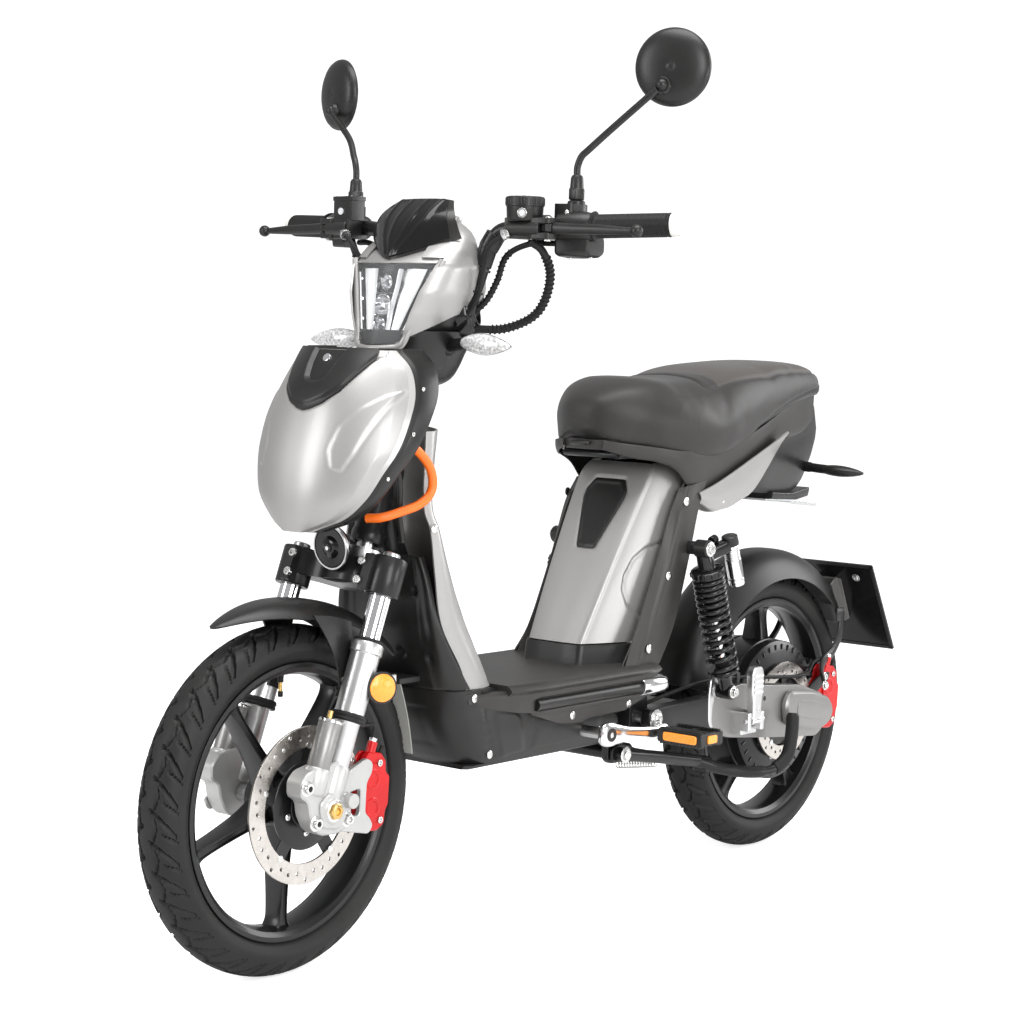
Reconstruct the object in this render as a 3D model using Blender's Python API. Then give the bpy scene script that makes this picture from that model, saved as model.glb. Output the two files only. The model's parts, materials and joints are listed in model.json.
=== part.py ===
"""Moped scooter in metres: +Z up, the front towards -Y, the rider's left towards +X.

Places are measured with y = 0 at the front axle, z = 0 on the ground and x = 0 on the
centre plane.  The root empty moves the vehicle so that the origin is on the ground under
the middle of its length.  Each piece hangs on the joint empty it moves with.
"""
import math
import bpy
import bmesh
import numpy as np
from mathutils import Vector

# ---------------------------------------------------------------- dimensions
WHEELBASE = 1.157
TYRE_R = 0.240
TYRE_HALF_WIDTH = 0.0375
RIM_R = 0.190
WHEEL_SEGMENTS = 28
RAKE = math.radians(20.5)
FORK_X = 0.085                   # half spacing of the fork legs
FORK_OFFSET = 0.035              # steering axis behind the fork legs
STANCHION_R = 0.015
SLIDER_R = 0.0205
DISC_R = 0.1076
DISC_THICKNESS = 0.0035
AXLE_R = 0.0075
GAP = 0.0003                     # clearance between sliding parts
AXLE_BORE_R = AXLE_R + GAP * 1.4
BAR_R = 0.011
BAR_ANGLE = math.radians(17.0)   # sweep of the bar ends to the rear
BAR_RISE = 0.03
GRIP_R = 0.016
GRIP_START = 0.112               # along the straight part of the bar
GRIP_LENGTH = 0.113
MIRROR_R = 0.054
MIRROR_TURN = math.radians(20)
BORE_REACH = 0.2                 # half length of the cutters that cross the vehicle
REAR_END = 1.4585
Y_MID = (REAR_END - TYRE_R) / 2
SHELL = 0.003                    # thickness of the plastic covers

AXLE_F = np.array([0.0, 0.0, TYRE_R])
AXLE_B = np.array([0.0, WHEELBASE, TYRE_R])
PIVOT = np.array([0.0, 0.700, 0.285])     # swingarm pivot
CRANK = np.array([0.0, 0.560, 0.280])     # pedal crank axle
STAND = np.array([0.0, 0.672, 0.228])     # centre stand pivot
SEAT_HINGE = (0.0, 0.628, 0.702)
SIDES = ((1, "left", "l"), (-1, "right", "r"))   # sign of x, name, joint letter


# ------------------------------------------------------------------- places
def unit(vector):
    vector = np.asarray(vector, float)
    return vector / np.linalg.norm(vector)


def on_side(side, x, y, z):
    """Point given for the left, moved to the right when side is -1."""
    return np.array([side * x, y, z])


STEER_UP = np.array([0.0, math.sin(RAKE), math.cos(RAKE)])
STEER_BACK = np.array([0.0, math.cos(RAKE), -math.sin(RAKE)])   # square to STEER_UP


def fork_point(up, x=0.0, back=0.0):
    """Point up the fork from the front axle, x to the side, back behind the legs."""
    return AXLE_F + STEER_UP * up + STEER_BACK * back + np.array([x, 0, 0])


def per_side(x, y, z):
    return {side: on_side(side, x, y, z) for side in (1, -1)}


BAR_START = per_side(0.140, 0.310, 1.024)     # inner end of the straight part
BAR_DIRECTION = {side: unit([side * math.cos(BAR_ANGLE), math.sin(BAR_ANGLE), BAR_RISE])
                 for side in (1, -1)}
LEVER = per_side(0.206, 0.293, 1.023)
MIRROR_STEM = per_side(0.209, 0.351, 1.064)
MIRROR_HEAD = {1: on_side(1, 0.314, 0.424, 1.249), -1: on_side(-1, 0.314, 0.424, 1.233)}
MIRROR_FRONT = {side: np.array([side * math.sin(MIRROR_TURN), -math.cos(MIRROR_TURN), 0.0])
                for side in (1, -1)}          # out of the domed front of the head
MIRROR_BALL = {side: MIRROR_HEAD[side] + MIRROR_FRONT[side] * 0.0240 + on_side(side, -.010, 0, -.026)
               for side in (1, -1)}
PEDAL = {1: on_side(1, 0.180, 0.700, 0.268), -1: on_side(-1, 0.180, 0.420, 0.292)}
PEG = per_side(0.1535, 0.928, 0.262)
SHOCK_TOP = per_side(0.142, 0.7865, 0.547)
SHOCK_BOTTOM = per_side(0.142, 0.8645, 0.314)


def bar_point(side, distance):
    """Point along the straight part of the handlebar."""
    return BAR_START[side] + BAR_DIRECTION[side] * distance


# joint empties: name -> (pivot, parent)
JOINTS = {
    "root": ((0, 0, 0), None),
    "steering": (fork_point(0.31, 0, FORK_OFFSET), "root"),
    "fork_lower": (fork_point(0.0), "steering"),
    "front_wheel": (AXLE_F, "fork_lower"),
    "swing": (PIVOT, "root"),
    "rear_wheel": (AXLE_B, "swing"),
    "crank": (CRANK, "root"),
    "throttle": (bar_point(-1, 0.15), "steering"),
    "button": (bar_point(1, 0.08), "steering"),
    "stand": (STAND, "root"),
    "seat": (SEAT_HINGE, "root"),
}
for side, _, letter in SIDES:
    JOINTS["pedal_" + letter] = (PEDAL[side], "crank")
    JOINTS["lever_" + letter] = (LEVER[side], "steering")
    JOINTS["stem_" + letter] = (MIRROR_STEM[side], "steering")
    JOINTS["head_" + letter] = (MIRROR_BALL[side], "stem_" + letter)
    JOINTS["peg_" + letter] = (PEG[side], "swing")
    JOINTS["shock_" + letter] = (SHOCK_TOP[side], "root")
    JOINTS["rod_" + letter] = (SHOCK_BOTTOM[side], "shock_" + letter)

# ---------------------------------------------------- scene, paint and joints
for old in list(bpy.data.objects):
    bpy.data.objects.remove(old, do_unlink=True)
collection = bpy.context.scene.collection

PAINT = {   # name: (colour, roughness, metallic)
    "silver_panel": ((0.46, 0.46, 0.47), 0.35, 0.7),
    "black_plastic": ((0.02, 0.02, 0.022), 0.5, 0.0),
    "grey_plastic": ((0.06, 0.06, 0.065), 0.55, 0.0),
    "frame_steel": ((0.025, 0.025, 0.028), 0.4, 0.3),
    "alloy": ((0.75, 0.75, 0.76), 0.3, 1.0),
    "cast_wheel": ((0.02, 0.02, 0.022), 0.35, 0.3),
    "chrome": ((0.8, 0.8, 0.82), 0.08, 1.0),
    "tyre": ((0.025, 0.025, 0.027), 0.8, 0.0),
    "rubber": ((0.02, 0.02, 0.02), 0.75, 0.0),
    "red_caliper": ((0.7, 0.02, 0.02), 0.35, 0.2),
    "brushed_steel": ((0.6, 0.6, 0.6), 0.3, 1.0),
    "seat_vinyl": ((0.045, 0.043, 0.042), 0.6, 0.0),
    "smoked_screen": ((0.03, 0.03, 0.035), 0.1, 0.0),
    "clear_lens": ((0.85, 0.87, 0.9), 0.05, 0.0),
    "red_lens": ((0.6, 0.02, 0.02), 0.1, 0.0),
    "swingarm_grey": ((0.3, 0.3, 0.31), 0.45, 0.6),
    "battery_case": ((0.05, 0.05, 0.06), 0.6, 0.0),
    "chain_steel": ((0.2, 0.2, 0.2), 0.4, 0.9),
}


def make_material(name, colour, roughness, metallic):
    material = bpy.data.materials.new(name)
    material.use_nodes = True
    inputs = material.node_tree.nodes["Principled BSDF"].inputs
    inputs["Base Color"].default_value = (*colour, 1.0)
    inputs["Roughness"].default_value = roughness
    inputs["Metallic"].default_value = metallic
    material.diffuse_color = (*colour, 1.0)
    return material


def make_joint(name, pivot, parent):
    """Empty at the pivot; its parent must exist already."""
    empty = bpy.data.objects.new("joint_" + name, None)
    empty.empty_display_size = 0.03
    collection.objects.link(empty)
    if parent is None:
        empty.location = (0, -Y_MID, 0)
    else:
        empty.parent = empties[parent]
        empty.location = Vector(np.asarray(pivot, float) - np.asarray(JOINTS[parent][0], float))
    return empty


materials = {name: make_material(name, *paint) for name, paint in PAINT.items()}
empties = {}
for name, (pivot, parent) in JOINTS.items():
    empties[name] = make_joint(name, pivot, parent)


# ------------------------------------------------------------ shape helpers
# A shape is a pair (vertices, faces).
def side_vectors(direction):
    """Two unit vectors square to the direction and to each other."""
    direction = unit(direction)
    reference = np.array([1.0, 0, 0]) if abs(direction[0]) < 0.9 else np.array([0, 1.0, 0])
    first = unit(np.cross(direction, reference))
    return first, np.cross(direction, first)


def turned(profile, segs=24, centre=(0, 0, 0), axis=(1, 0, 0), ring=False, phase=0.5):
    """Turn (distance along axis, radius) points; ring=True closes the section on itself."""
    first, second = side_vectors(axis)
    along, centre = unit(axis), np.asarray(centre, float)
    verts, rows = [], []
    for distance, radius in profile:
        if radius < 1e-7:
            rows.append([len(verts)])
            verts.append(centre + along * distance)
            continue
        rows.append(list(range(len(verts), len(verts) + segs)))
        for k in range(segs):
            angle = 2 * math.pi * (k + phase) / segs
            outward = first * math.cos(angle) + second * math.sin(angle)
            verts.append(centre + along * distance + outward * radius)
    faces = []
    pairs = list(zip(rows, rows[1:])) + ([(rows[-1], rows[0])] if ring else [])
    for row, following in pairs:
        for k in range(segs):
            n = (k + 1) % segs
            if len(row) == 1:
                faces.append((row[0], following[n], following[k]))
            elif len(following) == 1:
                faces.append((row[k], row[n], following[0]))
            else:
                faces.append((row[k], row[n], following[n], following[k]))
    if not ring:
        if len(rows[0]) > 1:
            faces.append(tuple(rows[0]))
        if len(rows[-1]) > 1:
            faces.append(tuple(reversed(rows[-1])))
    return verts, faces


def rod(start, end, radius, segs=12):
    start, end = np.asarray(start, float), np.asarray(end, float)
    length = float(np.linalg.norm(end - start))
    return turned([(0, radius), (length, radius)], segs, start, end - start)


def cross_rod(centre, half_length, radius, segs=12):
    """Rod along x, centred on a point."""
    centre, reach = np.asarray(centre, float), np.array([half_length, 0, 0])
    return rod(centre - reach, centre + reach, radius, segs)


def steering_tube(profile, segs=16):
    """Turned about the steering axis, distances up from axle level."""
    return turned(profile, segs, fork_point(0, 0, FORK_OFFSET), STEER_UP)


def leg_tube(profile, side):
    """Turned about a fork leg, distances up from the axle."""
    return turned(profile, 14, fork_point(0, side * FORK_X), STEER_UP)


def sleeve(start, direction, length, inner_r, outer_r):
    return turned([(0, inner_r), (0, outer_r), (length, outer_r), (length, inner_r)],
                  14, start, direction, ring=True)


def swept(path, radius, sides=8):
    """Round tube along a path; radius is one value or one for each point."""
    points = [np.asarray(p, float) for p in path]
    radii = [radius] * len(points) if np.isscalar(radius) else radius
    verts, faces = [], []
    first = None
    for i, point in enumerate(points):
        tangent = unit(points[min(i + 1, len(points) - 1)] - points[max(i - 1, 0)])
        if first is None:
            first = side_vectors(tangent)[0]
        else:
            first = unit(first - tangent * float(first @ tangent))
        second = np.cross(tangent, first)
        for k in range(sides):
            angle = 2 * math.pi * k / sides
            verts.append(point + (first * math.cos(angle) + second * math.sin(angle)) * radii[i])
        if i:
            o = (i - 1) * sides
            for k in range(sides):
                n = (k + 1) % sides
                faces.append((o + k, o + n, o + sides + n, o + sides + k))
    faces.append(tuple(range(sides)))
    faces.append(tuple(reversed(range(len(verts) - sides, len(verts)))))
    return verts, faces


def curve_points(controls, steps):
    """Smooth Catmull-Rom path through the control points."""
    c = [np.asarray(p, float) for p in controls]
    c = [2 * c[0] - c[1]] + c + [2 * c[-1] - c[-2]]
    points = []
    for i in range(1, len(c) - 2):
        for k in range(steps):
            t = k / steps
            points.append(0.5 * (2 * c[i] + (c[i + 1] - c[i - 1]) * t
                                 + (2 * c[i - 1] - 5 * c[i] + 4 * c[i + 1] - c[i + 2]) * t * t
                                 + (3 * c[i] - c[i - 1] - 3 * c[i + 1] + c[i + 2]) * t ** 3))
    points.append(c[-2])
    return points


def symmetric(half, centre=()):
    """Points from -x to +x: the mirrored half, the centre point if given, the half reversed."""
    return [(-x, y, z) for x, y, z in half] + list(centre) + half[::-1]


def plate(outline, x0, x1):
    """Extrude a (y, z) outline from x0 to x1."""
    verts = [np.array([x, y, z], float) for x in (x0, x1) for y, z in outline]
    n = len(outline)
    faces = [(k, (k + 1) % n, n + (k + 1) % n, n + k) for k in range(n)]
    faces += [tuple(reversed(range(n))), tuple(range(n, 2 * n))]
    return verts, faces


def block(x0, x1, y0, y1, z0, z1):
    return plate([(y0, z0), (y1, z0), (y1, z1), (y0, z1)], x0, x1)


def lofted(rings):
    """Closed body through rings of equal length, flat ends."""
    n = len(rings[0])
    verts = [np.asarray(p, float) for ring in rings for p in ring]
    faces = []
    for i in range(len(rings) - 1):
        for k in range(n):
            m = (k + 1) % n
            faces.append((i * n + k, i * n + m, (i + 1) * n + m, (i + 1) * n + k))
    faces.append(tuple(reversed(range(n))))
    faces.append(tuple(range((len(rings) - 1) * n, len(rings) * n)))
    return verts, faces


def upright(outline, bottom, top):
    """Raise an (x, y) outline from bottom to top."""
    return lofted([[(x, y, z) for x, y in outline] for z in (bottom, top)])


def x_ring(x, outline, y0=0, z0=0):
    """Ring square to x from a (y, z) outline moved by y0, z0."""
    return [(x, y0 + y, z0 + z) for y, z in outline]


def y_rings(outline, stations):
    """Rings square to y from an (x, z) outline; stations are (y, scale of x, z of outline)."""
    return [[(x * scale, y, z0 + z) for x, z in outline] for y, scale, z0 in stations]


def sheet(rows, thick):
    """Closed shell over an open grid; positive thick goes along the surface normals."""
    grid = np.array(rows, float)
    m, n = grid.shape[:2]
    normals = np.cross(np.gradient(grid, axis=0), np.gradient(grid, axis=1))
    normals /= np.maximum(np.linalg.norm(normals, axis=2, keepdims=True), 1e-12)
    verts = list(grid.reshape(-1, 3)) + list((grid + normals * thick).reshape(-1, 3))
    o = m * n
    faces = []
    for i in range(m - 1):
        for j in range(n - 1):
            a, b, c, d = i * n + j, i * n + j + 1, (i + 1) * n + j + 1, (i + 1) * n + j
            faces += [(a, b, c, d), (o + d, o + c, o + b, o + a)]
    border = list(range(n)) + [i * n + n - 1 for i in range(1, m)]
    border += [(m - 1) * n + j for j in range(n - 2, -1, -1)]
    border += [i * n for i in range(m - 2, 0, -1)]
    for k, a in enumerate(border):
        b = border[(k + 1) % len(border)]
        faces.append((b, a, o + a, o + b))
    return verts, faces


# ------------------------------------------------------------- part builder
def mesh_object(name, shape):
    verts, faces = shape
    mesh = bpy.data.meshes.new(name)
    mesh.from_pydata([tuple(map(float, v)) for v in verts], [], faces)
    bm = bmesh.new()
    bm.from_mesh(mesh)
    bmesh.ops.remove_doubles(bm, verts=bm.verts, dist=1e-6)
    bmesh.ops.recalc_face_normals(bm, faces=bm.faces)
    bm.to_mesh(mesh)
    bm.free()
    made = bpy.data.objects.new(name, mesh)
    collection.objects.link(made)
    return made


def tidy(mesh):
    """Dissolve the flat triangles that the joins leave behind."""
    bm = bmesh.new()
    bm.from_mesh(mesh)
    bmesh.ops.remove_doubles(bm, verts=bm.verts, dist=2e-6)
    bmesh.ops.dissolve_degenerate(bm, edges=bm.edges, dist=2e-6)
    bm.to_mesh(mesh)
    bm.free()


def part(name, material, joint, shapes, cuts=()):
    """Join the shapes into one body, cut the openings, and hang it on its joint empty."""
    base = mesh_object(name, shapes[0])
    helpers = []
    for operation, group in (("UNION", shapes[1:]), ("DIFFERENCE", cuts)):
        for k, shape in enumerate(group):
            helper = mesh_object(f"{name}_{operation.lower()}_{k}", shape)
            modifier = base.modifiers.new(helper.name, "BOOLEAN")
            modifier.operation = operation
            modifier.solver = "EXACT"
            modifier.object = helper
            helpers.append(helper)
    if helpers:
        bpy.context.view_layer.update()
        evaluated = base.evaluated_get(bpy.context.evaluated_depsgraph_get())
        joined = bpy.data.meshes.new_from_object(evaluated)
        base.modifiers.clear()
        base.data = joined
        tidy(joined)
        for helper in helpers:
            bpy.data.objects.remove(helper, do_unlink=True)
    pivot = np.asarray(JOINTS[joint][0], float)
    for vertex in base.data.vertices:
        vertex.co = Vector([c - float(p) for c, p in zip(vertex.co, pivot)])
    base.data.materials.clear()      # the joins may leave an empty slot
    base.data.materials.append(materials[material])
    base.data.shade_smooth()
    base.data.set_sharp_from_angle(angle=math.radians(35))
    base.parent = empties[joint]


# ------------------------------------------------------------------- wheels
# (distance along the axle, radius)
TYRE_SECTION = [
    (-.0247, .1862), (-.0247, .1906), (-.0350, .1970), (-TYRE_HALF_WIDTH, .2090),
    (-.0270, .2300), (0, TYRE_R), (.0270, .2300), (TYRE_HALF_WIDTH, .2090),
    (.0350, .1970), (.0247, .1906), (.0247, .1862),
    (.0200, .1862), (.0280, .2030), (0, .2310), (-.0280, .2030), (-.0200, .1862)]
RIM_SECTION = [
    (-.0285, RIM_R), (-.0250, RIM_R), (-.0250, .1857), (.0250, .1857),
    (.0250, RIM_R), (.0285, RIM_R), (.0285, .174), (-.0285, .174)]
HUB_BORE_R = .0085
FRONT_HUB = [
    (-.046, HUB_BORE_R), (-.046, .026), (-.030, .036), (.030, .036),
    (.0502, .034), (.0502, HUB_BORE_R)]
REAR_DRUM = [
    (-.062, HUB_BORE_R), (-.062, .040), (-.052, .095), (-.046, .103), (.046, .103),
    (.050, .095), (.0602, .040), (.0602, HUB_BORE_R)]
REAR_BOSS = [(-.1000, HUB_BORE_R), (-.1000, .024), (-.0600, .024), (-.0600, HUB_BORE_R)]
FREEWHEEL = [(-.0990, .020), (-.0990, .0345), (-.0970, .0345), (-.0970, .020)]


def wheel_ring(section, axle):
    return turned(section, WHEEL_SEGMENTS, axle, ring=True, phase=0.0)


def spokes(centre, *ends):
    """Five tapered spokes; an end is (radius, half width, half thickness along x)."""
    made = []
    for k in range(5):
        angle = math.radians(90 + 72 * k)
        outward = np.array([0, math.cos(angle), math.sin(angle)])
        across = np.array([0, -math.sin(angle), math.cos(angle)])
        made.append(lofted([[centre + outward * radius + across * (a * width)
                             + np.array([b * thickness, 0, 0])
                             for a, b in ((-1, -1), (1, -1), (1, 1), (-1, 1))]
                            for radius, width, thickness in ends]))
    return made


part("front_tyre", "tyre", "front_wheel", [wheel_ring(TYRE_SECTION, AXLE_F)])
part("rear_tyre", "tyre", "rear_wheel", [wheel_ring(TYRE_SECTION, AXLE_B)])
part("front_rim", "cast_wheel", "front_wheel",
     [wheel_ring(RIM_SECTION, AXLE_F), turned(FRONT_HUB, 16, AXLE_F, ring=True)]
     + spokes(AXLE_F, (.030, .014, .020), (.1765, .009, .013)))
part("rear_hub_motor", "cast_wheel", "rear_wheel",
     [wheel_ring(RIM_SECTION, AXLE_B),
      turned(REAR_DRUM, 20, AXLE_B, ring=True),
      turned(REAR_BOSS, 16, AXLE_B, ring=True),
      turned(FREEWHEEL, 18, AXLE_B, ring=True)]
     + spokes(AXLE_B, (.095, .017, .020), (.1765, .012, .014)))


def disc(name, joint, axle, x):
    outer_x = x + DISC_THICKNESS
    part(name, "brushed_steel", joint,
         [turned([(x, .020), (x, DISC_R), (outer_x, DISC_R), (outer_x, .020)],
                 WHEEL_SEGMENTS, axle, ring=True)])


def axle_shaft(name, joint, axle, end, shoulder, head_r):
    """Plain shaft with a head at each end; end and shoulder are half lengths."""
    part(name, "brushed_steel", joint,
         [turned([(-end, 0), (-end, head_r), (-shoulder, head_r), (-shoulder, AXLE_R),
                  (shoulder, AXLE_R), (shoulder, head_r), (end, head_r), (end, 0)], 12, axle)])


disc("front_disc", "front_wheel", AXLE_F, 0.0505)
disc("rear_disc", "rear_wheel", AXLE_B, 0.0605)
axle_shaft("front_axle", "fork_lower", AXLE_F, end=.112, shoulder=.1055, head_r=.012)
axle_shaft("rear_axle", "swing", AXLE_B, end=.140, shoulder=.1275, head_r=.013)

# --------------------------------------------------------------- front fork
SLIDER_PROFILE = [   # (distance up the leg, radius), hollow from .052 upwards
    (-.024, 0), (-.024, .014), (-.016, SLIDER_R), (.232, SLIDER_R),
    (.232, STANCHION_R + GAP), (.052, STANCHION_R + GAP), (.052, 0)]
AXLE_LUG = [         # (y, z)
    (-.030, .215), (.022, .205), (.036, .235), (.030, .270), (.000, .290), (-.044, .300),
    (-.052, .262)]
AXLE_LUG_HALF_WIDTH = .0195
CALIPER_SIDE_PLATE = [(.015, .205), (.098, .188), (.104, .200), (.104, .290), (.092, .298),
                      (.015, .262)]
CROWN_OUTLINE = [    # (x, distance behind the legs)
    (-.112, -.016), (-.085, -.026), (-.030, -.018), (.030, -.018), (.085, -.026),
    (.112, -.016), (.108, .008), (.042, .060), (-.042, .060), (-.108, .008)]


def fork_leg(side, name):
    x = side * FORK_X
    slider = [
        leg_tube(SLIDER_PROFILE, side),
        plate(AXLE_LUG, x - side * AXLE_LUG_HALF_WIDTH, x + side * AXLE_LUG_HALF_WIDTH),
        # short cylinder along the front of the leg
        turned([(0, .014), (.085, .014)], 12, fork_point(.030, x + side * .002, -.034), STEER_UP)]
    if side == 1:
        slider.append(plate(CALIPER_SIDE_PLATE, .0700, .0790))
    part("fork_slider_" + name, "alloy", "fork_lower", slider,
         [cross_rod(AXLE_F, .13, AXLE_BORE_R)])
    part("fork_stanchion_" + name, "chrome", "steering",
         [leg_tube([(.092, 0), (.092, STANCHION_R), (.350, STANCHION_R), (.350, 0)], side)])


for side, name, _ in SIDES:
    fork_leg(side, name)

crown = lofted([[fork_point(up, x, back) for x, back in CROWN_OUTLINE] for up in (.312, .346)])
part("steering_stem", "frame_steel", "steering",
     [crown, steering_tube([(.330, .0125), (.640, .0125)]),
      steering_tube([(.348, .020), (.356, .028), (.366, .028)])],
     [leg_tube([(.300, STANCHION_R + GAP), (.400, STANCHION_R + GAP)], side) for side in (1, -1)])

# ------------------------------------------------------ calipers and fenders
FRONT_CALIPER = [    # (y behind the axle, z)
    (.082, .206), (.100, .190), (.140, .196), (.152, .222), (.152, .262), (.138, .290),
    (.104, .296), (.084, .284)]
REAR_CALIPER = [
    (.084, .214), (.100, .198), (.140, .206), (.150, .232), (.150, .276), (.138, .302),
    (.104, .306), (.084, .292)]


def caliper(name, joint, axle, outline, body_x, slot_x, slot_r):
    """Block from body_x[0] to body_x[1] with a slot for the disc."""
    start, end = slot_x
    slot = [(start, .001), (start, slot_r), (end, slot_r), (end, .001)]
    part(name, "red_caliper", joint, [plate([(axle[1] + y, z) for y, z in outline], *body_x)],
         [turned(slot, 40, axle, ring=True)])


caliper("front_caliper", "fork_lower", AXLE_F, FRONT_CALIPER,
        body_x=(.0425, .0690), slot_x=(.0490, .0555), slot_r=DISC_R + .004)
caliper("rear_caliper", "swing", AXLE_B, REAR_CALIPER,
        body_x=(.0545, .0820), slot_x=(.0590, .0655), slot_r=.1125)


def fender(name, joint, axle, radius, start, end, stations, half_width, drop):
    """Arc over a wheel; degrees run from straight up to the rear, drop is at the edges."""
    rows = []
    for i in range(stations):
        angle = math.radians(start + (end - start) * i / (stations - 1))
        row = []
        for j in range(7):
            u = -1 + 2 * j / 6
            r = radius - drop * abs(u) ** 3
            row.append((u * half_width, axle[1] + r * math.sin(angle),
                        axle[2] + r * math.cos(angle)))
        rows.append(row)
    part(name, "black_plastic", joint, [sheet(rows, -SHELL)])


fender("front_fender", "fork_lower", AXLE_F, radius=.2720, start=-29, end=42, stations=13,
       half_width=.052, drop=.020)
fender("rear_fender", "swing", AXLE_B, radius=.2700, start=-42, end=62, stations=15,
       half_width=.058, drop=.024)

# ---------------------------------------------------------------- handlebar
BAR_CONTROLS = [     # left half from the centre to the start of the straight part
    (0.0, .268, .872), (.040, .270, .874), (.070, .276, .893), (.086, .287, .945),
    (.096, .297, .992), (.112, .304, 1.018), BAR_START[1]]
half_bar = curve_points(BAR_CONTROLS, 2) + [bar_point(1, GRIP_START + GRIP_LENGTH + .010)]


def full_bar(half):
    return symmetric(half[:0:-1], half[:1])


part("handlebar", "frame_steel", "steering",
     [swept(full_bar(half_bar), BAR_R), steering_tube([(.615, .0205), (.690, .0205)], 14)],
     [steering_tube([(.55, .0128), (.645, .0128)])])
part("grip_left", "rubber", "steering",
     [sleeve(bar_point(1, GRIP_START), BAR_DIRECTION[1], GRIP_LENGTH, BAR_R + .0008, GRIP_R)])
part("throttle_grip", "rubber", "throttle",
     [sleeve(bar_point(-1, GRIP_START), BAR_DIRECTION[-1], GRIP_LENGTH, BAR_R + .0007, GRIP_R)])

# ------------------------------------------------------ controls and mirrors
PERCH_OUTLINE = [(.150, .268), (.196, .282), (.196, .312), (.188, .328), (.150, .318)]  # (x, y)
MIRROR_SEAT = [(.196, .322), (.222, .334), (.222, .364), (.196, .364)]                  # (x, y)
BUTTON_BOX = [(.318, .985), (.366, .985), (.366, 1.012), (.318, 1.012)]                 # (y, z)
BUTTON_X, BUTTON_Z = .224, .998
MIRROR_HEAD_PROFILE = [(-.004, 0), (-.004, .050), (0, MIRROR_R), (.006, .0525), (.012, .043),
                       (.016, .026), (.0175, 0)]
MIRROR_BALL_PROFILE = [(-.008, 0), (-.0055, .0055), (0, .0080), (.0055, .0055), (.008, 0)]
LEVER_TIP_PROFILE = [(-.0085, 0), (-.006, .006), (0, .0085), (.006, .006), (.0085, 0)]
UP = (0, 0, 1)


def button_rod(y0, y1, radius):
    return rod((BUTTON_X, y0, BUTTON_Z), (BUTTON_X, y1, BUTTON_Z), radius, 14)


def perch(side):
    """Bar clamp with lever and mirror mounts; the left one also carries the button box."""
    seat_top = float(MIRROR_STEM[side][2]) - .0006
    body = [
        rod(bar_point(side, .018), bar_point(side, .074), .0172, 14),
        upright([(side * x, y) for x, y in PERCH_OUTLINE], 1.008, 1.036),
        turned([(0, .021), (.024, .021)], 14, on_side(side, .164, .289, 1.034), UP),
        # two ears, below and above the lever eye
        block(side * .185, side * .222, .280, .330, 1.008, 1.0165),
        block(side * .185, side * .222, .280, .330, 1.0285, 1.037),
        upright([(side * x, y) for x, y in MIRROR_SEAT], 1.020, seat_top)]
    bar_bore = turned([(-.2, BAR_R + .0008), (.3, BAR_R + .0008)], 12, bar_point(side, 0),
                      BAR_DIRECTION[side])
    if side == -1:
        part("brake_perch_right", "black_plastic", "steering", body, [bar_bore])
        return
    body += [rod(bar_point(1, .070), bar_point(1, .104), .0200, 16),
             lofted([x_ring(.208, BUTTON_BOX), x_ring(.240, BUTTON_BOX, .008)])]
    part("switchgear_left", "black_plastic", "steering", body,
         [bar_bore, button_rod(.360, .40, .0063)])
    part("horn_button", "black_plastic", "button", [button_rod(.3632, .3745, .0060)])


def brake_lever(side, name, letter):
    path = [LEVER[side] + on_side(side, .006, 0, 0), on_side(side, .236, .294, 1.022),
            on_side(side, .290, .297, 1.021), on_side(side, .345, .3015, 1.0195)]
    part("brake_lever_" + name, "black_plastic", "lever_" + letter,
         [turned([(-.0055, .0095), (.0055, .0095)], 14, LEVER[side], UP),
          swept(path, [.0052, .0060, .0048, .0042]),
          turned(LEVER_TIP_PROFILE, 10, on_side(side, .3505, .302, 1.0195))])


def mirror(side, name, letter):
    foot, ball, front = MIRROR_STEM[side], MIRROR_BALL[side], MIRROR_FRONT[side]
    bend = on_side(side, .214, .353, 1.122)
    path = [foot + [0, 0, .010], on_side(side, .209, .351, 1.105), bend,
            ball - unit(ball - bend) * .0096]
    part("mirror_stem_" + name, "black_plastic", "stem_" + letter,
         [turned([(0, .0085), (.018, .0085)], 8, foot, UP),
          swept(path, [.0052, .0052, .0052, .0045])])
    part("mirror_head_" + name, "black_plastic", "head_" + letter,
         [turned(MIRROR_HEAD_PROFILE, 20, MIRROR_HEAD[side], front),
          turned(MIRROR_BALL_PROFILE, 10, ball, UP),
          rod(ball, ball - front * .0120, .0060, 8)])


for side, name, letter in SIDES:
    perch(side)
    brake_lever(side, name, letter)
    mirror(side, name, letter)

# ------------------------------------------------------------------ nacelle
NACELLE = [          # (z, half width, front y, rear y)
    (.872, .048, .168, .250), (.892, .066, .166, .262), (.930, .084, .170, .272),
    (.970, .094, .180, .282), (1.000, .090, .198, .296), (1.022, .074, .222, .300),
    (1.034, .050, .240, .300)]
NACELLE_BACK = [(.828, .030, .205, .250), (.850, .046, .200, .262), (.868, .044, .196, .262)]
LAMP_OPENING = [     # (y, upper half width, top z, lower half width, bottom z)
    (.10, .080, .975, .042, .845), (.205, .078, .972, .040, .850)]
FRONT_POD_INNER = [(0, .868), (.012, .858), (.036, .858), (.040, .870), (.030, .880),
                   (.008, .880)]   # (y, z)
FRONT_POD_OUTER = [(.006, .871), (.012, .866), (.020, .866), (.022, .871), (.018, .876),
                   (.008, .876)]
WINDSCREEN = [       # (z, half width, centre y, set back of the edges)
    (.985, .080, .150, .038), (1.010, .078, .173, .034), (1.036, .066, .205, .030),
    (1.064, .044, .242, .024)]
ACROSS = np.linspace(-1, 1, 7)


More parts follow.
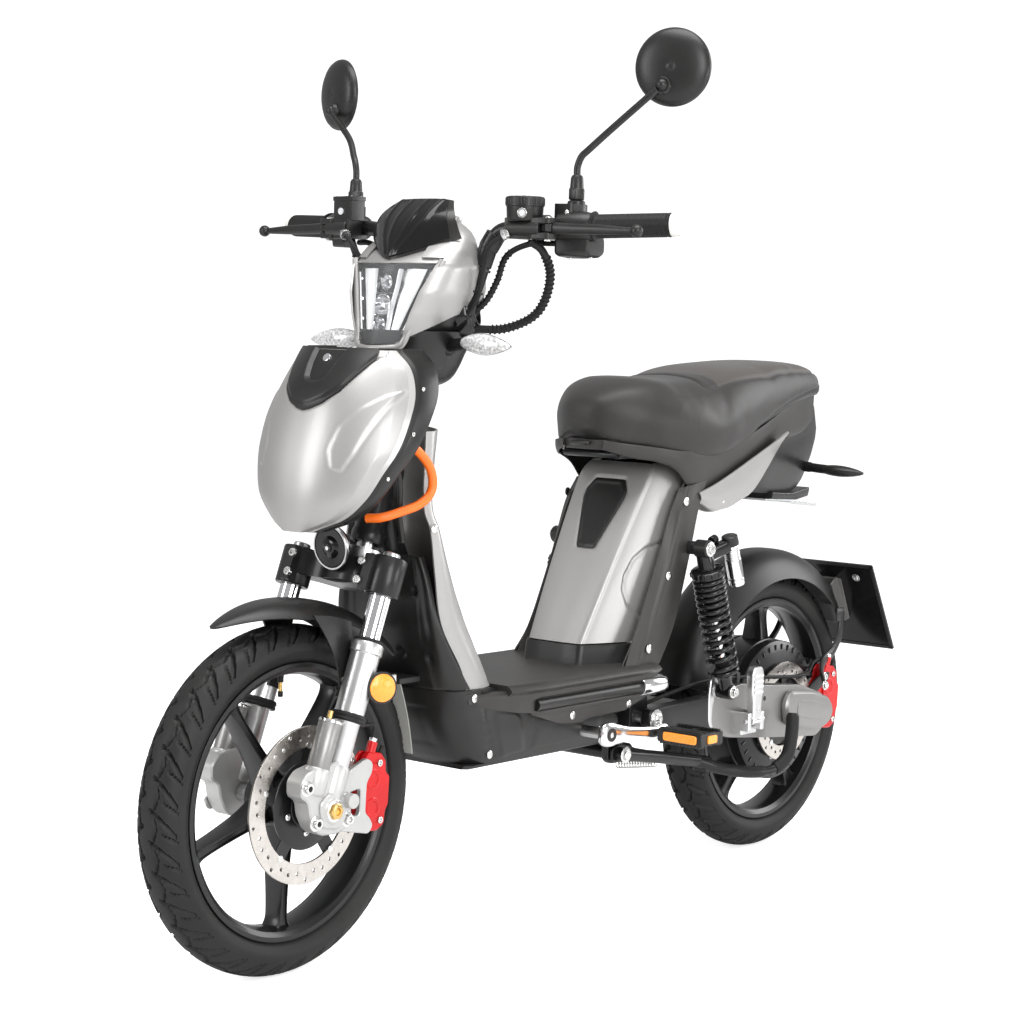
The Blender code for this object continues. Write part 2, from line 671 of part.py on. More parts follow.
def round_ring(z, half_width, y0, y1, count=14):
    """Level superellipse ring."""
    middle, half_depth = (y0 + y1) / 2, (y1 - y0) / 2
    points = []
    for j in range(count):
        angle = 2 * math.pi * (j + .5) / count
        c, s = math.cos(angle), math.sin(angle)
        points.append((half_width * math.copysign(abs(c) ** .75, c),
                       middle + half_depth * math.copysign(abs(s) ** .75, s), z))
    return points


def lens_rows():
    """Rows from the top down, narrowing, with the edges swept back."""
    rows = []
    for i in range(5):
        t = i / 4
        z = .966 - t * .110
        half_width = .074 - t * .036
        centre_y = .163 + .006 * t
        rows.append([(u * half_width, centre_y + (.030 - .012 * t) * abs(u) ** 1.6, z)
                     for u in ACROSS])
    return rows


lamp_opening = lofted([[(-top_w, y, top), (top_w, y, top), (low_w, y, low), (-low_w, y, low)]
                       for y, top_w, top, low_w, low in LAMP_OPENING])
rear_opening = lofted([round_ring(z, half_width, .215, .330, 12)
                       for z, half_width in ((.860, .052), (.985, .066))])
part("headlight_nacelle", "silver_panel", "steering",
     [lofted([round_ring(*station) for station in NACELLE])], [lamp_opening, rear_opening])

# lower rear body with a stalk and a tapered pod on each side
front_stalks = [swept([(side * .030, .232, .850), (side * .080, .225, .866),
                       (side * .120, .212, .870)], .0085) for side in (1, -1)]
front_pods = [lofted([x_ring(side * .112, FRONT_POD_INNER, .190),
                      x_ring(side * .205, FRONT_POD_OUTER, .232)]) for side in (1, -1)]
part("nacelle_back", "black_plastic", "steering",
     [lofted([round_ring(*station, 12) for station in NACELLE_BACK])] + front_stalks + front_pods,
     [steering_tube([(.60, .0212), (.72, .0212)]), swept(full_bar(half_bar[:9]), .0124, 10)])

part("headlight_lens", "clear_lens", "steering", [sheet(lens_rows(), -.0025)])
part("windscreen", "smoked_screen", "steering",
     [sheet([[(u * half_width, y + bow * abs(u) ** 1.7, z - .006 * abs(u)) for u in ACROSS]
             for z, half_width, y, bow in WINDSCREEN], -SHELL)])

# -------------------------------------------------------------- front cover
COVER = [            # (z, half width, centre y, edge y)
    (.852, .075, .086, .124), (.828, .104, .066, .130), (.795, .122, .043, .124),
    (.760, .130, .028, .106), (.720, .129, .016, .086), (.685, .117, .010, .067),
    (.650, .100, .008, .053), (.622, .070, .010, .045), (.604, .032, .014, .024)]


def cover_y(u, centre_y, edge_y):
    return centre_y + (edge_y - centre_y) * abs(u) ** 2.6


def cover_back_row(z, half_width, centre_y, edge_y):
    """Row just behind the cover, with an edge flange that deepens upwards."""
    top, bottom = COVER[0][0], COVER[-1][0]
    flange = .018 + .030 * ((z - bottom) / (top - bottom))
    half = [(half_width + .001, edge_y + .006 + flange, z), (half_width * .985, edge_y + .007, z)]
    half += [(u * half_width * .93, cover_y(u * .95, centre_y, edge_y) + .0075, z)
             for u in (.75, .5, .25)]
    return symmetric(half, [(0, centre_y + .0075, z)])


part("front_cover", "silver_panel", "root",
     [sheet([[(u * half_width, cover_y(u, centre_y, edge_y), z) for u in np.linspace(-1, 1, 9)]
             for z, half_width, centre_y, edge_y in COVER], -SHELL)])
part("front_cover_back", "black_plastic", "root",
     [sheet([cover_back_row(*station) for station in COVER], -.0028)])

# ---------------------------------------- column round the down tube, floor
LEG_SHIELD_TOP = [(.056, .222, .738), (.0555, .240, .738), (.047, .256, .740), (.025, .262, .742)]
LEG_SHIELD = [       # (z, half width, y of the side edge, rear y)
    (.640, .070, .205, .246), (.600, .080, .212, .258), (.540, .088, .212, .278),
    (.470, .094, .230, .306), (.405, .098, .262, .336)]
FAIRING_UPPER = [    # (z, half width, front y, y of the seam with the leg shield)
    (.560, .070, .198, .210), (.530, .081, .198, .213), (.470, .093, .204, .230),
    (.405, .098, .222, .262)]
FAIRING_LOWER = [    # (z, half width, front y, y of the side bend, rear y)
    (.371, .100, .234, .282, .300), (.3492, .099, .242, .300, .342),
    (.3480, .099, .2425, .300, .625), (.325, .0915, .252, .320, .625),
    (.285, .0895, .276, .350, .625), (.2545, .0800, .303, .380, .625)]
BOARD_X, BOARD_FRONT, BOARD_REAR = .125, .346, .700
BOARD_STEP = [(-.088, .690), (-.088, .668), (-.053, .588), (.053, .588), (.088, .668),
              (.088, .690)]                                            # (x, y)
BOARD_NOTCH = [(-.053, .612), (.053, .612), (.066, .72), (-.066, .72)]  # (x, y)


def leg_shield_row(z, half_width, edge, rear):
    return symmetric([(half_width, edge + .001, z), (half_width * .99, (edge + rear) / 2, z),
                      (half_width * .80, rear - .006, z), (half_width * .4, rear, z)],
                     [(0, rear, z)])


def fairing_row(z, half_width, front, bend, rear):
    return symmetric([(half_width, rear, z), (half_width, (rear * 2 + bend) / 3, z),
                      (half_width, bend - .004, z),
                      (half_width * .82, (front + bend) / 2 - .006, z),
                      (half_width * .42, front + .003, z)], [(0, front, z)])


part("leg_shield", "silver_panel", "root",
     [sheet([symmetric(LEG_SHIELD_TOP, [(0, .262, .742)])]
            + [leg_shield_row(*station) for station in LEG_SHIELD], SHELL)])
fairing_rows = [fairing_row(z, half_width, front, seam - .004, seam - .0015)
                for z, half_width, front, seam in FAIRING_UPPER]
fairing_rows += [fairing_row(z, half_width, front, bend - .006, rear)
                 for z, half_width, front, bend, rear in FAIRING_LOWER]
part("lower_fairing", "black_plastic", "root",
     [sheet(fairing_rows, -SHELL), block(-.0790, .0790, .3045, .625, .2500, .2556)],
     [cross_rod(CRANK, BORE_REACH, .0125, 16)])
part("footboard", "grey_plastic", "root",
     [block(-BOARD_X, BOARD_X, BOARD_FRONT, BOARD_REAR, .350, .362),
      # front lip, then the two side skirts
      block(-BOARD_X, BOARD_X, BOARD_FRONT, .372, .350, .368),
      block(-BOARD_X, -.118, BOARD_FRONT, BOARD_REAR, .325, .351),
      block(.118, BOARD_X, BOARD_FRONT, BOARD_REAR, .325, .351),
      upright(BOARD_STEP, .361, .4030)],
     [upright(BOARD_NOTCH, .33, .42)])

# --------------------------------------------------------------- main frame
DOWN_TUBE = [
    fork_point(.49, 0, FORK_OFFSET + .010), fork_point(.42, 0, FORK_OFFSET + .026),
    (0, .250, .500), (0, .285, .380), (0, .345, .312), (0, .436, .303)]
RAIL = [             # left rail, from under the floor up to the tail
    (.063, .4245, .3022), (.065, .540, .3018), (.068, .640, .3021), (.072, .705, .325),
    (.080, .755, .430), (.086, .800, .590), (.076, .885, .678), (.058, 1.020, .714),
    (.040, 1.160, .741)]
SEAT_RAIL = [(.074, .882, .6765), (.062, .800, .6900), (.050, .634, .688)]
CROSS_TUBES = [      # (half length, y, z, radius, segments)
    (.0702, .4330, .3030, .0143, 11), (.0655, .5610, .2990, .0093, 9),
    (.0693, .6390, .3030, .0101, 9), (.088, .800, .592, .0110, 10),
    (.042, 1.130, .7355, .0080, 8), (.052, .640, .688, .0055, 8)]
FRAME_LUGS = [       # left lugs at the swingarm, the stand and the shock: x, y and z ranges
    (.0640, .088, .6797, .7213, .2585, .3307), (.0537, .0661, .6541, .6913, .2120, .2966),
    (.086, .1285, .7735, .7985, .535, .560)]

frame = [steering_tube([(.376, .0230), (.600, .0230)]), swept(DOWN_TUBE, .0185)]
for side in (1, -1):
    frame.append(swept([on_side(side, *p) for p in RAIL], .0125, 6))
    for x0, x1, *yz_range in FRAME_LUGS:
        frame.append(block(side * x0, side * x1, *yz_range))
    frame.append(swept([on_side(side, *p) for p in SEAT_RAIL], .0060))
frame += [cross_rod((0, y, z), half_length, radius, segs)
          for half_length, y, z, radius, segs in CROSS_TUBES]
frame += [turned([(-.0500, 0), (-.0500, .0220), (.0500, .0220), (.0500, 0)], 16, CRANK),
          # tray under the battery and its wider rear edge
          block(-.050, .050, .622, .738, .3660, .3745),
          block(-.066, .066, .7225, .738, .3660, .3745)]
part("main_frame", "frame_steel", "root", frame,
     [cross_rod(PIVOT, BORE_REACH, .0085, 16), cross_rod(CRANK, BORE_REACH, .0095, 16),
      cross_rod(STAND, BORE_REACH, .0114), steering_tube([(.360, .0165), (.620, .0165)])])

# ---------------------------------------------------------- battery housing
BATTERY_COVER = [    # (z, half width of the front face, its y, half width at the rear edge, its y)
    (.404, .052, .592, .088, .690), (.470, .057, .626, .092, .722),
    (.540, .062, .664, .094, .750), (.610, .067, .704, .094, .782),
    (.655, .069, .732, .091, .806), (.678, .063, .750, .084, .812)]
BATTERY_PACK = [     # (z, front half width, front y, rear half width, rear y)
    (.3755, .046, .618, .060, .700), (.640, .050, .738, .062, .785)]
SIDE_PANEL = [       # left panel, rows from the bottom up, each from front to rear
    [(.112, .628, .366), (.116, .665, .366), (.112, .702, .370)],
    [(.104, .664, .420), (.116, .700, .420), (.112, .738, .430)],
    [(.104, .712, .520), (.118, .740, .520), (.114, .763, .526)],
    [(.102, .748, .600), (.117, .768, .604), (.115, .786, .608)],
    [(.100, .774, .640), (.113, .792, .645), (.112, .812, .650)]]


def battery_row(z, front_w, front, rear_w, rear):
    return symmetric([(rear_w, rear, z),
                      (rear_w * .6 + front_w * .4, rear * .6 + front * .4 + .002, z),
                      (front_w * .94 + rear_w * .06, front + .013, z),
                      (front_w * .92, front + .004, z), (front_w * .5, front + .0005, z)],
                     [(0, front, z)])


part("battery_cover", "silver_panel", "root",
     [sheet([battery_row(*station) for station in BATTERY_COVER], -SHELL)])
part("battery_pack", "battery_case", "root",
     [lofted([[(-front_w, front, z), (front_w, front, z), (rear_w, rear, z), (-rear_w, rear, z)]
              for z, front_w, front, rear_w, rear in BATTERY_PACK])])
for side, name, _ in SIDES:
    part("side_panel_" + name, "grey_plastic", "root",
         [sheet([[on_side(side, *p) for p in row] for row in SIDE_PANEL], .0028 * side)])

# ------------------------------------------------------- seat and tail unit
TAIL = [             # (y, half width, top z)
    (.870, .110, .699), (.950, .106, .720), (1.020, .098, .742), (1.085, .086, .760),
    (1.150, .070, .770), (1.200, .054, .772)]
TAIL_LAMP = [(-.045, 0), (-.030, -.028), (.030, -.028), (.045, 0), (.036, .030),
             (-.036, .030)]                                          # (x, z)
TAIL_LAMP_STATIONS = [(1.207, 1.0, .728), (1.245, .95, .715), (1.283, .55, .690)]
TAIL_TONGUE = [(-.040, 0), (.040, 0), (.040, -.010), (-.040, -.010)]  # (x, z)
TAIL_TONGUE_STATIONS = [(1.155, 1.0, .688), (1.215, .9, .703), (1.265, .6, .690)]
REAR_POD_INNER = [(0, .670), (.012, .660), (.030, .662), (.034, .672), (.024, .682),
                  (.008, .682)]    # (y, z)
REAR_POD_OUTER = [(.006, .667), (.012, .663), (.018, .663), (.020, .667), (.016, .671),
                  (.008, .671)]
SEAT = [             # (y, half width, bottom z, top z)
    (.638, .022, .740, .768), (.652, .050, .722, .788), (.690, .085, .712, .805),
    (.740, .111, .704, .810), (.800, .127, .702, .806), (.870, .130, .704, .812),
    (.940, .124, .716, .826), (1.020, .116, .738, .832), (1.100, .107, .764, .835),
    (1.180, .091, .778, .832), (1.236, .070, .782, .824), (1.276, .034, .788, .808)]
SEAT_SECTION = [     # (fraction of half width, fraction of height), bottom to crown
    (.70, 0), (.96, .18), (1.0, .45), (.88, .78), (.50, .96)]


def underseat_row(y, half_width, top):
    bottom, rim = top - .060, top + .002
    return symmetric([(half_width, y, rim), (half_width, y, (bottom + rim) / 2),
                      (half_width * .72, y, bottom), (half_width * .25, y, bottom)])


def tail_cover_row(y, half_width, top):
    bottom = top - .046
    return symmetric([(half_width + .006, y, top - .004), (half_width + .006, y, bottom + .010),
                      (half_width * .80, y, bottom - .022), (half_width * .3, y, bottom - .034)])


def seat_ring(y, half_width, bottom, top):
    height = top - bottom
    return symmetric([(x * half_width, y, bottom + height * z) for x, z in SEAT_SECTION],
                     [(0, y, bottom + height)])


part("underseat_shell", "grey_plastic", "root",
     [sheet([underseat_row(*station) for station in TAIL], SHELL)])
part("tail_cover", "silver_panel", "root",
     [sheet([tail_cover_row(*station) for station in TAIL[:5]], SHELL)])
rear_stalks = [swept([(side * .020, 1.232, .698), (side * .070, 1.224, .682),
                      (side * .095, 1.222, .673)], .0075) for side in (1, -1)]
rear_pods = [lofted([x_ring(side * .086, REAR_POD_INNER, 1.206),
                     x_ring(side * .165, REAR_POD_OUTER, 1.222)]) for side in (1, -1)]
part("tail_light_cluster", "red_lens", "root",
     [lofted(y_rings(TAIL_LAMP, TAIL_LAMP_STATIONS)),
      lofted(y_rings(TAIL_TONGUE, TAIL_TONGUE_STATIONS))] + rear_stalks + rear_pods)
part("seat", "seat_vinyl", "seat",
     [lofted([seat_ring(*station) for station in SEAT]),
      block(-.030, .030, .633, .720, .7005, .7180)])

# --------------------------------------------------- swingarm, plate, shocks
ARM = [              # (y, z)
    (.684, .270), (.700, .263), (.780, .256), (.900, .232), (1.040, .216), (1.165, .204),
    (1.190, .222), (1.197, .248), (1.180, .276), (1.110, .298), (.965, .312), (.938, .318),
    (.900, .314), (.860, .308), (.716, .303), (.684, .300)]
PEG_BRACKET = [      # base and two ears: y range, z range
    (.905, .950, .238, .262), (.905, .914, .245, .275), (.941, .950, .245, .275)]
PLATE_FACES = [      # (top y, top z, bottom y, bottom z) of the front and rear faces
    (1.368, .4794, 1.4565, .3230), (1.3706, .4808, REAR_END, .3245)]
PLATE_RIB = [(1.4005, .424), (1.428, .375), (1.418, .369), (1.386, .406)]   # (y, z)
SHOCK_BODY = [       # (distance down the shock, radius)
    (.008, 0), (.008, .0130), (.034, .0130), (.034, .0245), (.046, .0245), (.046, .0150),
    (.120, .0150), (.120, .0068), (.060, .0068), (.060, 0)]
SHOCK_ROD = [
    (.090, 0), (.090, .0062), (.205, .0062), (.205, .0210), (.214, .0210), (.224, .0110),
    (.2457, .0110), (.2457, 0)]
SHOCK_EYE_HALF_WIDTH = .0128

arm = [plate(ARM, side * .1045, side * .1255) for side in (1, -1)]
arm += [turned([(-.110, .0135), (-.101, .0135)], 16, PIVOT),
        turned([(.101, .0135), (.110, .0135)], 16, PIVOT),
        cross_rod((0, .886, .272), .110, .0120),
        cross_rod(PIVOT, .124, .0080, 16)]
arm += [block(side * .123, side * .1450, *yz_range)
        for side in (1, -1) for yz_range in PEG_BRACKET]
part("swingarm", "swingarm_grey", "swing", arm, [cross_rod(AXLE_B, BORE_REACH, AXLE_BORE_R)])

part("number_plate", "black_plastic", "swing",
     [lofted([[(-.100, y0, z0), (.100, y0, z0), (.100, y1, z1), (-.100, y1, z1)]
              for y0, z0, y1, z1 in PLATE_FACES]),
      lofted([x_ring(x, PLATE_RIB) for x in (-.020, .020)])])


def shock(side, name, letter):
    top, bottom = SHOCK_TOP[side], SHOCK_BOTTOM[side]
    down = unit(bottom - top)
    behind = np.cross([1.0, 0, 0], down)
    neck = top + down * .006
    part("shock_body_" + name, "black_plastic", "shock_" + letter,
         [cross_rod(top, SHOCK_EYE_HALF_WIDTH, .0140, 10),
          turned(SHOCK_BODY, 12, top, down),
          rod(neck, neck + behind * .040, .0085, 8),
          # cylinder behind the body, parallel to it
          turned([(-.006, 0), (-.006, .0135), (.078, .0135), (.078, 0)], 10,
                 top + behind * .042 + down * .004, down)])
    part("shock_rod_" + name, "chrome", "rod_" + letter,
         [turned(SHOCK_ROD, 12, top, down),
          cross_rod(bottom, SHOCK_EYE_HALF_WIDTH, .0125, 10)])


for side, name, letter in SIDES:
    shock(side, name, letter)

# --------------------------------------------------- stand, pegs and pedals
STAND_LEG = [(.079, STAND[1], STAND[2]), (.079, .760, .213), (.080, .840, .198),
             (.080, .905, .186)]
STAND_TANG = [(.080, .882, .190), (.118, .945, .174), (.153, 1.010, .172),
              (.160, 1.055, .192), (.158, 1.072, .245)]    # bent arm on the left
PEG_STATIONS = [     # (z, half length along y)
    (.262, .0115), (.300, .0115), (.306, .016), (.345, .016)]
PEG_HALF_THICKNESS = .0065
PEDAL_SECTION = [    # (y, z) round the pedal spindle
    (-.030, -.009), (-.024, -.0125), (.024, -.0125), (.030, -.009), (.030, .009),
    (.024, .0125), (-.024, .0125), (-.030, .009)]

part("centre_stand", "frame_steel", "stand",
     [cross_rod(STAND, .088, .0110)]
     + [swept([on_side(side, *p) for p in STAND_LEG], .0100) for side in (1, -1)]
     + [cross_rod((0, .800, .205), .078, .0080, 8), swept(STAND_TANG, .0065, 6)]
     + [rod((side * .080, .901, .178), (side * .080, .901, .192), .018) for side in (1, -1)])


def peg(side, name, letter):
    """Folded up: hinge barrel along y with the blade standing on it."""
    centre = PEG[side]
    blade = [[(centre[0] + x, centre[1] + y, z)
              for x, y in ((-PEG_HALF_THICKNESS, -half_length), (PEG_HALF_THICKNESS, -half_length),
                           (PEG_HALF_THICKNESS, half_length), (-PEG_HALF_THICKNESS, half_length))]
             for z, half_length in PEG_STATIONS]
    part("peg_" + name, "alloy", "peg_" + letter,
         [rod(centre - [0, .0125, 0], centre + [0, .0125, 0], .0075), lofted(blade)])


def pedal_rod(side, x0, x1, radius, segs=12):
    """Rod along the pedal spindle."""
    _, y, z = PEDAL[side]
    return rod((side * x0, y, z), (side * x1, y, z), radius, segs)


def pedal(side, name, letter):
    _, y, z = PEDAL[side]
    part("pedal_" + name, "black_plastic", "pedal_" + letter,
         [lofted([x_ring(side * x, PEDAL_SECTION, y, z) for x in (.1470, .2290)])],
         [pedal_rod(side, .13, .2190, .0060)])


def crank_arm(side):
    """Boss on the crank axle, tapered arm, boss and spindle at the pedal."""
    _, axle_y, axle_z = CRANK
    _, pedal_y, pedal_z = PEDAL[side]
    return [rod((side * .1275, axle_y, axle_z), (side * .1430, axle_y, axle_z), .0180),
            lofted([x_ring(side * x, [(0, -.0125), (0, .0125)], axle_y, axle_z)
                    + x_ring(side * x, [(0, .0105), (0, -.0105)], pedal_y, pedal_z)
                    for x in (.1290, .1400)]),
            pedal_rod(side, .1285, .1425, .0135, 10),
            pedal_rod(side, .1380, .2160, .0055)]


for side, name, letter in SIDES:
    peg(side, name, letter)
    pedal(side, name, letter)

crank_axle = turned([(-.138, 0), (-.138, .0088), (.138, .0088), (.138, 0)], 16, CRANK)
chainring = turned([(-.0990, 0), (-.0990, .0462), (-.0970, .0462), (-.0970, 0)], 24, CRANK)
part("crankset", "alloy", "crank", [crank_axle] + crank_arm(1) + crank_arm(-1) + [chainring])

# -------------------------------------------- chain from chainring to freewheel
CHAIN_X = (-.1015, -.0945)       # right and left faces
CHAIN_FRONT_R = .0472            # inner radius round the chainring
CHAIN_REAR_R = .0355             # inner radius round the freewheel
CHAIN_HEIGHT = .0056


def chain_line(front_r, rear_r, steps=12):
    """Closed (y, z) line: half a turn round the crank, then half a turn round the rear axle."""
    front, rear = CRANK[1:], AXLE_B[1:]
    along = unit(rear - front)
    across = np.array([-along[1], along[0]])
    angles = [math.pi * (k / steps - .5) for k in range(steps + 1)]
    points = [front + (-along * math.cos(a) - across * math.sin(a)) * front_r for a in angles]
    points += [rear + (along * math.cos(a) + across * math.sin(a)) * rear_r for a in angles]
    return points


def chain_loop():
    inner = chain_line(CHAIN_FRONT_R, CHAIN_REAR_R)
    outer = chain_line(CHAIN_FRONT_R + CHAIN_HEIGHT, CHAIN_REAR_R + CHAIN_HEIGHT)
    n = len(inner)
    verts = [(x, y, z) for x in CHAIN_X for y, z in inner + outer]
    faces = []
    for k in range(n):
        m = (k + 1) % n
        faces += [(k, m, n + m, n + k), (2 * n + k, 3 * n + k, 3 * n + m, 2 * n + m),
                  (k, 2 * n + k, 2 * n + m, m), (n + k, n + m, 3 * n + m, 3 * n + k)]
    return verts, faces


part("drive_chain", "chain_steel", "root", [chain_loop()])
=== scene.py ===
"""Looks of the moped scooter: detailed surfaces and materials around the fixed CAD frame.

Lengths are metres.  Shapes are written in the design's own frame, where y is measured
from the front axle; YO moves them to the frame the CAD model uses.
"""
import json
import math
import bpy
import bmesh
import numpy as np
from mathutils import Matrix, Vector
from mathutils.geometry import delaunay_2d_cdt


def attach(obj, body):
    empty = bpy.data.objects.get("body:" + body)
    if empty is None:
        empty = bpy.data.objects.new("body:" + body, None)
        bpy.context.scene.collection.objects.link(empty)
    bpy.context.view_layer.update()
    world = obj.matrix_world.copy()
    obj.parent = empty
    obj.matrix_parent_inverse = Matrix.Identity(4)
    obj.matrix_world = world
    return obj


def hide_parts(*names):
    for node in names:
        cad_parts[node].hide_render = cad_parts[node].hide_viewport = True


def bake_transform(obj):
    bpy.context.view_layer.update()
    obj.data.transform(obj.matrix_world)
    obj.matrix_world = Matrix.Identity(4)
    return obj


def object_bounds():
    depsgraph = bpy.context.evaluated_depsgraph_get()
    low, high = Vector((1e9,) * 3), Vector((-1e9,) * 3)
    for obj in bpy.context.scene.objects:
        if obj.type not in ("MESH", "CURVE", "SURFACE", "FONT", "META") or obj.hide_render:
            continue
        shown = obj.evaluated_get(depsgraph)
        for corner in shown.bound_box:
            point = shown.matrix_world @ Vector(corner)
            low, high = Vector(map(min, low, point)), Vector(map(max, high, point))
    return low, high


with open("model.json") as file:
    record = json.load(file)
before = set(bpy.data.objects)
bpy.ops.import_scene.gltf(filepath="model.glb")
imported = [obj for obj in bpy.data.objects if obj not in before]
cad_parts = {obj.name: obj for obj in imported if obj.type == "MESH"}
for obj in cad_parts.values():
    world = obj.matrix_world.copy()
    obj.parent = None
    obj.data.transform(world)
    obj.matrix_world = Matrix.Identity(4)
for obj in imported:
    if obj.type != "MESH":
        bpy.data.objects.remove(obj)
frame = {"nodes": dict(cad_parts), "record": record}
CAD_LO, CAD_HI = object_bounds()
TYRE_R, WHEELBASE = 0.240, 1.157
YO = float(CAD_LO.y) + TYRE_R
RAKE = math.radians(20.5)
SA = np.array([0.0, math.sin(RAKE), math.cos(RAKE)])
SB = np.array([0.0, math.cos(RAKE), -math.sin(RAKE)])
AXLE_F, AXLE_B = np.array([0, 0, TYRE_R]), np.array([0, WHEELBASE, TYRE_R])
FORK_X = 0.085
PIVOT, CRANK, STAND = (0.0, .700, .285), (0.0, .560, .280), (0.0, .672, .228)
X1 = np.array([1.0, 0, 0])


def unit(v):
    v = np.asarray(v, float)
    return v / np.linalg.norm(v)


def leg(s, x=0.0, back=0.0):
    return AXLE_F + SA * s + SB * back + np.array([x, 0, 0])


BAR_ANGLE = math.radians(17.0)
BAR_IN = {1: np.array([.140, .310, 1.024]), -1: np.array([-.140, .310, 1.024])}
BAR_DIR = {s: unit([s * math.cos(BAR_ANGLE), math.sin(BAR_ANGLE), .03]) for s in (1, -1)}


def bar(s, d):
    return BAR_IN[s] + BAR_DIR[s] * d


LEVER = {s: np.array([s * .206, .293, 1.023]) for s in (1, -1)}
STEM = {s: np.array([s * .209, .351, 1.064]) for s in (1, -1)}
HEAD = {1: np.array([.314, .424, 1.249]), -1: np.array([-.314, .424, 1.233])}
HEAD_N = {s: np.array([s * math.sin(math.radians(20)), -math.cos(math.radians(20)), 0]) for s in (1, -1)}
BALL = {s: HEAD[s] + HEAD_N[s] * .0240 + np.array([-s * .010, 0, -.026]) for s in (1, -1)}
PEDAL = {1: np.array([.180, .700, .268]), -1: np.array([-.180, .420, .292])}
PEG = {s: np.array([s * .1535, .928, .262]) for s in (1, -1)}


# ------------------------------------------------------------------ materials
def mat(name, color, rough=.5, metal=0.0, coat=0.0, var=.10, scale=18.0, bump=0.0, bscale=900.0, bdist=.0004,
        rvar=.12, alpha=1.0, trans=0.0, ior=1.5, kind="noise", stretch=(1, 1, 1), edge=0.0, dust=0.0, flake=0.0,
        sheen=0.0, emit=0.0):
    m = bpy.data.materials.new(name)
    m.use_nodes = True
    nt = m.node_tree
    N, L = nt.nodes, nt.links
    p = N["Principled BSDF"]
    tc = N.new("ShaderNodeTexCoord")
    mp = N.new("ShaderNodeMapping")
    mp.inputs["Scale"].default_value = stretch
    L.new(tc.outputs["Object"], mp.inputs["Vector"])
    n1 = N.new("ShaderNodeTexNoise")
    n1.inputs["Scale"].default_value = scale
    n1.inputs["Detail"].default_value = 6
    L.new(mp.outputs["Vector"], n1.inputs["Vector"])
    ramp = N.new("ShaderNodeValToRGB")
    lo = [max(0, c * (1 - var)) for c in color]
    hi = [min(1, c * (1 + var)) for c in color]
    ramp.color_ramp.elements[0].position, ramp.color_ramp.elements[1].position = .3, .7
    ramp.color_ramp.elements[0].color = (*lo, 1)
    ramp.color_ramp.elements[1].color = (*hi, 1)
    L.new(n1.outputs["Fac"], ramp.inputs["Fac"])
    out = ramp.outputs["Color"]

    def mix(fac, a, b_color, strength):
        mx = N.new("ShaderNodeMix")
        mx.data_type = "RGBA"
        mu = N.new("ShaderNodeMath")
        mu.operation = "MULTIPLY"
        mu.inputs[1].default_value = strength
        L.new(fac, mu.inputs[0])
        L.new(mu.outputs[0], mx.inputs["Factor"])
        L.new(a, mx.inputs["A"])
        mx.inputs["B"].default_value = (*b_color, 1)
        return mx.outputs["Result"]

    if flake:
        f = N.new("ShaderNodeTexVoronoi")
        f.inputs["Scale"].default_value = 2600
        L.new(tc.outputs["Object"], f.inputs["Vector"])
        out = mix(f.outputs["Color"], out, [min(1, c * 1.5) for c in color], flake)
    # painted highlight: convex edges, where pointiness is high, are mixed towards a lighter colour by the edge amount
    if edge:
        g = N.new("ShaderNodeNewGeometry")
        r = N.new("ShaderNodeMapRange")
        r.inputs["From Min"].default_value, r.inputs["From Max"].default_value = .53, .62
        L.new(g.outputs["Pointiness"], r.inputs["Value"])
        out = mix(r.outputs["Result"], out, [min(1, c * 1.6 + .03) for c in color], edge)
    if dust:
        n3 = N.new("ShaderNodeTexNoise")
        n3.inputs["Scale"].default_value = 7
        n3.inputs["Detail"].default_value = 10
        L.new(tc.outputs["Object"], n3.inputs["Vector"])
        r3 = N.new("ShaderNodeMapRange")
        r3.inputs["From Min"].default_value, r3.inputs["From Max"].default_value = .48, .75
        L.new(n3.outputs["Fac"], r3.inputs["Value"])
        out = mix(r3.outputs["Result"], out, (.28, .26, .24), dust)
    L.new(out, p.inputs["Base Color"])
    rr = N.new("ShaderNodeMapRange")
    rr.inputs["To Min"].default_value = max(.02, rough * (1 - rvar))
    rr.inputs["To Max"].default_value = min(1, rough * (1 + rvar))
    L.new(n1.outputs["Fac"], rr.inputs["Value"])
    L.new(rr.outputs["Result"], p.inputs["Roughness"])
    p.inputs["Metallic"].default_value = metal
    p.inputs["Coat Weight"].default_value = coat
    p.inputs["Coat Roughness"].default_value = .12
    p.inputs["IOR"].default_value = ior
    p.inputs["Alpha"].default_value = alpha
    p.inputs["Transmission Weight"].default_value = trans
    if sheen:
        p.inputs["Sheen Weight"].default_value = sheen
        p.inputs["Sheen Roughness"].default_value = .5
    if emit:
        p.inputs["Emission Color"].default_value = (*color, 1)
        p.inputs["Emission Strength"].default_value = emit
    if bump:
        if kind == "leather":
            t = N.new("ShaderNodeTexVoronoi")
            t.feature = "DISTANCE_TO_EDGE"
            t.inputs["Scale"].default_value = bscale
            t.inputs["Randomness"].default_value = 1
            L.new(mp.outputs["Vector"], t.inputs["Vector"])
            h = t.outputs["Distance"]
        elif kind == "cells":
            t = N.new("ShaderNodeTexVoronoi")
            t.inputs["Scale"].default_value = bscale
            t.inputs["Randomness"].default_value = .15
            L.new(mp.outputs["Vector"], t.inputs["Vector"])
            h = t.outputs["Distance"]
        else:
            t = N.new("ShaderNodeTexNoise")
            t.inputs["Scale"].default_value = bscale
            t.inputs["Detail"].default_value = 3
            L.new(mp.outputs["Vector"], t.inputs["Vector"])
            h = t.outputs["Fac"]
        b = N.new("ShaderNodeBump")
        b.inputs["Strength"].default_value = bump
        b.inputs["Distance"].default_value = bdist
        L.new(h, b.inputs["Height"])
        L.new(b.outputs["Normal"], p.inputs["Normal"])
    m.diffuse_color = (*color, 1)
    return m
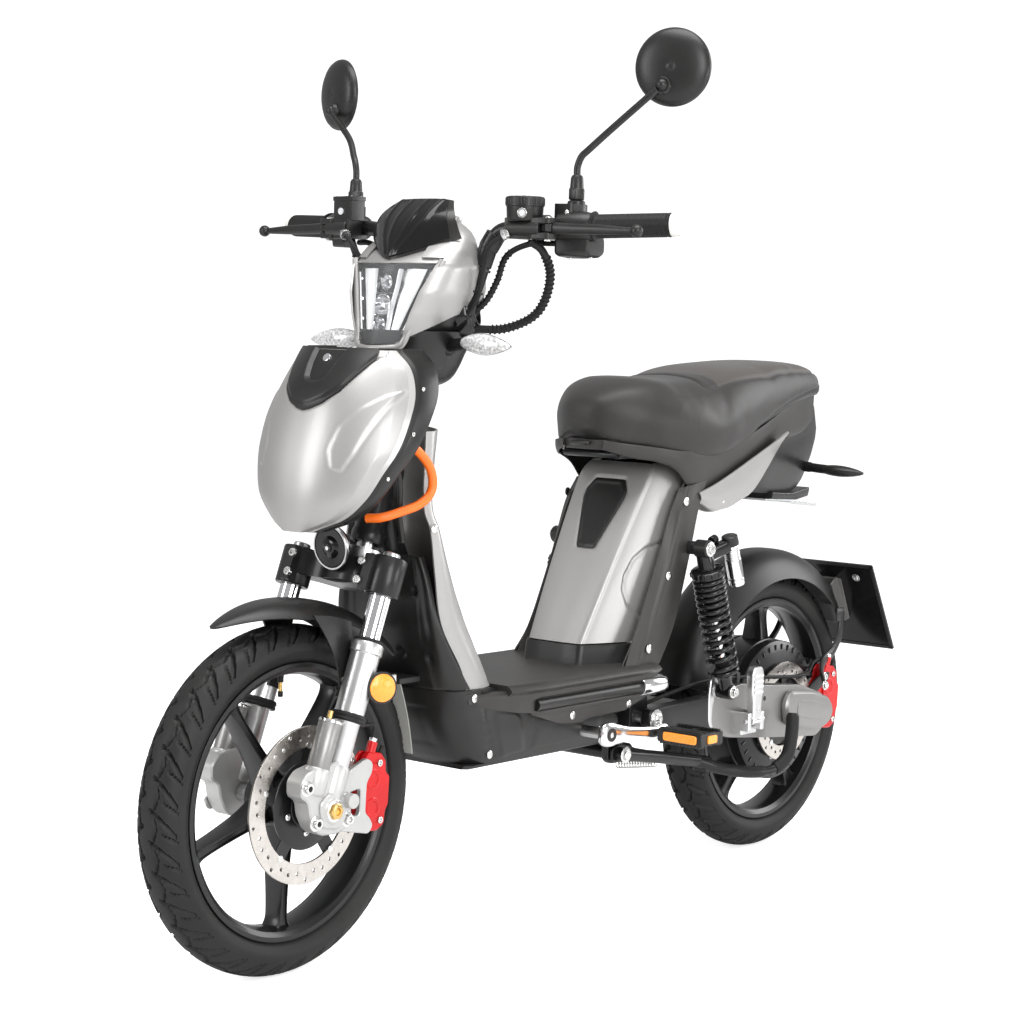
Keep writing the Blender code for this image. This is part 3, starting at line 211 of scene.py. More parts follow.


# edge= sets the strength of the painted highlight on convex edges of each material
MATS = {
    "silver": mat("silver_paint", (.325, .319, .313), .41, .62, coat=.25, var=.03, scale=4, flake=.30, bump=.05, bscale=2600, bdist=.0001, rvar=.10, edge=.15),
    "black": mat("black_plastic", (.0100, .0095, .0093), .37, 0, ior=1.42, var=.20, bump=.16, bscale=2400, bdist=.0002, edge=.35),
    "gloss_black": mat("gloss_black", (.006, .006, .0065), .14, 0, ior=1.35, coat=.25, var=.15, rvar=.25, bump=.03, bscale=300, edge=.25),
    "grey": mat("charcoal_plastic", (.0290, .0272, .0262), .42, 0, ior=1.42, var=.12, bump=.18, bscale=2200, bdist=.0002, edge=.3),
    "frame": mat("black_powder_coat", (.0085, .0085, .0090), .34, 0, ior=1.36, coat=.12, var=.2, bump=.12, bscale=1300, bdist=.0002, edge=.3),
    "wheel": mat("cast_wheel_black", (.0075, .0075, .0080), .30, 0, ior=1.36, coat=.15, var=.2, bump=.08, bscale=900, bdist=.0003, edge=.3),
    "alloy": mat("cast_alloy", (.62, .62, .62), .34, 1, var=.06, scale=40, bump=.14, bscale=700, bdist=.0003, rvar=.2, edge=.15),
    "white_alloy": mat("bright_casting", (.46, .46, .455), .38, .60, var=.05, scale=30, bump=.12, bscale=600, bdist=.0003, edge=.2),
    "polished": mat("polished_alloy", (.80, .80, .80), .15, 1, var=.04, scale=30, bump=.03, bscale=200, rvar=.4),
    "chrome": mat("chrome", (.78, .78, .80), .06, 1, var=.03, rvar=.4, bump=.012, bscale=90),
    "steel": mat("brushed_steel", (.52, .52, .52), .30, 1, var=.08, scale=60, stretch=(1, 14, 14), bump=.06, bscale=400, rvar=.3),
    "disc": mat("disc_steel", (.56, .53, .50), .28, 1, var=.07, scale=90, bump=.08, bscale=1500, bdist=.0001, rvar=.25),
    "grey_alloy": mat("grey_alloy", (.26, .255, .25), .38, .70, var=.05, scale=14, bump=.10, bscale=1600, bdist=.0002, edge=.2),
    "tyre": mat("tyre_rubber", (.0080, .0078, .0078), .56, 0, ior=1.36, var=.25, scale=25, bump=.22, bscale=1600, bdist=.0003, dust=.03, edge=.3),
    "rubber": mat("soft_rubber", (.0085, .0085, .0085), .56, 0, ior=1.34, var=.2, bump=.2, bscale=2000, bdist=.0002),
    "vinyl": mat("seat_vinyl", (.0180, .0163, .0156), .47, 0, ior=1.40, var=.10, scale=9, bump=.30, bscale=620, bdist=.00035, kind="leather", sheen=.08, rvar=.15),
    "vinyl_top": mat("seat_vinyl_top", (.0480, .0425, .0390), .56, 0, ior=1.38, var=.10, scale=9, bump=.32, bscale=620, bdist=.00035, kind="leather", sheen=.10, rvar=.15),
    "thread": mat("seat_thread", (.03, .03, .03), .7, 0, var=.2, bump=.3, bscale=3000),
    "red": mat("red_anodised", (.50, .004, .006), .32, .10, ior=1.38, coat=.1, var=.08, bump=.05, bscale=900),
    "orange": mat("orange_sleeve", (.90, .155, .008), .42, 0, var=.06, scale=60, bump=.15, bscale=1500, bdist=.0002),
    # painted glow: emit=.12 makes the amber reflectors shine although they are not lamps
    "amber": mat("amber_reflector_painted_glow", (.95, .30, .015), .12, 0, coat=.6, var=.10, scale=200, bump=.7, bscale=620, bdist=.0006, kind="cells", emit=.12),
    "clear": mat("clear_lens", (.93, .95, .97), .03, 0, var=.01, alpha=.05, coat=.6, rvar=.3, bump=.01, bscale=40),
    "clear_frost": mat("frosted_lens", (.86, .88, .90), .10, 0, coat=.8, var=.04, alpha=.55, bump=.6, bscale=380, bdist=.0006, kind="cells"),
    "smoke": mat("smoked_screen", (.0065, .0065, .0070), .16, 0, ior=1.32, coat=.10, var=.10, rvar=.3, bump=.008, bscale=50),
    "smoke_grey": mat("smoked_edge", (.016, .0150, .0145), .26, 0, ior=1.40, coat=.15, var=.05, rvar=.3, bump=.02, bscale=80),
    "signal_lens": mat("signal_crystal", (.56, .56, .56), .14, .1, coat=.4, var=.55, scale=260, bump=.9, bscale=300, rvar=.4),
    # painted glow: emit=.10 lifts the white headlight reflector panels and daylight bars as if lit
    "lamp_white": mat("lamp_reflector_white_painted_glow", (.80, .81, .82), .22, .2, var=.02, emit=.10, rvar=.3, bump=.05, bscale=300),
    "red_lens": mat("red_lens", (.45, .010, .012), .10, 0, coat=.8, var=.06, bump=.4, bscale=500, bdist=.0005, kind="cells"),
    "mirror": mat("mirror_glass", (.86, .88, .90), .02, 1, var=.01, rvar=.2, bump=.003, bscale=20),
    "bolt": mat("zinc_bolt", (.66, .66, .65), .24, 1, var=.08, scale=120, bump=.06, bscale=1200, rvar=.3, edge=.1),
    "brass": mat("gold_zinc", (.66, .44, .16), .28, 1, var=.10, scale=100, bump=.06, bscale=1200, rvar=.3),
    "white": mat("white_cap", (.72, .71, .68), .38, 0, var=.03, coat=.2, bump=.05, bscale=900, edge=.1),
    "chain": mat("chain_steel", (.20, .195, .19), .34, .95, var=.2, scale=90, bump=.1, bscale=900, rvar=.3),
    "translucent": mat("translucent_flap", (.55, .56, .52), .30, 0, var=.06, alpha=.45, bump=.08, bscale=200),
}
SLOT = {"silver": "silver_panel", "black": "black_plastic", "gloss_black": "black_plastic", "grey": "grey_plastic", "frame": "frame_steel", "wheel": "cast_wheel",
        "alloy": "alloy", "white_alloy": "alloy", "polished": "alloy", "chrome": "chrome", "steel": "brushed_steel", "disc": "brushed_steel", "grey_alloy": "swingarm_grey",
        "tyre": "tyre", "rubber": "rubber", "vinyl": "seat_vinyl", "vinyl_top": "seat_vinyl", "red": "red_caliper", "clear": "clear_lens", "clear_frost": "clear_lens", "smoke": "smoked_screen",
        "smoke_grey": "smoked_screen", "red_lens": "red_lens", "bolt": "brushed_steel", "chain": "chain_steel", "mirror": "chrome"}


# -------------------------------------------------------------- shape helpers
def side_vectors(d):
    d = unit(d)
    ref = X1 if abs(d[0]) < .9 else np.array([0, 1.0, 0])
    a = unit(np.cross(d, ref))
    return a, np.cross(d, a)


def turned(profile, segs=32, centre=(0, 0, 0), axis=(1, 0, 0), ring=False, phase=.5):
    a, b = side_vectors(axis)
    d, c = unit(axis), np.asarray(centre, float)
    verts, rows = [], []
    for t, r in profile:
        if r < 1e-7:
            rows.append([len(verts)])
            verts.append(c + d * t)
        else:
            rows.append(list(range(len(verts), len(verts) + segs)))
            for k in range(segs):
                w = 2 * math.pi * (k + phase) / segs
                verts.append(c + d * t + (a * math.cos(w) + b * math.sin(w)) * r)
    faces = []
    for p, q in list(zip(rows, rows[1:])) + ([(rows[-1], rows[0])] if ring else []):
        for k in range(segs):
            n = (k + 1) % segs
            if len(p) == 1 and len(q) == 1:
                continue
            if len(p) == 1:
                faces.append((p[0], q[n], q[k]))
            elif len(q) == 1:
                faces.append((p[k], p[n], q[0]))
            else:
                faces.append((p[k], p[n], q[n], q[k]))
    if not ring:
        if len(rows[0]) > 1:
            faces.append(tuple(rows[0]))
        if len(rows[-1]) > 1:
            faces.append(tuple(reversed(rows[-1])))
    return verts, faces


def cyl(p, q, r, segs=24, r2=None, ch=.0006):
    """Cylinder from p to q with small chamfers at its ends."""
    p, q = np.asarray(p, float), np.asarray(q, float)
    n = float(np.linalg.norm(q - p))
    r2 = r if r2 is None else r2
    ch = min(ch, n * .3, r * .4, r2 * .4)
    return turned([(0, r - ch), (ch, r), (n - ch, r2), (n, r2 - ch)], segs, p, q - p)


def tube(path, r, sides=12, r_in=None, caps=True, flat=None):
    """Round tube along a path; flat squeezes the section across the second side vector."""
    P = [np.asarray(p, float) for p in path]
    R = [r] * len(P) if np.isscalar(r) else list(r)
    verts, faces, a = [], [], None
    for i, p in enumerate(P):
        t = unit(P[min(i + 1, len(P) - 1)] - P[max(i - 1, 0)])
        a = side_vectors(t)[0] if a is None else unit(a - t * float(a @ t))
        b = np.cross(t, a)
        for k in range(sides):
            w = 2 * math.pi * k / sides
            verts.append(p + (a * math.cos(w) + b * math.sin(w) * (flat or 1)) * R[i])
        if i:
            o = (i - 1) * sides
            for k in range(sides):
                n = (k + 1) % sides
                faces.append((o + k, o + n, o + sides + n, o + sides + k))
    if caps:
        faces.append(tuple(range(sides)))
        faces.append(tuple(reversed(range(len(verts) - sides, len(verts)))))
    return verts, faces


def cr(ctrl, n=8):
    """Smooth path through the control points."""
    C = [np.asarray(c, float) for c in ctrl]
    C = [2 * C[0] - C[1]] + C + [2 * C[-1] - C[-2]]
    out = []
    for i in range(1, len(C) - 2):
        for k in range(n):
            t = k / n
            out.append(.5 * (2 * C[i] + (C[i + 1] - C[i - 1]) * t + (2 * C[i - 1] - 5 * C[i] + 4 * C[i + 1] - C[i + 2]) * t * t
                             + (3 * C[i] - C[i - 1] - 3 * C[i + 1] + C[i + 2]) * t ** 3))
    out.append(C[-2])
    return out


def rnd(outline, r=.004, n=4):
    """Outline with its corners rounded to about r."""
    P = [np.asarray(p, float) for p in outline]
    out = []
    for i, p in enumerate(P):
        a, b = P[i - 1] - p, P[(i + 1) % len(P)] - p
        la, lb = np.linalg.norm(a), np.linalg.norm(b)
        d = min(r, la * .45, lb * .45)
        p0, p1 = p + a / la * d, p + b / lb * d
        for k in range(n + 1):
            t = k / n
            out.append((1 - t) ** 2 * p0 + 2 * t * (1 - t) * p + t * t * p1)
    return [tuple(q) for q in out]


def put(axis, uv, v):
    q = list(uv)
    q.insert(axis, v)
    return np.array(q, float)


def plate(outline, lo, hi, axis=0, ch=.0008, holes=()):
    """Extruded outline with chamfered rims and round or shaped holes."""
    loops = [[tuple(map(float, p)) for p in outline]] + [[tuple(map(float, p)) for p in h] for h in holes]
    verts2, edges, k0 = [], [], 0
    for lp in loops:
        n = len(lp)
        verts2 += [Vector(p) for p in lp]
        edges += [(k0 + i, k0 + (i + 1) % n) for i in range(n)]
        k0 += n
    vo, eo, fo, ov, _, _ = delaunay_2d_cdt(verts2, edges, [], 1 if not holes else 2, 1e-7)

    def inside(p, lp):
        c = False
        for i in range(len(lp)):
            (x1, y1), (x2, y2) = lp[i - 1], lp[i]
            if (y1 > p[1]) != (y2 > p[1]) and p[0] < (x2 - x1) * (p[1] - y1) / (y2 - y1) + x1:
                c = not c
        return c
    tri = []
    for f in fo:
        c = sum((vo[i] for i in f), Vector((0, 0))) / len(f)
        if inside(c, loops[0]) and not any(inside(c, h) for h in loops[1:]):
            tri.append(tuple(f))
    idx = {}
    for j, olds in enumerate(ov):
        for o in olds:
            idx[o] = j
    nv = len(vo)
    ch = min(ch, (hi - lo) * .3)

    def inset(lp, sign):
        n, out = len(lp), []
        area = sum(lp[i - 1][0] * lp[i][1] - lp[i][0] * lp[i - 1][1] for i in range(n))
        s = math.copysign(1, area) * sign
        for i in range(n):
            p, a, b = np.array(lp[i]), np.array(lp[i - 1]), np.array(lp[(i + 1) % n])
            e1, e2 = p - a, b - p
            n1 = np.array([-e1[1], e1[0]]) / max(np.linalg.norm(e1), 1e-9)
            n2 = np.array([-e2[1], e2[0]]) / max(np.linalg.norm(e2), 1e-9)
            m = n1 + n2
            m = m / max(np.linalg.norm(m), 1e-9)
            out.append(p + m * s * ch)
        return out
    flat = [np.array([v.x, v.y]) for v in vo]
    small = [f.copy() for f in flat]
    k0 = 0
    for li, lp in enumerate(loops):
        for i, q in enumerate(inset(lp, 1 if li == 0 else -1)):
            if k0 + i in idx:
                small[idx[k0 + i]] = q
        k0 += len(lp)
    verts, faces = [], []
    for v, pts in ((lo, small), (lo + ch, flat), (hi - ch, flat), (hi, small)):
        verts += [put(axis, p, v) for p in pts]
    faces += [tuple(reversed(f)) for f in tri] + [tuple(3 * nv + i for i in f) for f in tri]
    k0 = 0
    for lp in loops:
        n = len(lp)
        for i in range(n):
            a, b = idx.get(k0 + i), idx.get(k0 + (i + 1) % n)
            if a is None or b is None or a == b:
                continue
            for lay in range(3):
                faces.append((lay * nv + a, lay * nv + b, (lay + 1) * nv + b, (lay + 1) * nv + a))
        k0 += n
    return verts, faces


def circle(c, r, n=16, ph=0.0):
    return [(c[0] + r * math.cos(2 * math.pi * k / n + ph), c[1] + r * math.sin(2 * math.pi * k / n + ph)) for k in range(n)]


def block(x0, x1, y0, y1, z0, z1, r=.002):
    return plate(rnd([(y0, z0), (y1, z0), (y1, z1), (y0, z1)], r, 3), min(x0, x1), max(x0, x1), 0, min(r, .0012))


def loft(rings, caps=True):
    n = len(rings[0])
    verts = [np.asarray(p, float) for r in rings for p in r]
    faces = []
    for i in range(len(rings) - 1):
        for k in range(n):
            m = (k + 1) % n
            faces.append((i * n + k, i * n + m, (i + 1) * n + m, (i + 1) * n + k))
    if caps:
        faces.append(tuple(reversed(range(n))))
        faces.append(tuple(range((len(rings) - 1) * n, len(rings) * n)))
    return verts, faces


def smooth_rows(rows, m=4, n=4):
    """Denser grid through the given grid, smooth in both directions."""
    G = [cr(r, n) for r in rows]
    cols = [cr([g[j] for g in G], m) for j in range(len(G[0]))]
    return np.array([[cols[j][i] for j in range(len(cols))] for i in range(len(cols[0]))])


def linear_rows(rows, m=4, n=4):
    G = np.array(rows, float)

    def up(A, k):
        out = []
        for i in range(len(A) - 1):
            for j in range(k):
                out.append(A[i] * (1 - j / k) + A[i + 1] * (j / k))
        out.append(A[-1])
        return np.array(out)
    return np.swapaxes(up(np.swapaxes(up(G, m), 0, 1), n), 0, 1)


def grid_normals(G):
    N = np.cross(np.gradient(G, axis=0), np.gradient(G, axis=1))
    return N / np.maximum(np.linalg.norm(N, axis=2, keepdims=True), 1e-12)


def sheet(rows, thick, relief=None, rim=0.0):
    """Shell of even thickness under a grid of points; relief(G) lifts the outer face."""
    G = np.array(rows, float)
    N = grid_normals(G)
    H = G + N * thick
    if relief is not None:
        G = G - N * math.copysign(1, thick) * relief(G)[..., None]
    m, n = G.shape[:2]
    verts = list(G.reshape(-1, 3)) + list(H.reshape(-1, 3))
    o = m * n
    faces = []
    for i in range(m - 1):
        for j in range(n - 1):
            a, b, c, d = i * n + j, i * n + j + 1, (i + 1) * n + j + 1, (i + 1) * n + j
            faces += [(a, b, c, d), (o + d, o + c, o + b, o + a)]
    lp = list(range(n)) + [i * n + n - 1 for i in range(1, m)] + [(m - 1) * n + j for j in range(n - 2, -1, -1)] + [i * n for i in range(m - 2, 0, -1)]
    for k in range(len(lp)):
        a, b = lp[k], lp[(k + 1) % len(lp)]
        faces.append((b, a, o + a, o + b))
    return verts, faces


def line_dist(P, line):
    """Distance of points (..., 2) to a polyline."""
    best = None
    for a, b in zip(line, line[1:]):
        a, b = np.array(a, float), np.array(b, float)
        d = b - a
        t = np.clip(((P - a) @ d) / max(d @ d, 1e-12), 0, 1)
        q = np.linalg.norm(P - (a + t[..., None] * d), axis=-1)
        best = q if best is None else np.minimum(best, q)
    return best


def inside_poly(P, poly):
    x, y = P[..., 0], P[..., 1]
    c = np.zeros(x.shape, bool)
    for i in range(len(poly)):
        (x1, y1), (x2, y2) = poly[i - 1], poly[i]
        if y1 == y2:
            continue
        c ^= ((y1 > y) != (y2 > y)) & (x < (x2 - x1) * (y - y1) / (y2 - y1) + x1)
    return c


def step(d, w):
    t = np.clip(d / w * .5 + .5, 0, 1)
    return t * t * (3 - 2 * t)


def signed(P, poly):
    d = line_dist(P, list(poly) + [poly[0]])
    return np.where(inside_poly(P, poly), d, -d)


def bump_at(P, c, r):
    d = np.linalg.norm(P - np.array(c), axis=-1)
    return np.clip(1 - (d / r) ** 2, 0, 1)


def shift(shape, d):
    return [np.asarray(v, float) + np.asarray(d, float) for v in shape[0]], shape[1]


def mirrored(shape):
    return [np.array([-v[0], v[1], v[2]]) for v in shape[0]], [tuple(reversed(f)) for f in shape[1]]


def spun(shape, centre, angle, axis=(1, 0, 0)):
    R = np.array(Matrix.Rotation(angle, 3, Vector(axis)))
    c = np.asarray(centre, float)
    return [c + R @ (np.asarray(v, float) - c) for v in shape[0]], shape[1]


def bolt(p, d, r=.005, h=.0035, kind="socket", washer=False):
    """Screw head at p looking along d."""
    d = unit(d)
    out = []
    p = np.asarray(p, float)
    if washer:
        out.append(turned([(-.0008, 0), (-.0008, r * 1.5), (.0004, r * 1.5), (.0007, r * 1.4), (.0007, 0)], 20, p, d))
    if kind == "hex":
        out.append(turned([(0, r * .96), (h * .85, r), (h, r * .86), (h, 0)], 6, p, d))
    elif kind == "button":
        out.append(turned([(-.0005, r), (h * .35, r), (h * .8, r * .72), (h * .9, r * .5), (h * .9, r * .42), (h * .35, r * .40), (h * .35, 0)], 18, p, d))
    else:
        out.append(turned([(-.0005, r * .98), (h * .9, r), (h, r * .93), (h, r * .56), (h * .4, r * .52), (h * .4, 0)], 18, p, d))
    return out


made = {}


def piece(name, body, parts, replaces=(), bevel=0.0, segs=2, angle=32, sub=0, blend=None, keep_open=False):
    """One named object from (material, shape) pairs, riding on a CAD body."""
    verts, faces, index, used = [], [], [], []
    for m, shape in parts:
        if m not in used:
            used.append(m)
        for v, f in (shape if isinstance(shape, list) else [shape]):
            o = len(verts)
            verts += [(float(p[0]), float(p[1]) + YO, float(p[2])) for p in v]
            faces += [tuple(o + i for i in q) for q in f]
            index += [used.index(m)] * len(f)
    mesh = bpy.data.meshes.new(name)
    mesh.from_pydata(verts, [], faces)
    for m in used:
        mesh.materials.append(MATS[m])
    mesh.polygons.foreach_set("material_index", index)
    bm = bmesh.new()
    bm.from_mesh(mesh)
    bmesh.ops.remove_doubles(bm, verts=bm.verts, dist=1e-7)
    bmesh.ops.recalc_face_normals(bm, faces=bm.faces)
    bm.to_mesh(mesh)
    bm.free()
    o = bpy.data.objects.new(name, mesh)
    bpy.context.scene.collection.objects.link(o)
    if bevel:
        b = o.modifiers.new("bevel", "BEVEL")
        b.width, b.segments, b.limit_method, b.angle_limit = bevel, segs, "ANGLE", math.radians(angle)
        b.use_clamp_overlap = True
    if sub:
        s = o.modifiers.new("sub", "SUBSURF")
        s.levels = s.render_levels = sub
    mesh.shade_smooth()
    mesh.set_sharp_from_angle(angle=math.radians(angle + 6))
    if blend:
        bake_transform(o)
    else:
        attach(o, body)
    if replaces:
        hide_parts(*([replaces] if isinstance(replaces, str) else replaces))
    made[name] = o
    return o


def W(p):
    return (float(p[0]), float(p[1]) + YO, float(p[2]))


# --------------------------------------------------------------------- wheels
def tyre_mesh(centre, flip=1):
    """Tyre with a directional tread: slanted curved grooves, a wavy centre rib and shoulder blocks."""
    N, S = 36, 16
    segs = N * S
    sec = []
    outer = cr([(-.0247, .1862), (-.0252, .1905), (-.0320, .1955), (-.0368, .2055), (-.0362, .2140), (-.0322, .2230), (-.0262, .2305), (-.0170, .2365),
                (-.0085, .2392), (0, .2400)], 5)
    sec = [(p[0], p[1]) for p in outer]
    sec += [(-a, b) for a, b in reversed(sec[:-1])]
    T = np.array(sec)
    L = np.concatenate([[0], np.cumsum(np.linalg.norm(np.diff(T, axis=0), axis=1))])
    mid = L[-1] / 2
    u = (L - mid) / .0455
    nr = np.gradient(T, axis=0)
    nr = np.stack([-nr[:, 1], nr[:, 0]], 1)
    nr /= np.linalg.norm(nr, axis=1, keepdims=True)
    ang = np.arange(segs) / segs
    A, U = np.meshgrid(ang, u)
    side = np.sign(U)
    au = np.abs(U)
    ph = A * N + .5 * (side > 0)
    curve = .95 * np.clip(au, 0, 1) ** 1.6
    f1 = np.abs((ph * flip - curve + .5) % 1 - .5) * (2 * math.pi * .235 / N)
    f2 = np.abs((ph * flip - curve * .55 + .42 + .5) % 1 - .5) * (2 * math.pi * .235 / N)
    w1 = np.clip((.0030 - f1) / .0009, 0, 1) * (au > .10) * (au < .93)
    w2 = np.clip((.0020 - f2) / .0008, 0, 1) * (au > .52) * (au < .99)
    wav = np.abs(au - (.30 + .05 * np.sin(A * N * 2 * math.pi + side)))
    w3 = np.clip((.045 - wav) / .02, 0, 1)
    edge = np.clip((au - .96) / .02, 0, 1) * np.clip((1.06 - au) / .03, 0, 1)
    blk = edge * (np.abs((ph * flip * 1.0 + .1) % 1 - .5) < .30) * .8
    depth = -.0052 * np.maximum(np.maximum(w1, w2 * .8), w3 * .75) + .0008 * blk * (au < 1.03)
    ring = np.exp(-((np.abs(T[:, 0]) - .0330) / .0016) ** 2) * (T[:, 1] < .205) * .0006 + np.exp(-((T[:, 1] - .2010) / .0009) ** 2) * .0007
    depth = depth + ring[:, None]
    verts, faces = [], []
    m = len(sec)
    cs, sn = np.cos(ang * 2 * math.pi), np.sin(ang * 2 * math.pi)
    for i in range(m):
        x = T[i, 0] + nr[i, 0] * depth[i] * -1 * 0 + 0
        r = T[i, 1] + depth[i]
        for k in range(segs):
            verts.append((centre[0] + T[i, 0], centre[1] + r[k] * cs[k], centre[2] + r[k] * sn[k]))
    inner = [(.0200, .1862), (.0280, .2030), (0, .2290), (-.0280, .2030), (-.0200, .1862)]
    for x, r in inner:
        for k in range(segs):
            verts.append((centre[0] + x, centre[1] + r * cs[k], centre[2] + r * sn[k]))
    rows = m + len(inner)
    for i in range(rows):
        j = (i + 1) % rows
        for k in range(segs):
            n = (k + 1) % segs
            faces.append((i * segs + k, i * segs + n, j * segs + n, j * segs + k))
    return verts, faces


RIM = [(-.0285, .1895), (-.0270, .1900), (-.0250, .1893), (-.0250, .1850), (-.0215, .1835), (-.0150, .1800), (.0150, .1800), (.0215, .1835), (.0250, .1850), (.0250, .1893),
       (.0270, .1900), (.0285, .1895), (.0287, .1830), (.0262, .1800), (.0240, .1760), (.0170, .1745), (.0120, .1720), (-.0120, .1720), (-.0170, .1745), (-.0240, .1760),
       (-.0262, .1800), (-.0287, .1830)]


def spoke_shape(centre, a, stations, skew=0.0):
    """Cast spoke from (radius, half width, half depth, sideways lean) stations, with an I-shaped relief."""
    c = np.asarray(centre, float)
    e = np.array([0, math.cos(a), math.sin(a)])
    f = np.array([0, -math.sin(a), math.cos(a)])
    rings = []
    for r, w, t, s in stations:
        q = []
        for sx, sy in ((-1, -.55), (-.82, -.95), (-.62, -1), (-.45, -.78), (.45, -.78), (.62, -1), (.82, -.95), (1, -.55), (1, .55), (.82, .95), (.62, 1), (.45, .78),
                       (-.45, .78), (-.62, 1), (-.82, .95), (-1, .55)):
            q.append(c + e * r + f * (sx * w + s) + X1 * (sy * t))
        rings.append(q)
    return loft(rings)


def dense_stations(st, n=4):
    return [tuple(p) for p in cr([np.array(s) for s in st], n)]


F_ST = dense_stations([(.028, .019, .024, 0), (.046, .0120, .023, 0), (.070, .0085, .021, 0), (.110, .0070, .018, 0), (.150, .0076, .0155, 0), (.166, .0105, .0150, 0), (.1760, .018, .0160, 0)])
R_ST = dense_stations([(.092, .024, .024, 0), (.105, .0175, .022, 0), (.125, .0135, .020, 0), (.150, .0125, .0165, 0), (.166, .0150, .0155, 0), (.1760, .024, .0165, 0)])
piece("tyre_front_tread", "front_wheel", [("tyre", tyre_mesh(AXLE_F, 1))], "front_tyre")
piece("tyre_rear_tread", "rear_wheel", [("tyre", tyre_mesh(AXLE_B, 1))], "rear_tyre")


def valve(c, a):
    c = np.asarray(c, float)
    e = np.array([0, math.cos(a), math.sin(a)])
    p = c + e * .1725
    return [("rubber", cyl(p, p - e * .012, .0042, 12)), ("brass", cyl(p - e * .011, p - e * .026, .0026, 10)), ("rubber", cyl(p - e * .024, p - e * .032, .0036, 12))]


ANG_F = [math.radians(54 + 72 * k) for k in range(5)]
front_rim = [("wheel", turned(RIM, 128, AXLE_F, ring=True)),
             ("wheel", turned([(-.046, .0085), (-.046, .0185), (-.044, .0205), (-.036, .0225), (-.033, .033), (-.027, .0385), (.027, .0385), (.033, .0365), (.040, .0345),
                               (.0478, .0335), (.0488, .0325), (.0488, .0085)], 64, AXLE_F, ring=True))]
front_rim += [("wheel", spoke_shape(AXLE_F, a, F_ST)) for a in ANG_F]
front_rim += valve(AXLE_F, math.radians(90))
front_rim += [("steel", turned([(-.0475, .0085), (-.0475, .0150), (-.0455, .0165), (-.0450, .0085)], 32, AXLE_F, ring=True))]
piece("wheel_front_cast", "front_wheel", front_rim, "front_rim", bevel=.0010, segs=2, angle=40)

slots_ = []
ANG_R = [math.radians(90 + 72 * k) for k in range(5)]
rear = [("wheel", turned(RIM, 128, AXLE_B, ring=True)),
        ("wheel", turned([(-.062, .0085), (-.062, .034), (-.0600, .040), (-.0565, .060), (-.0520, .106), (-.0490, .1150), (-.0460, .1190), (-.030, .1200), (-.0285, .1175), (-.0255, .1175), (-.024, .1200),
                          (.024, .1200), (.0255, .1175), (.0285, .1175), (.030, .1200), (.0455, .1190), (.0478, .1160), (.0490, .1010), (.0520, .094), (.0530, .074), (.0565, .064), (.0585, .048),
                          (.0585, .0085)], 96, AXLE_B, ring=True))]
rear += [("wheel", spoke_shape(AXLE_B, a, R_ST)) for a in ANG_R]
for s in (1, -1):
    for k in range(36):
        a = 2 * math.pi * (k + .5) / 36
        for r in (.1088,):
            c = AXLE_B + np.array([s * .0492, r * math.cos(a), r * math.sin(a)])
            e = np.array([0, math.cos(a), math.sin(a)])
            f = np.array([0, -math.sin(a), math.cos(a)])
            sh = loft([[c + e * i * .0046 + f * j * .0014 + X1 * x for i, j in ((-1, -1), (1, -1), (1, 1), (-1, 1))] for x in (-.0015 * s, .0011 * s)])
            rear.append(("gloss_black", sh))
    for k in range(6):
        a = 2 * math.pi * (k + .25) / 6
        p = AXLE_B + np.array([s * .0520, .081 * math.cos(a), .081 * math.sin(a)])
        rear += [("bolt", b) for b in bolt(p, X1 * s, .0042, .0028)]
rear += [("steel", turned([(-.1000, .0085), (-.1000, .0225), (-.0990, .024), (-.0610, .024), (-.0600, .0225), (-.0600, .0085)], 40, AXLE_B, ring=True))]
teeth = []
for k in range(13):
    a0 = 2 * math.pi * k / 13
    for d, r in ((-.30, .0315), (-.12, .0368), (.12, .0368), (.30, .0315), (.5, .0305)):
        a = a0 + d * 2 * math.pi / 13
        teeth.append((WHEELBASE + r * math.cos(a), TYRE_R + r * math.sin(a)))
rear += [("chain", plate(teeth, -.0990, -.0970, 0, .0004, [circle((WHEELBASE, TYRE_R), .020, 28)]))]
rear += valve(AXLE_B, math.radians(126))
piece("wheel_rear_motor", "rear_wheel", rear, "rear_hub_motor", bevel=.0009, segs=2, angle=40)


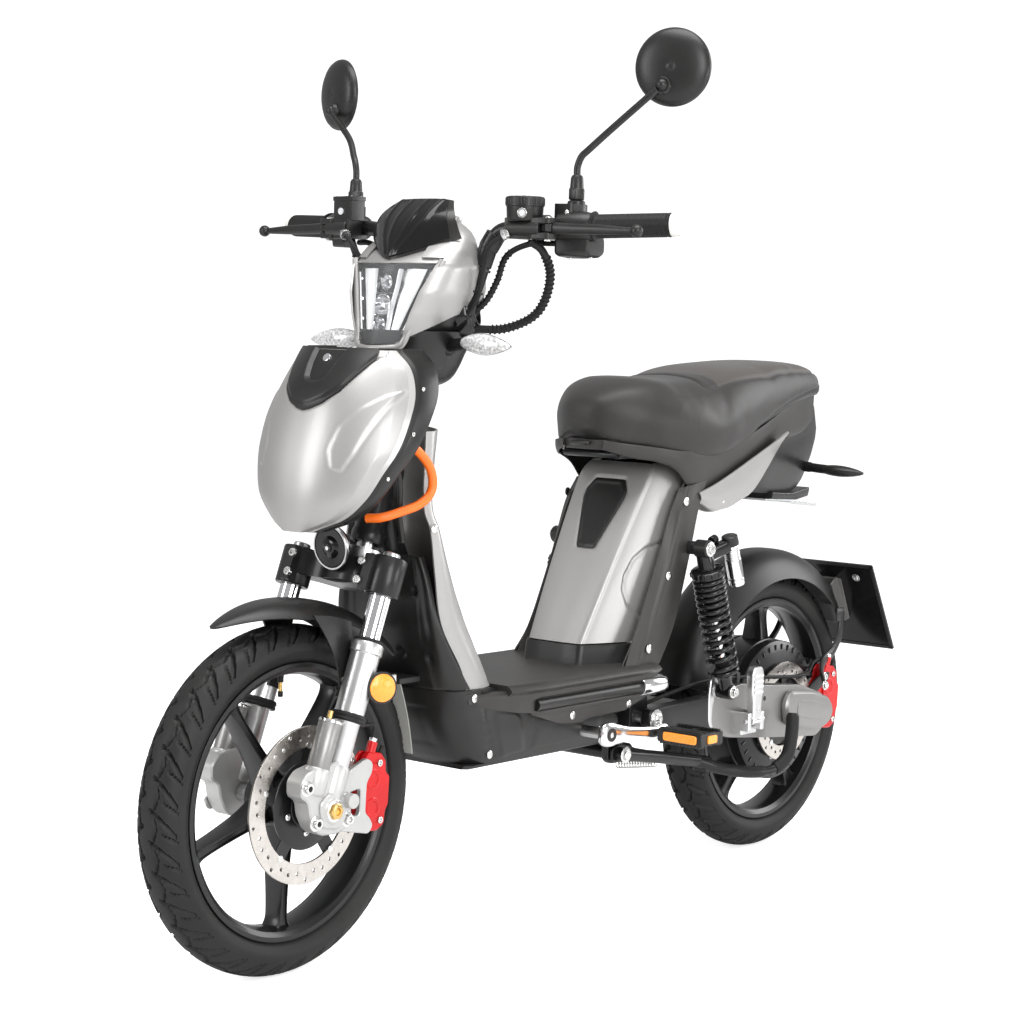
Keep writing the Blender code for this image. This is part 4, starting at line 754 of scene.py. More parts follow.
def disc_piece(name, body, c, x, node, r_out=.1076, r_in=.0790, n=36):
    k_ = r_in / .0790
    def at(r, a):
        return (c[1] + r * math.cos(a), c[2] + r * math.sin(a))
    holes = [circle(at(r_out - (.0065 if k % 2 else .0150) - (.0055 if k % 4 == 1 else 0), 2 * math.pi * k / n), .0027, 12) for k in range(n)]
    out = [at(r_out - .0008 * (1 + math.cos(2 * math.pi * k * 20 / 160)) * 0, 2 * math.pi * k / 160) for k in range(160)]
    holes.append([at(r_in, -2 * math.pi * k / 120) for k in range(120)])
    parts = [("disc", plate(out, x, x + .0035, 0, .0003, holes))]
    # carrier: star with five arms
    star = []
    for k in range(5):
        a0 = 2 * math.pi * k / 5 + .3
        for d, r in ((-.46, .0405), (-.22, .0440), (-.17, .0640), (-.13, .0830), (.13, .0830), (.17, .0640), (.22, .0440), (.46, .0405)):
            star.append(at(r * k_, a0 + d * 1.0))
    parts.append(("wheel", plate(rnd(star, .004, 3), x - .0014, x + .0012, 0, .0004, [circle((c[1], c[2]), .0200, 32)])))
    parts.append(("wheel", turned([(x - .0014, .0200), (x - .0014, .0600 * k_), (x + .0010, .0610 * k_), (x + .0026, .0590 * k_), (x + .0030, .0300), (x + .0040, .0290), (x + .0040, .0200)], 64, (0, c[1], c[2]), ring=True)))
    for k in range(5):
        a0 = 2 * math.pi * k / 5 + .3
        p = np.array([x + .0036, *at(.0815 * k_, a0)])
        parts += [("bolt", turned([(-.002, 0), (-.002, .0046), (.0008, .0046), (.0010, .0038), (.0010, 0)], 18, p, X1))]
        q = np.array([x + .0028, *at(.0375, a0 + .63)])
        parts += [("bolt", b) for b in bolt(q, X1, .0047, .0030, "button")]
    piece(name, body, parts, node, bevel=0)


disc_piece("brake_disc_front", "front_wheel", AXLE_F, .0505, "front_disc")
disc_piece("brake_disc_rear", "rear_wheel", AXLE_B, .0605, "rear_disc", .0840, .0600, 30)


# ----------------------------------------------------------------------- fork
def caliper(c, x0, x1, xc, s=1, r0=.0):
    """Two-piston caliper around the disc at height xc, built behind the axle c."""
    y, z = c[1], c[2] - TYRE_R
    body = [(y + .084, z + .212), (y + .094, z + .196), (y + .104, z + .190), (y + .128, z + .188), (y + .142, z + .196), (y + .144, z + .214), (y + .150, z + .222),
            (y + .152, z + .262), (y + .144, z + .268), (y + .144, z + .284), (y + .134, z + .296), (y + .110, z + .300), (y + .101, z + .292), (y + .096, z + .276), (y + .088, z + .270),
            (y + .084, z + .250)]
    body = rnd(body, .004, 3)
    out = [("red", plate(body, xc + .0038, x1 - .004, 0, .0016)), ("red", plate(body, x0, xc - .0034, 0, .0016))]
    face = rnd([(y + .096, z + .222), (y + .106, z + .204), (y + .124, z + .202), (y + .132, z + .224), (y + .132, z + .262), (y + .122, z + .284), (y + .108, z + .284), (y + .098, z + .262)], .005, 3)
    out.append(("red", plate(face, x1 - .0045, x1 - .0010, 0, .0012)))
    for zz in (.222, .262):
        out.append(("red", turned([(0, 0), (0, .0155), (.0042, .0150), (.0052, .0135), (.0052, .0100), (.0040, .0090), (.0040, 0)], 32, (x1 - .0052, y + .114, z + zz), X1)))
    out += [("red", block(xc - .0080, xc + .0080, y + .1450, y + .1520, z + .228, z + .256, .002))]
    for yy, zz in ((.1475, .236), (.1475, .249)):
        out.append(("bolt", turned([(0, .0030), (.020, .0030)], 10, (xc - .010, y + yy, z + zz), X1)))
    for yy, zz in ((.131, .203), (.128, .283)):
        out += [("bolt", b) for b in bolt((x1 - .0045, y + yy, z + zz), X1, .0048, .0042)]
    # bleed nipple and banjo
    out += [("red", cyl((x1 - .012, y + .118, z + .296), (x1 - .012, y + .124, z + .312), .0068, 18)),
            ("rubber", cyl((x1 - .014, y + .139, z + .291), (x1 - .014, y + .146, z + .303), .0034, 12)),
            ("bolt", cyl((x1 - .012, y + .1230, z + .3105), (x1 - .012, y + .1255, z + .3170), .0062, 6))]
    for zz in (.214, .272):
        out += [("rubber", turned([(0, .0052), (.0015, .0066), (.0045, .0050), (.0060, .0064), (.0090, .0050)], 16, (x0 + .002, y + .148, z + zz), X1))]
    # pads
    for a, b in ((xc - .0034, xc - .0004), (xc + .0039, xc + .0044 + .001)):
        out.append(("steel", plate(rnd([(y + .088, z + .224), (y + .128, z + .218), (y + .136, z + .262), (y + .096, z + .270)], .003, 2), min(a, b), max(a, b), 0, .0004)))
    return out


piece("caliper_front_red", "fork_lower", caliper(AXLE_F, .0440, .0700, .0520), "front_caliper", bevel=.0006, segs=2)
piece("caliper_rear_red", "rear_arm", caliper(AXLE_B + [0, 0, .010], .0560, .0825, .0620), "rear_caliper", bevel=.0006, segs=2)

for s, tag in ((1, "left"), (-1, "right")):
    x = s * FORK_X
    L0 = leg(0, x)
    parts = []
    # slider: lower leg tube, upper cup, wipers
    parts.append(("alloy", turned([(.026, 0), (.026, .0170), (.030, .0178), (.118, .0178), (.120, .0190), (.120, .0232), (.131, .0232), (.1315, .0205), (.214, .0205), (.216, .0225), (.228, .0225),
                                   (.2305, .0210), (.2320, .0182), (.2320, .0156), (.0520, .0156), (.0520, 0)], 48, L0, SA)))
    parts.append(("rubber", turned([(.1195, .0180), (.1195, .0240), (.1220, .0252), (.1250, .0240), (.1275, .0252), (.1315, .0238), (.1315, .0180)], 48, L0, SA, ring=True)))
    parts.append(("rubber", turned([(.2315, .0155), (.2315, .0205), (.2345, .0198), (.2360, .0170), (.2362, .0155)], 48, L0, SA, ring=True)))
    # bottom casting
    cast = rnd([(-.030, .2170), (-.018, .2080), (.012, .2060), (.034, .2140), (.040, .2320), (.036, .2660), (.040, .2780), (.030, .2950), (.014, .3060), (-.006, .3020), (-.018, .3020),
                (-.046, .2960), (-.058, .2840), (-.058, .2640), (-.044, .2560), (-.040, .2360)], .006, 4)
    parts.append(("white_alloy", plate(cast, x - .0150, x + .0150, 0, .0022)))
    cast2 = rnd([(-.020, .2180), (.012, .2130), (.026, .2260), (.024, .2560), (-.006, .2660), (-.026, .2520)], .008, 4)
    parts.append(("white_alloy", plate(cast2, min(x, x + s * .0192), max(x, x + s * .0192), 0, .0020)))
    parts.append(("white_alloy", turned([(.010, .0150), (.016, .0208), (.056, .0212), (.060, .0190)], 40, L0, SA)))
    parts.append(("white_alloy", cyl(AXLE_F + [x - s * .012, 0, 0], AXLE_F + [x + s * .0205, 0, 0], .0190, 36, ch=.002)))
    # side reservoir ahead of the leg
    b0 = leg(.040, x + s * .004, -.036)
    parts.append(("white_alloy", turned([(-.028, .0150), (-.024, .0180), (.004, .0184), (.008, .0165)], 36, b0, SA)))
    parts.append(("grey_alloy", turned([(.004, .0148), (.006, .0156), (.072, .0156), (.0745, .0140), (.0745, .0120), (.0730, .0115), (.0730, 0)], 40, b0, SA)))
    parts.append(("polished", turned([(.0705, .0150), (.0705, .0160), (.0735, .0160), (.0750, .0145), (.0750, .0118)], 40, b0, SA, ring=True)))
    for yy, zz in ((-.048, .276), (-.030, .2265), (.0295, .2500), (.030, .2240)):
        for hh in bolt((x + s * .0150, yy, zz), X1 * s, .0072, .0070, washer=True):
            parts.append(("bolt", hh))
    for yy, zz in ((-.048, .276), (-.030, .2265)):
        parts.append(("rubber", turned([(.0062, 0), (.0062, .0034), (.0066, .0034), (.0066, 0)], 12, (x + s * .0150, yy, zz), X1 * s)))
    parts.append(("white_alloy", turned([(0, .0105), (.0160, .0100)], 24, (x + s * .0120, .0295, .2500), X1 * s)))
    # valve cap on top of the reservoir
    parts.append(("brass", cyl(b0 + SA * .0735 + SB * -.004, b0 + SA * .086 + SB * -.004, .0036, 12)))
    # fender bracket and reflector bracket on the cup
    parts.append(("black", loft([[leg(t, x - s * a, b) for a, b in ((.016, -.012), (.022, -.012), (.022, .012), (.016, .012))] for t in (.150, .172)])))
    if s == 1:
        # lug that carries the caliper
        lug = rnd([(.018, .2060), (.050, .2000), (.098, .1900), (.106, .2010), (.100, .2120), (.090, .2200), (.092, .2620), (.102, .2740), (.104, .2880), (.092, .2960), (.060, .2840), (.030, .2680)], .006, 4)
        lug_h = [rnd([(.050, .2220), (.078, .2180), (.080, .2560), (.054, .2520)], .007, 4)]
        parts.append(("white_alloy", plate(lug, .0702, .0788, 0, .0014, lug_h)))
    # reflector, whose amber lens carries a painted glow
    rc = leg(.176, x + s * .0225, .020) + np.array([s * .004, 0, 0])
    rn = unit([s * .93, -.34, .05])
    piece("reflector_amber_front_" + tag, "fork_lower",
          [("black", turned([(-.0045, 0), (-.0045, .0120), (-.003, .0215), (.0018, .0222), (.0030, .0216), (.0030, .0190), (.0016, .0188), (.0016, 0)], 40, rc, rn)),
           ("amber", turned([(.0010, 0), (.0010, .0192), (.0036, .0190), (.0046, .0178), (.0052, 0)], 40, rc, rn)),
           ("black", cyl(rc - rn * .004, rc - rn * .014, .0060, 12)),
           ("bolt", block(rc[0] - .002, rc[0] + .002, rc[1] + .016, rc[1] + .028, rc[2] + .000, rc[2] + .016))])
    piece("fork_lower_leg_" + tag, "fork_lower", parts, "fork_slider_" + tag, bevel=.0008, segs=2, angle=38)
    # stanchion
    piece("fork_tube_" + tag, "steering", [("chrome", turned([(.092, 0), (.092, .0144), (.0926, .0150), (.3494, .0150), (.3500, .0144), (.3500, 0)], 56, L0, SA)),
                                           ("steel", turned([(.3490, 0), (.3490, .0125), (.3560, .0120), (.3575, .0105), (.3575, .0060), (.3540, .0058), (.3540, 0)], 32, L0, SA))],
          "fork_stanchion_" + tag)

axle_f = [("brass", turned([(.1060, 0), (.1060, .0118), (.1110, .0115), (.1120, .0100), (.1120, .0058), (.1090, .0056), (.1090, 0)], 6, AXLE_F)),
          ("bolt", turned([(.1035, 0), (.1035, .0150), (.1060, .0150), (.1063, .0145), (.1063, 0)], 32, AXLE_F)),
          ("steel", turned([(-.1055, 0), (-.1055, .0075), (.1058, .0075), (.1058, 0)], 24, AXLE_F)),
          ("bolt", turned([(-.1120, 0), (-.1120, .0110), (-.1060, .0120), (-.1058, 0)], 6, AXLE_F)),
          ("steel", turned([(.0492, .0078), (.0492, .0125), (.0690, .0125), (.0690, .0078)], 24, AXLE_F, ring=True)),
          ("steel", turned([(-.0690, .0078), (-.0690, .0125), (-.0480, .0125), (-.0480, .0078)], 24, AXLE_F, ring=True))]
piece("axle_front_bolt", "fork_lower", axle_f, "front_axle")

# fork crown with clamp arms, steerer and races
cr_parts = []
crown_o = [(-.100, -.010), (-.088, -.024), (-.070, -.022), (-.052, -.006), (-.030, -.002), (-.014, -.010), (.014, -.010), (.030, -.002), (.052, -.006), (.070, -.022), (.088, -.024), (.100, -.010),
           (.100, .016), (.070, .030), (.045, .060), (.020, .067), (-.020, .067), (-.045, .060), (-.070, .030), (-.100, .016)]
ro = rnd(crown_o, .010, 4)
cr_parts.append(("frame", loft([[leg(t, a * k, b * (1 if t < .340 else .97)) for a, b in ro] for t, k in ((.3115, .99), (.3130, 1), (.3440, 1), (.3460, .985))])))
for s in (1, -1):
    for lo_, hi_ in ((.296, .350),):
        cr_parts.append(("frame", turned([(lo_, .0158), (lo_, .0228), (lo_ + .002, .0240), (hi_ - .002, .0240), (hi_, .0228), (hi_, .0158)], 44, leg(0, s * FORK_X), SA, ring=True)))
    cr_parts.append(("frame", loft([[leg(t, s * FORK_X + a * s, b) for a, b in ((-.019, -.031), (-.004, -.031), (-.004, -.014), (-.019, -.014))] for t in (.298, .348)])))
    for t in (.309, .336):
        p = leg(t, s * (FORK_X - .0195), -.0255)
        cr_parts += [("bolt", h) for h in bolt(p + [0, -.006, .002], -SB, .0058, .0050)]
    cr_parts += [("bolt", h) for h in bolt(leg(.338, s * .042, .004), SA * .2 - SB, .0050, .0040)]
arch = [leg(.314 - .006 * math.sin(math.pi * k / 10), -.046 + .0092 * k, .004) for k in range(11)]
cr_parts.append(("frame", loft([[p + SB * b + SA * t for b, t in ((-.006, 0), (.026, 0), (.026, .024), (-.006, .024))] for p in arch])))
cr_parts.append(("steel", turned([(.330, .0125), (.640, .0125)], 32, leg(0, 0, .035), SA)))
cr_parts.append(("steel", turned([(.346, .0190), (.350, .0275), (.356, .0290), (.3655, .0290), (.3660, .0200)], 40, leg(0, 0, .035), SA)))
piece("fork_crown", "steering", cr_parts, "steering_stem", bevel=.0012, segs=2, angle=40)

# horn in front of the crown
hc = np.array([0.0, .090, .578])
hn = unit([0, -1, -.12])
piece("horn", "steering", [("gloss_black", turned([(-.016, 0), (-.016, .022), (-.012, .0285), (-.003, .0300), (-.001, .0270), (-.0020, .0160), (.0010, .0120), (.0018, .0060), (.0040, .0055), (.0040, 0)], 48, hc, hn)),
                           ("steel", turned([(-.0055, .0292), (-.0055, .0318), (-.0025, .0322), (-.0008, .0312), (-.0008, .0290)], 48, hc, hn, ring=True)),
                           ("bolt", turned([(.0038, 0), (.0038, .0034), (.0056, .0030), (.0056, 0)], 8, hc, hn)),
                           ("frame", loft([[hc - hn * d + np.array([a, 0, b]) for a, b in ((-.010, -.004), (.010, -.004), (.010, .014), (-.010, .014))] for d in (.012, .030)]))])


# -------------------------------------------------------------------- fenders
def fender_grid(c, r, a0, a1, half, drop, na=72, nu=33, tip=None, ridge=0.0):
    rows = []
    for i in range(na):
        t = i / (na - 1)
        a = math.radians(a0 + (a1 - a0) * t)
        hw, rr0, dk = half, r, 1.0
        if tip:
            got = tip(t, half, r)
            hw, rr0 = got[0], got[1]
            dk = got[2] if len(got) > 2 else 1.0
        row = []
        for j in range(nu):
            u = -1 + 2 * j / (nu - 1)
            rr = rr0 - drop * dk * abs(u) ** 3.2 + ridge * max(0, 1 - abs(u) / .34) ** .8
            row.append((u * hw, c[1] + rr * math.sin(a), c[2] + rr * math.cos(a)))
        rows.append(row)
    return rows


def front_tip(t, half, r):
    k = min(1, t / .38)
    return half * (.05 + .95 * k ** .75), r + .004 * (1 - k), k ** .8


fr = [("black", sheet(fender_grid(AXLE_F, .2720, -28, 42, .052, .022, tip=front_tip), -.0028))]
for s in (1, -1):
    top = [(s * .0500, AXLE_F[1] + .254 * math.sin(math.radians(a)), AXLE_F[2] + .254 * math.cos(math.radians(a))) for a in (2, 12, 22)]
    legp = leg(.168, s * .0612, -.006)
    # side stay: a tapered panel from the fender's edge down to the fork cup
    g = [[(s * .0515, .006, .496), (s * .0520, .040, .492), (s * .0520, .078, .482)],
         [(s * .0560, .030, .460), (s * .0575, .048, .462), (s * .0575, .076, .456)],
         [(s * .0610, .044, .425), (s * .0615, .056, .424), (s * .0615, .070, .418)],
         [(s * .0635, .046, .396), (s * .0640, .056, .395), (s * .0640, .066, .393)]]
    fr.append(("black", sheet(smooth_rows(g, 5, 4), .0028 * s)))
    fr += [("bolt", h) for h in bolt((s * .0665, .0565, .4030), X1 * s, .0055, .0045, washer=True)]
piece("fender_front", "fork_lower", fr, "front_fender", bevel=.0008, segs=2, angle=50)


def rear_tip(t, half, r):
    k = min(1, (1 - t) / .15)
    return half * (.72 + .28 * k ** .6), r
rr_ = [("black", sheet(fender_grid(AXLE_B, .2720, -76, 62, .060, .046, na=128, nu=41, tip=rear_tip), -.0028))]
for s in (1, -1):
    stay = cr([(s * .0605, 1.338, .398), (s * .0640, 1.330, .360), (s * .0680, 1.300, .330), (s * .0760, 1.260, .318), (s * .1000, 1.215, .305), (s * .1290, 1.180, .290)], 8)
    rr_.append(("black", tube(stay, .0085, 12, flat=.38)))
    rr_ += [("bolt", h) for h in bolt((s * .1300, 1.180, .2895), X1 * s, .0055, .0040, washer=True)]
    rr_ += [("black", block(s * .0610, s * .0640, 1.318, 1.342, .380, .404, .003))]
piece("fender_rear", "rear_arm", rr_, "rear_fender", bevel=.0008, segs=2, angle=50)


# ---------------------------------------------------------- handlebar group
riser = cr([(.0, .268, .872), (.040, .270, .874), (.070, .276, .893), (.086, .287, .945), (.096, .297, .992), (.112, .304, 1.018), (.140, .310, 1.024)], 10)
half = riser + [bar(1, d) for d in (.05, .10, .15, .20, .235)]
full = [(-p[0], p[1], p[2]) for p in reversed(half[1:])] + half
hb = [("frame", tube(full, .0110, 24)),
      ("frame", turned([(.6150, .0128), (.6150, .0190), (.6170, .0210), (.6885, .0210), (.6905, .0190), (.6905, .0060), (.6880, .0055), (.6880, 0)], 40, leg(0, 0, .035), SA)),
      ("bolt", turned([(.6890, 0), (.6890, .0080), (.6950, .0080), (.6955, .0070), (.6955, .0045), (.6920, .0042), (.6920, 0)], 24, leg(0, 0, .035), SA))]
for s in (1, -1):
    hb.append(("frame", cyl((s * .018, .268, .856), (s * .018, .268, .888), .0150, 24)))
    # end cap of the bar
    e0 = bar(s, .225)
    hb.append(("white", turned([(.0005, 0), (.0005, .0158), (.003, .0162), (.014, .0140), (.0172, .0108), (.0180, .0090), (.0180, .0050), (.0150, .0045), (.0150, 0)], 40, e0, BAR_DIR[s])))
    hb.append(("bolt", turned([(.0140, 0), (.0140, .0040), (.0160, .0038), (.0160, 0)], 6, e0, BAR_DIR[s])))
    # upper joint collar of the riser
    i = 42
    hb.append(("frame", turned([(-.012, .0113), (-.011, .0145), (.011, .0145), (.012, .0113)], 28, half[44], unit(half[45] - half[43]), ring=True)))
    hb.append(("frame", turned([(-.016, .0113), (-.014, .0135), (.020, .0135), (.022, .0113)], 28, half[38], unit(half[39] - half[37]), ring=True)))
piece("handlebar_tube", "steering", hb, "handlebar", bevel=.0006)


def grip_shape(s):
    """Rubber sleeve with fine ribs, two smooth collars and a flange."""
    prof = [(0, .0121), (0, .0205), (.0030, .0210), (.0045, .0180), (.0060, .0166)]
    for k in range(34):
        t = .0080 + k * .0029
        prof += [(t, .0160), (t + .0006, .01645), (t + .0016, .01645), (t + .0022, .0160)]
    prof += [(.1080, .0160), (.1090, .0166), (.1122, .0166), (.1130, .0155), (.1130, .0121)]
    v, f = turned(prof, 48, bar(s, .112), BAR_DIR[s], ring=True)
    d, c = BAR_DIR[s], bar(s, .112)
    a, b = side_vectors(d)
    out = []
    for p in v:
        q = np.asarray(p) - c
        t = q @ d
        w = math.atan2(q @ b, q @ a)
        r = np.linalg.norm(q - d * t)
        if .007 < t < .108 and r > .0155:
            k = .00035 * math.cos(w * 12)
            q = d * t + (q - d * t) * (1 + k / r)
        out.append(c + q)
    return out, f


piece("grip_rubber_left", "steering", [("rubber", grip_shape(1))], "grip_left")
piece("grip_rubber_right", "throttle", [("rubber", grip_shape(-1))], "throttle_grip")

for s, tag in ((1, "left"), (-1, "right")):
    hood = []
    # clamp on the bar and master cylinder
    hood.append(("black", turned([(.018, .0116), (.018, .0160), (.020, .0174), (.046, .0174), (.048, .0160), (.048, .0116)], 40, bar(s, 0), BAR_DIR[s], ring=True)))
    hood.append(("black", loft([[(s * x, y, z) for x, y in rnd([(.146, .268), (.196, .281), (.197, .306), (.188, .324), (.150, .318)], .006, 3)] for z in (1.0080, 1.0090, 1.0350, 1.0365)])))
    hood.append(("black", cyl((s * .150, .276, 1.022), (s * .199, .287, 1.022), .0118, 28, ch=.0015)))
    if s == 1:
        rc_ = (s * .1680, .2890, 1.033)
        hood.append(("black", turned([(0, 0), (0, .0240), (.0015, .0250), (.0190, .0258), (.0198, .0270), (.0315, .0270), (.0325, .0260), (.0332, .0235), (.0332, 0)], 56, rc_, (0, 0, 1))))
        for k in range(40):
            a = 2 * math.pi * k / 40
            hood.append(("black", cyl((rc_[0] + .0268 * math.cos(a), rc_[1] + .0268 * math.sin(a), 1.0545), (rc_[0] + .0268 * math.cos(a), rc_[1] + .0268 * math.sin(a), 1.0635), .0009, 6)))
        sg = unit([.50, -.86, 0])
        hood.append(("bolt", turned([(.0215, 0), (.0215, .0070), (.0264, .0070), (.0272, .0063), (.0272, .0048), (.0260, .0048), (.0260, 0)], 28, (rc_[0], rc_[1], 1.0430), sg)))
        hood.append(("clear_frost", turned([(.0256, 0), (.0256, .0046), (.0268, .0041), (.0272, 0)], 20, (rc_[0], rc_[1], 1.0430), sg)))
        for a in (.7, 2.2, 3.8, 5.3):
            hood += [("bolt", h) for h in bolt((rc_[0] + .0190 * math.cos(a), rc_[1] + .0190 * math.sin(a), 1.0658), (0, 0, 1), .0024, .0012, "button")]
    else:
        box_o = rnd([(.144, .272), (.192, .284), (.190, .312), (.146, .306)], .005, 3)
        hood.append(("black", loft([[(s * x, y, z) for x, y in box_o] for z in (1.034, 1.0355, 1.0620, 1.0635)])))
        hood.append(("black", loft([[(s * (.168 + (x - .168) * 1.06), .294 + (y - .294) * 1.06, z) for x, y in box_o] for z in (1.0630, 1.0640, 1.0680, 1.0690)])))
        for x, y in ((.150, .279), (.186, .287), (.184, .306), (.151, .300)):
            hood += [("bolt", h) for h in bolt((s * x, y, 1.0689), (0, 0, 1), .0022, .0010, "button")]
        hood.append(("clear_frost", cyl((s * .168, .2775, 1.047), (s * .168, .2745, 1.047), .0050, 24)))
    # lever fork
    for z0, z1 in ((1.0080, 1.0165), (1.0285, 1.0370)):
        hood.append(("black", plate(rnd([(s * .186, .276), (s * .216, .281), (s * .2185, .296), (s * .214, .306), (s * .196, .322), (s * .186, .318)][::s], .005, 3), z0, z1, 2, .0010)))
    hood += [("bolt", h) for h in bolt((LEVER[s][0], LEVER[s][1], 1.0368), (0, 0, 1), .0056, .0030, "button")]
    hood += [("bolt", h) for h in bolt((LEVER[s][0], LEVER[s][1], 1.0084), (0, 0, -1), .0050, .0036, "hex")]
    # clamp screws in front
    for z in (1.0325, 1.0120):
        p = bar(s, .033)
        hood += [("bolt", h) for h in bolt((p[0] + s * .002, p[1] - .0215, z - .0005), (s * .25, -.97, 0), .0042, .0035)]
    hood.append(("black", loft([[tuple(bar(s, .033 + dx) + np.array([0, dy, dz])) for dx, dz in ((-.008, -.014), (.008, -.014), (.008, .014), (-.008, .014))] for dy in (-.0225, -.0150)])))
    # mirror boss
    S = STEM[s]
    hood.append(("black", loft([[(s * x, y, z) for x, y in rnd([(.194, .318), (.220, .326), (.2235, .350), (.219, .366), (.200, .366), (.194, .350)], .006, 3)] for z in (1.0180, 1.0200, 1.0560, 1.0580)])))
    hood.append(("black", turned([(-.0075, .0050), (-.0075, .0118), (-.0062, .0128), (-.0020, .0122), (-.0006, .0100), (-.0006, .0050)], 36, S, (0, 0, 1), ring=True)))
    hood += [("bolt", h) for h in bolt((s * .214, .3235, 1.046), (s * .2, -.98, 0), .0036, .0026, "button")]
    # switch pod or throttle housing
    if s == 1:
        hood.append(("black", turned([(.060, .0116), (.060, .0165), (.063, .0200), (.080, .0212), (.100, .0208), (.1085, .0190), (.1115, .0172), (.1115, .0122)], 48, bar(1, 0), BAR_DIR[1], ring=True)))
        pod = []
        for x, k, dy in ((.196, .86, .000), (.201, 1.0, .001), (.222, 1.0, .006), (.241, .92, .012), (.245, .78, .013)):
            pod.append([(x, .342 + dy + (y - .342) * k, 1.000 + (z - 1.000) * k) for y, z in rnd([(.318, .986), (.352, .983), (.3615, .990), (.3615, 1.014), (.340, 1.030), (.318, 1.022)], .007, 4)])
        hood.append(("black", loft(pod)))
        hood.append(("black", turned([(-.0030, .0068), (-.0030, .0098), (.0022, .0094), (.0030, .0084), (.0030, .0068)], 32, (.224, .3640, .998), (0, 1, 0), ring=True)))
        # rocker and slider switches on the rear face
        hood.append(("red", plate(rnd([(.2285, 1.0070), (.2400, 1.0078), (.2400, 1.0150), (.2285, 1.0142)], .002, 3), .3650, .3705, 1, .0008)))
        hood.append(("grey", plate(rnd([(.2060, 1.0060), (.2190, 1.0068), (.2190, 1.0152), (.2060, 1.0142)], .002, 3), .3610, .3690, 1, .0010)))
        hood.append(("white", plate(rnd([(.2100, 1.0085), (.2150, 1.0088), (.2150, 1.0130), (.2100, 1.0126)], .001, 2), .3688, .3700, 1, .0003)))
        hood += [("bolt", h) for h in bolt((.205, .345, .9835), (0, 0, -1), .0032, .0016, "button")]
        hood += [("bolt", h) for h in bolt((.236, .352, .9855), (0, 0, -1), .0032, .0016, "button")]
    else:
        hood.append(("black", turned([(.060, .0116), (.060, .0175), (.063, .0205), (.088, .0210), (.1000, .0205), (.1085, .0188), (.1112, .0170), (.1112, .0125)], 48, bar(-1, 0), BAR_DIR[-1], ring=True)))
        p = bar(-1, .084)
        hood.append(("black", loft([[tuple(p + BAR_DIR[-1] * d + np.array([0, y, z])) for y, z in rnd([(-.012, -.004), (.014, -.004), (.012, -.030), (-.008, -.030)], .004, 3)] for d in (-.016, -.014, .014, .016)])))
        hood += [("bolt", h) for h in bolt(p + np.array([0, .0205, .002]), (0, 1, 0), .0030, .0015, "button")]
        hood.append(("red", plate(rnd([(-.2300, 1.0370), (-.2180, 1.0370), (-.2180, 1.0450), (-.2300, 1.0450)], .002, 3), .3440, .3560, 1, .0008)))
    # banjo for the hose
    hood.append(("bolt", cyl((s * .1560, .2700, 1.0160), (s * .1480, .2650, 1.0120), .0066, 6)))
    hood.append(("steel", cyl((s * .1520, .2680, 1.0140), (s * .1475, .2660, 1.0120), .0078, 24)))
    piece("brake_master_" + tag, "steering", hood, "switchgear_left" if s == 1 else "brake_perch_right", bevel=.0007, segs=2, angle=36)

    # lever blade
    Lp = LEVER[s]
    pts = cr([Lp + [s * .001, 0, 0], (s * .222, .2930, 1.0228), (s * .245, .2945, 1.0220), (s * .290, .2970, 1.0210), (s * .320, .2993, 1.0202), (s * .3475, .3018, 1.0195)], 6)
    rad = np.interp(np.linspace(0, 1, len(pts)), [0, .12, .3, .6, .85, 1], [.0085, .0085, .0078, .0070, .0052, .0040])
    lv = [("black", tube(pts, list(rad), 20, flat=.72)),
          ("black", turned([(-.0056, .0028), (-.0056, .0085), (-.0046, .0098), (.0046, .0098), (.0056, .0085), (.0056, .0028)], 36, Lp, (0, 0, 1), ring=True)),
          ("black", turned([(.0086 * math.cos(math.pi * k / 14) * -1, .0086 * math.sin(math.pi * k / 14)) for k in range(15)], 28, (s * .3505, .3020, 1.0195), (1, 0, 0))),
          ("black", loft([[Lp + np.array([s * a, b, z]) for a, b in ((-.004, -.008), (.006, -.013), (.012, -.008), (.008, .004))] for z in (-.0050, .0050)]))]
    piece("brake_lever_blade_" + tag, "brake_lever_l" if s == 1 else "brake_lever_r", lv, "brake_lever_" + tag, bevel=.0006)

    # mirror stem
    path = cr([S + [0, 0, .012], (s * .209, .351, 1.095), (s * .2092, .3512, 1.110), (s * .214, .3535, 1.124), (s * .222, .3585, 1.1335), (s * .250, .377, 1.165 - (.000 if s == 1 else .003)),
               BALL[s] - unit(BALL[s] - [s * .214, .353, 1.122]) * .0090], 7)
    st = [("black", tube(path, .0049, 20)),
          ("black", turned([(0, .0108), (.0012, .0118), (.0150, .0118), (.0162, .0108), (.0162, 0)], 6, S, (0, 0, 1))),
          ("black", turned([(.0150, .0070), (.0150, .0098), (.0310, .0086), (.0345, .0064), (.0345, .0045)], 32, S, (0, 0, 1), ring=True)),
          ("black", turned([(.0005, 0), (.0005, .0060), (.0160, .0060), (.0160, 0)], 16, S, (0, 0, 1)))]
    piece("mirror_arm_" + tag, "mirror_arm_l" if s == 1 else "mirror_arm_r", st, "mirror_stem_" + tag, bevel=.0005)

    n = HEAD_N[s]
    R = .054
    dome = [(-.0040, .0500), (-.0040, .0520), (-.0030, .0538), (-.0010, .0543), (.0010, .0541), (.0040, .0532), (.0080, .0500), (.0115, .0440), (.0140, .0370), (.0158, .0280), (.0170, .0180),
            (.0174, .0090), (.0172, .0060), (.0168, .0052), (.0172, .0046), (.0175, 0), (.0100, 0), (.0100, .0300), (.0020, .0480)]
    ball = [(.0084 * -math.cos(math.pi * k / 12), .0084 * math.sin(math.pi * k / 12)) for k in range(13)]
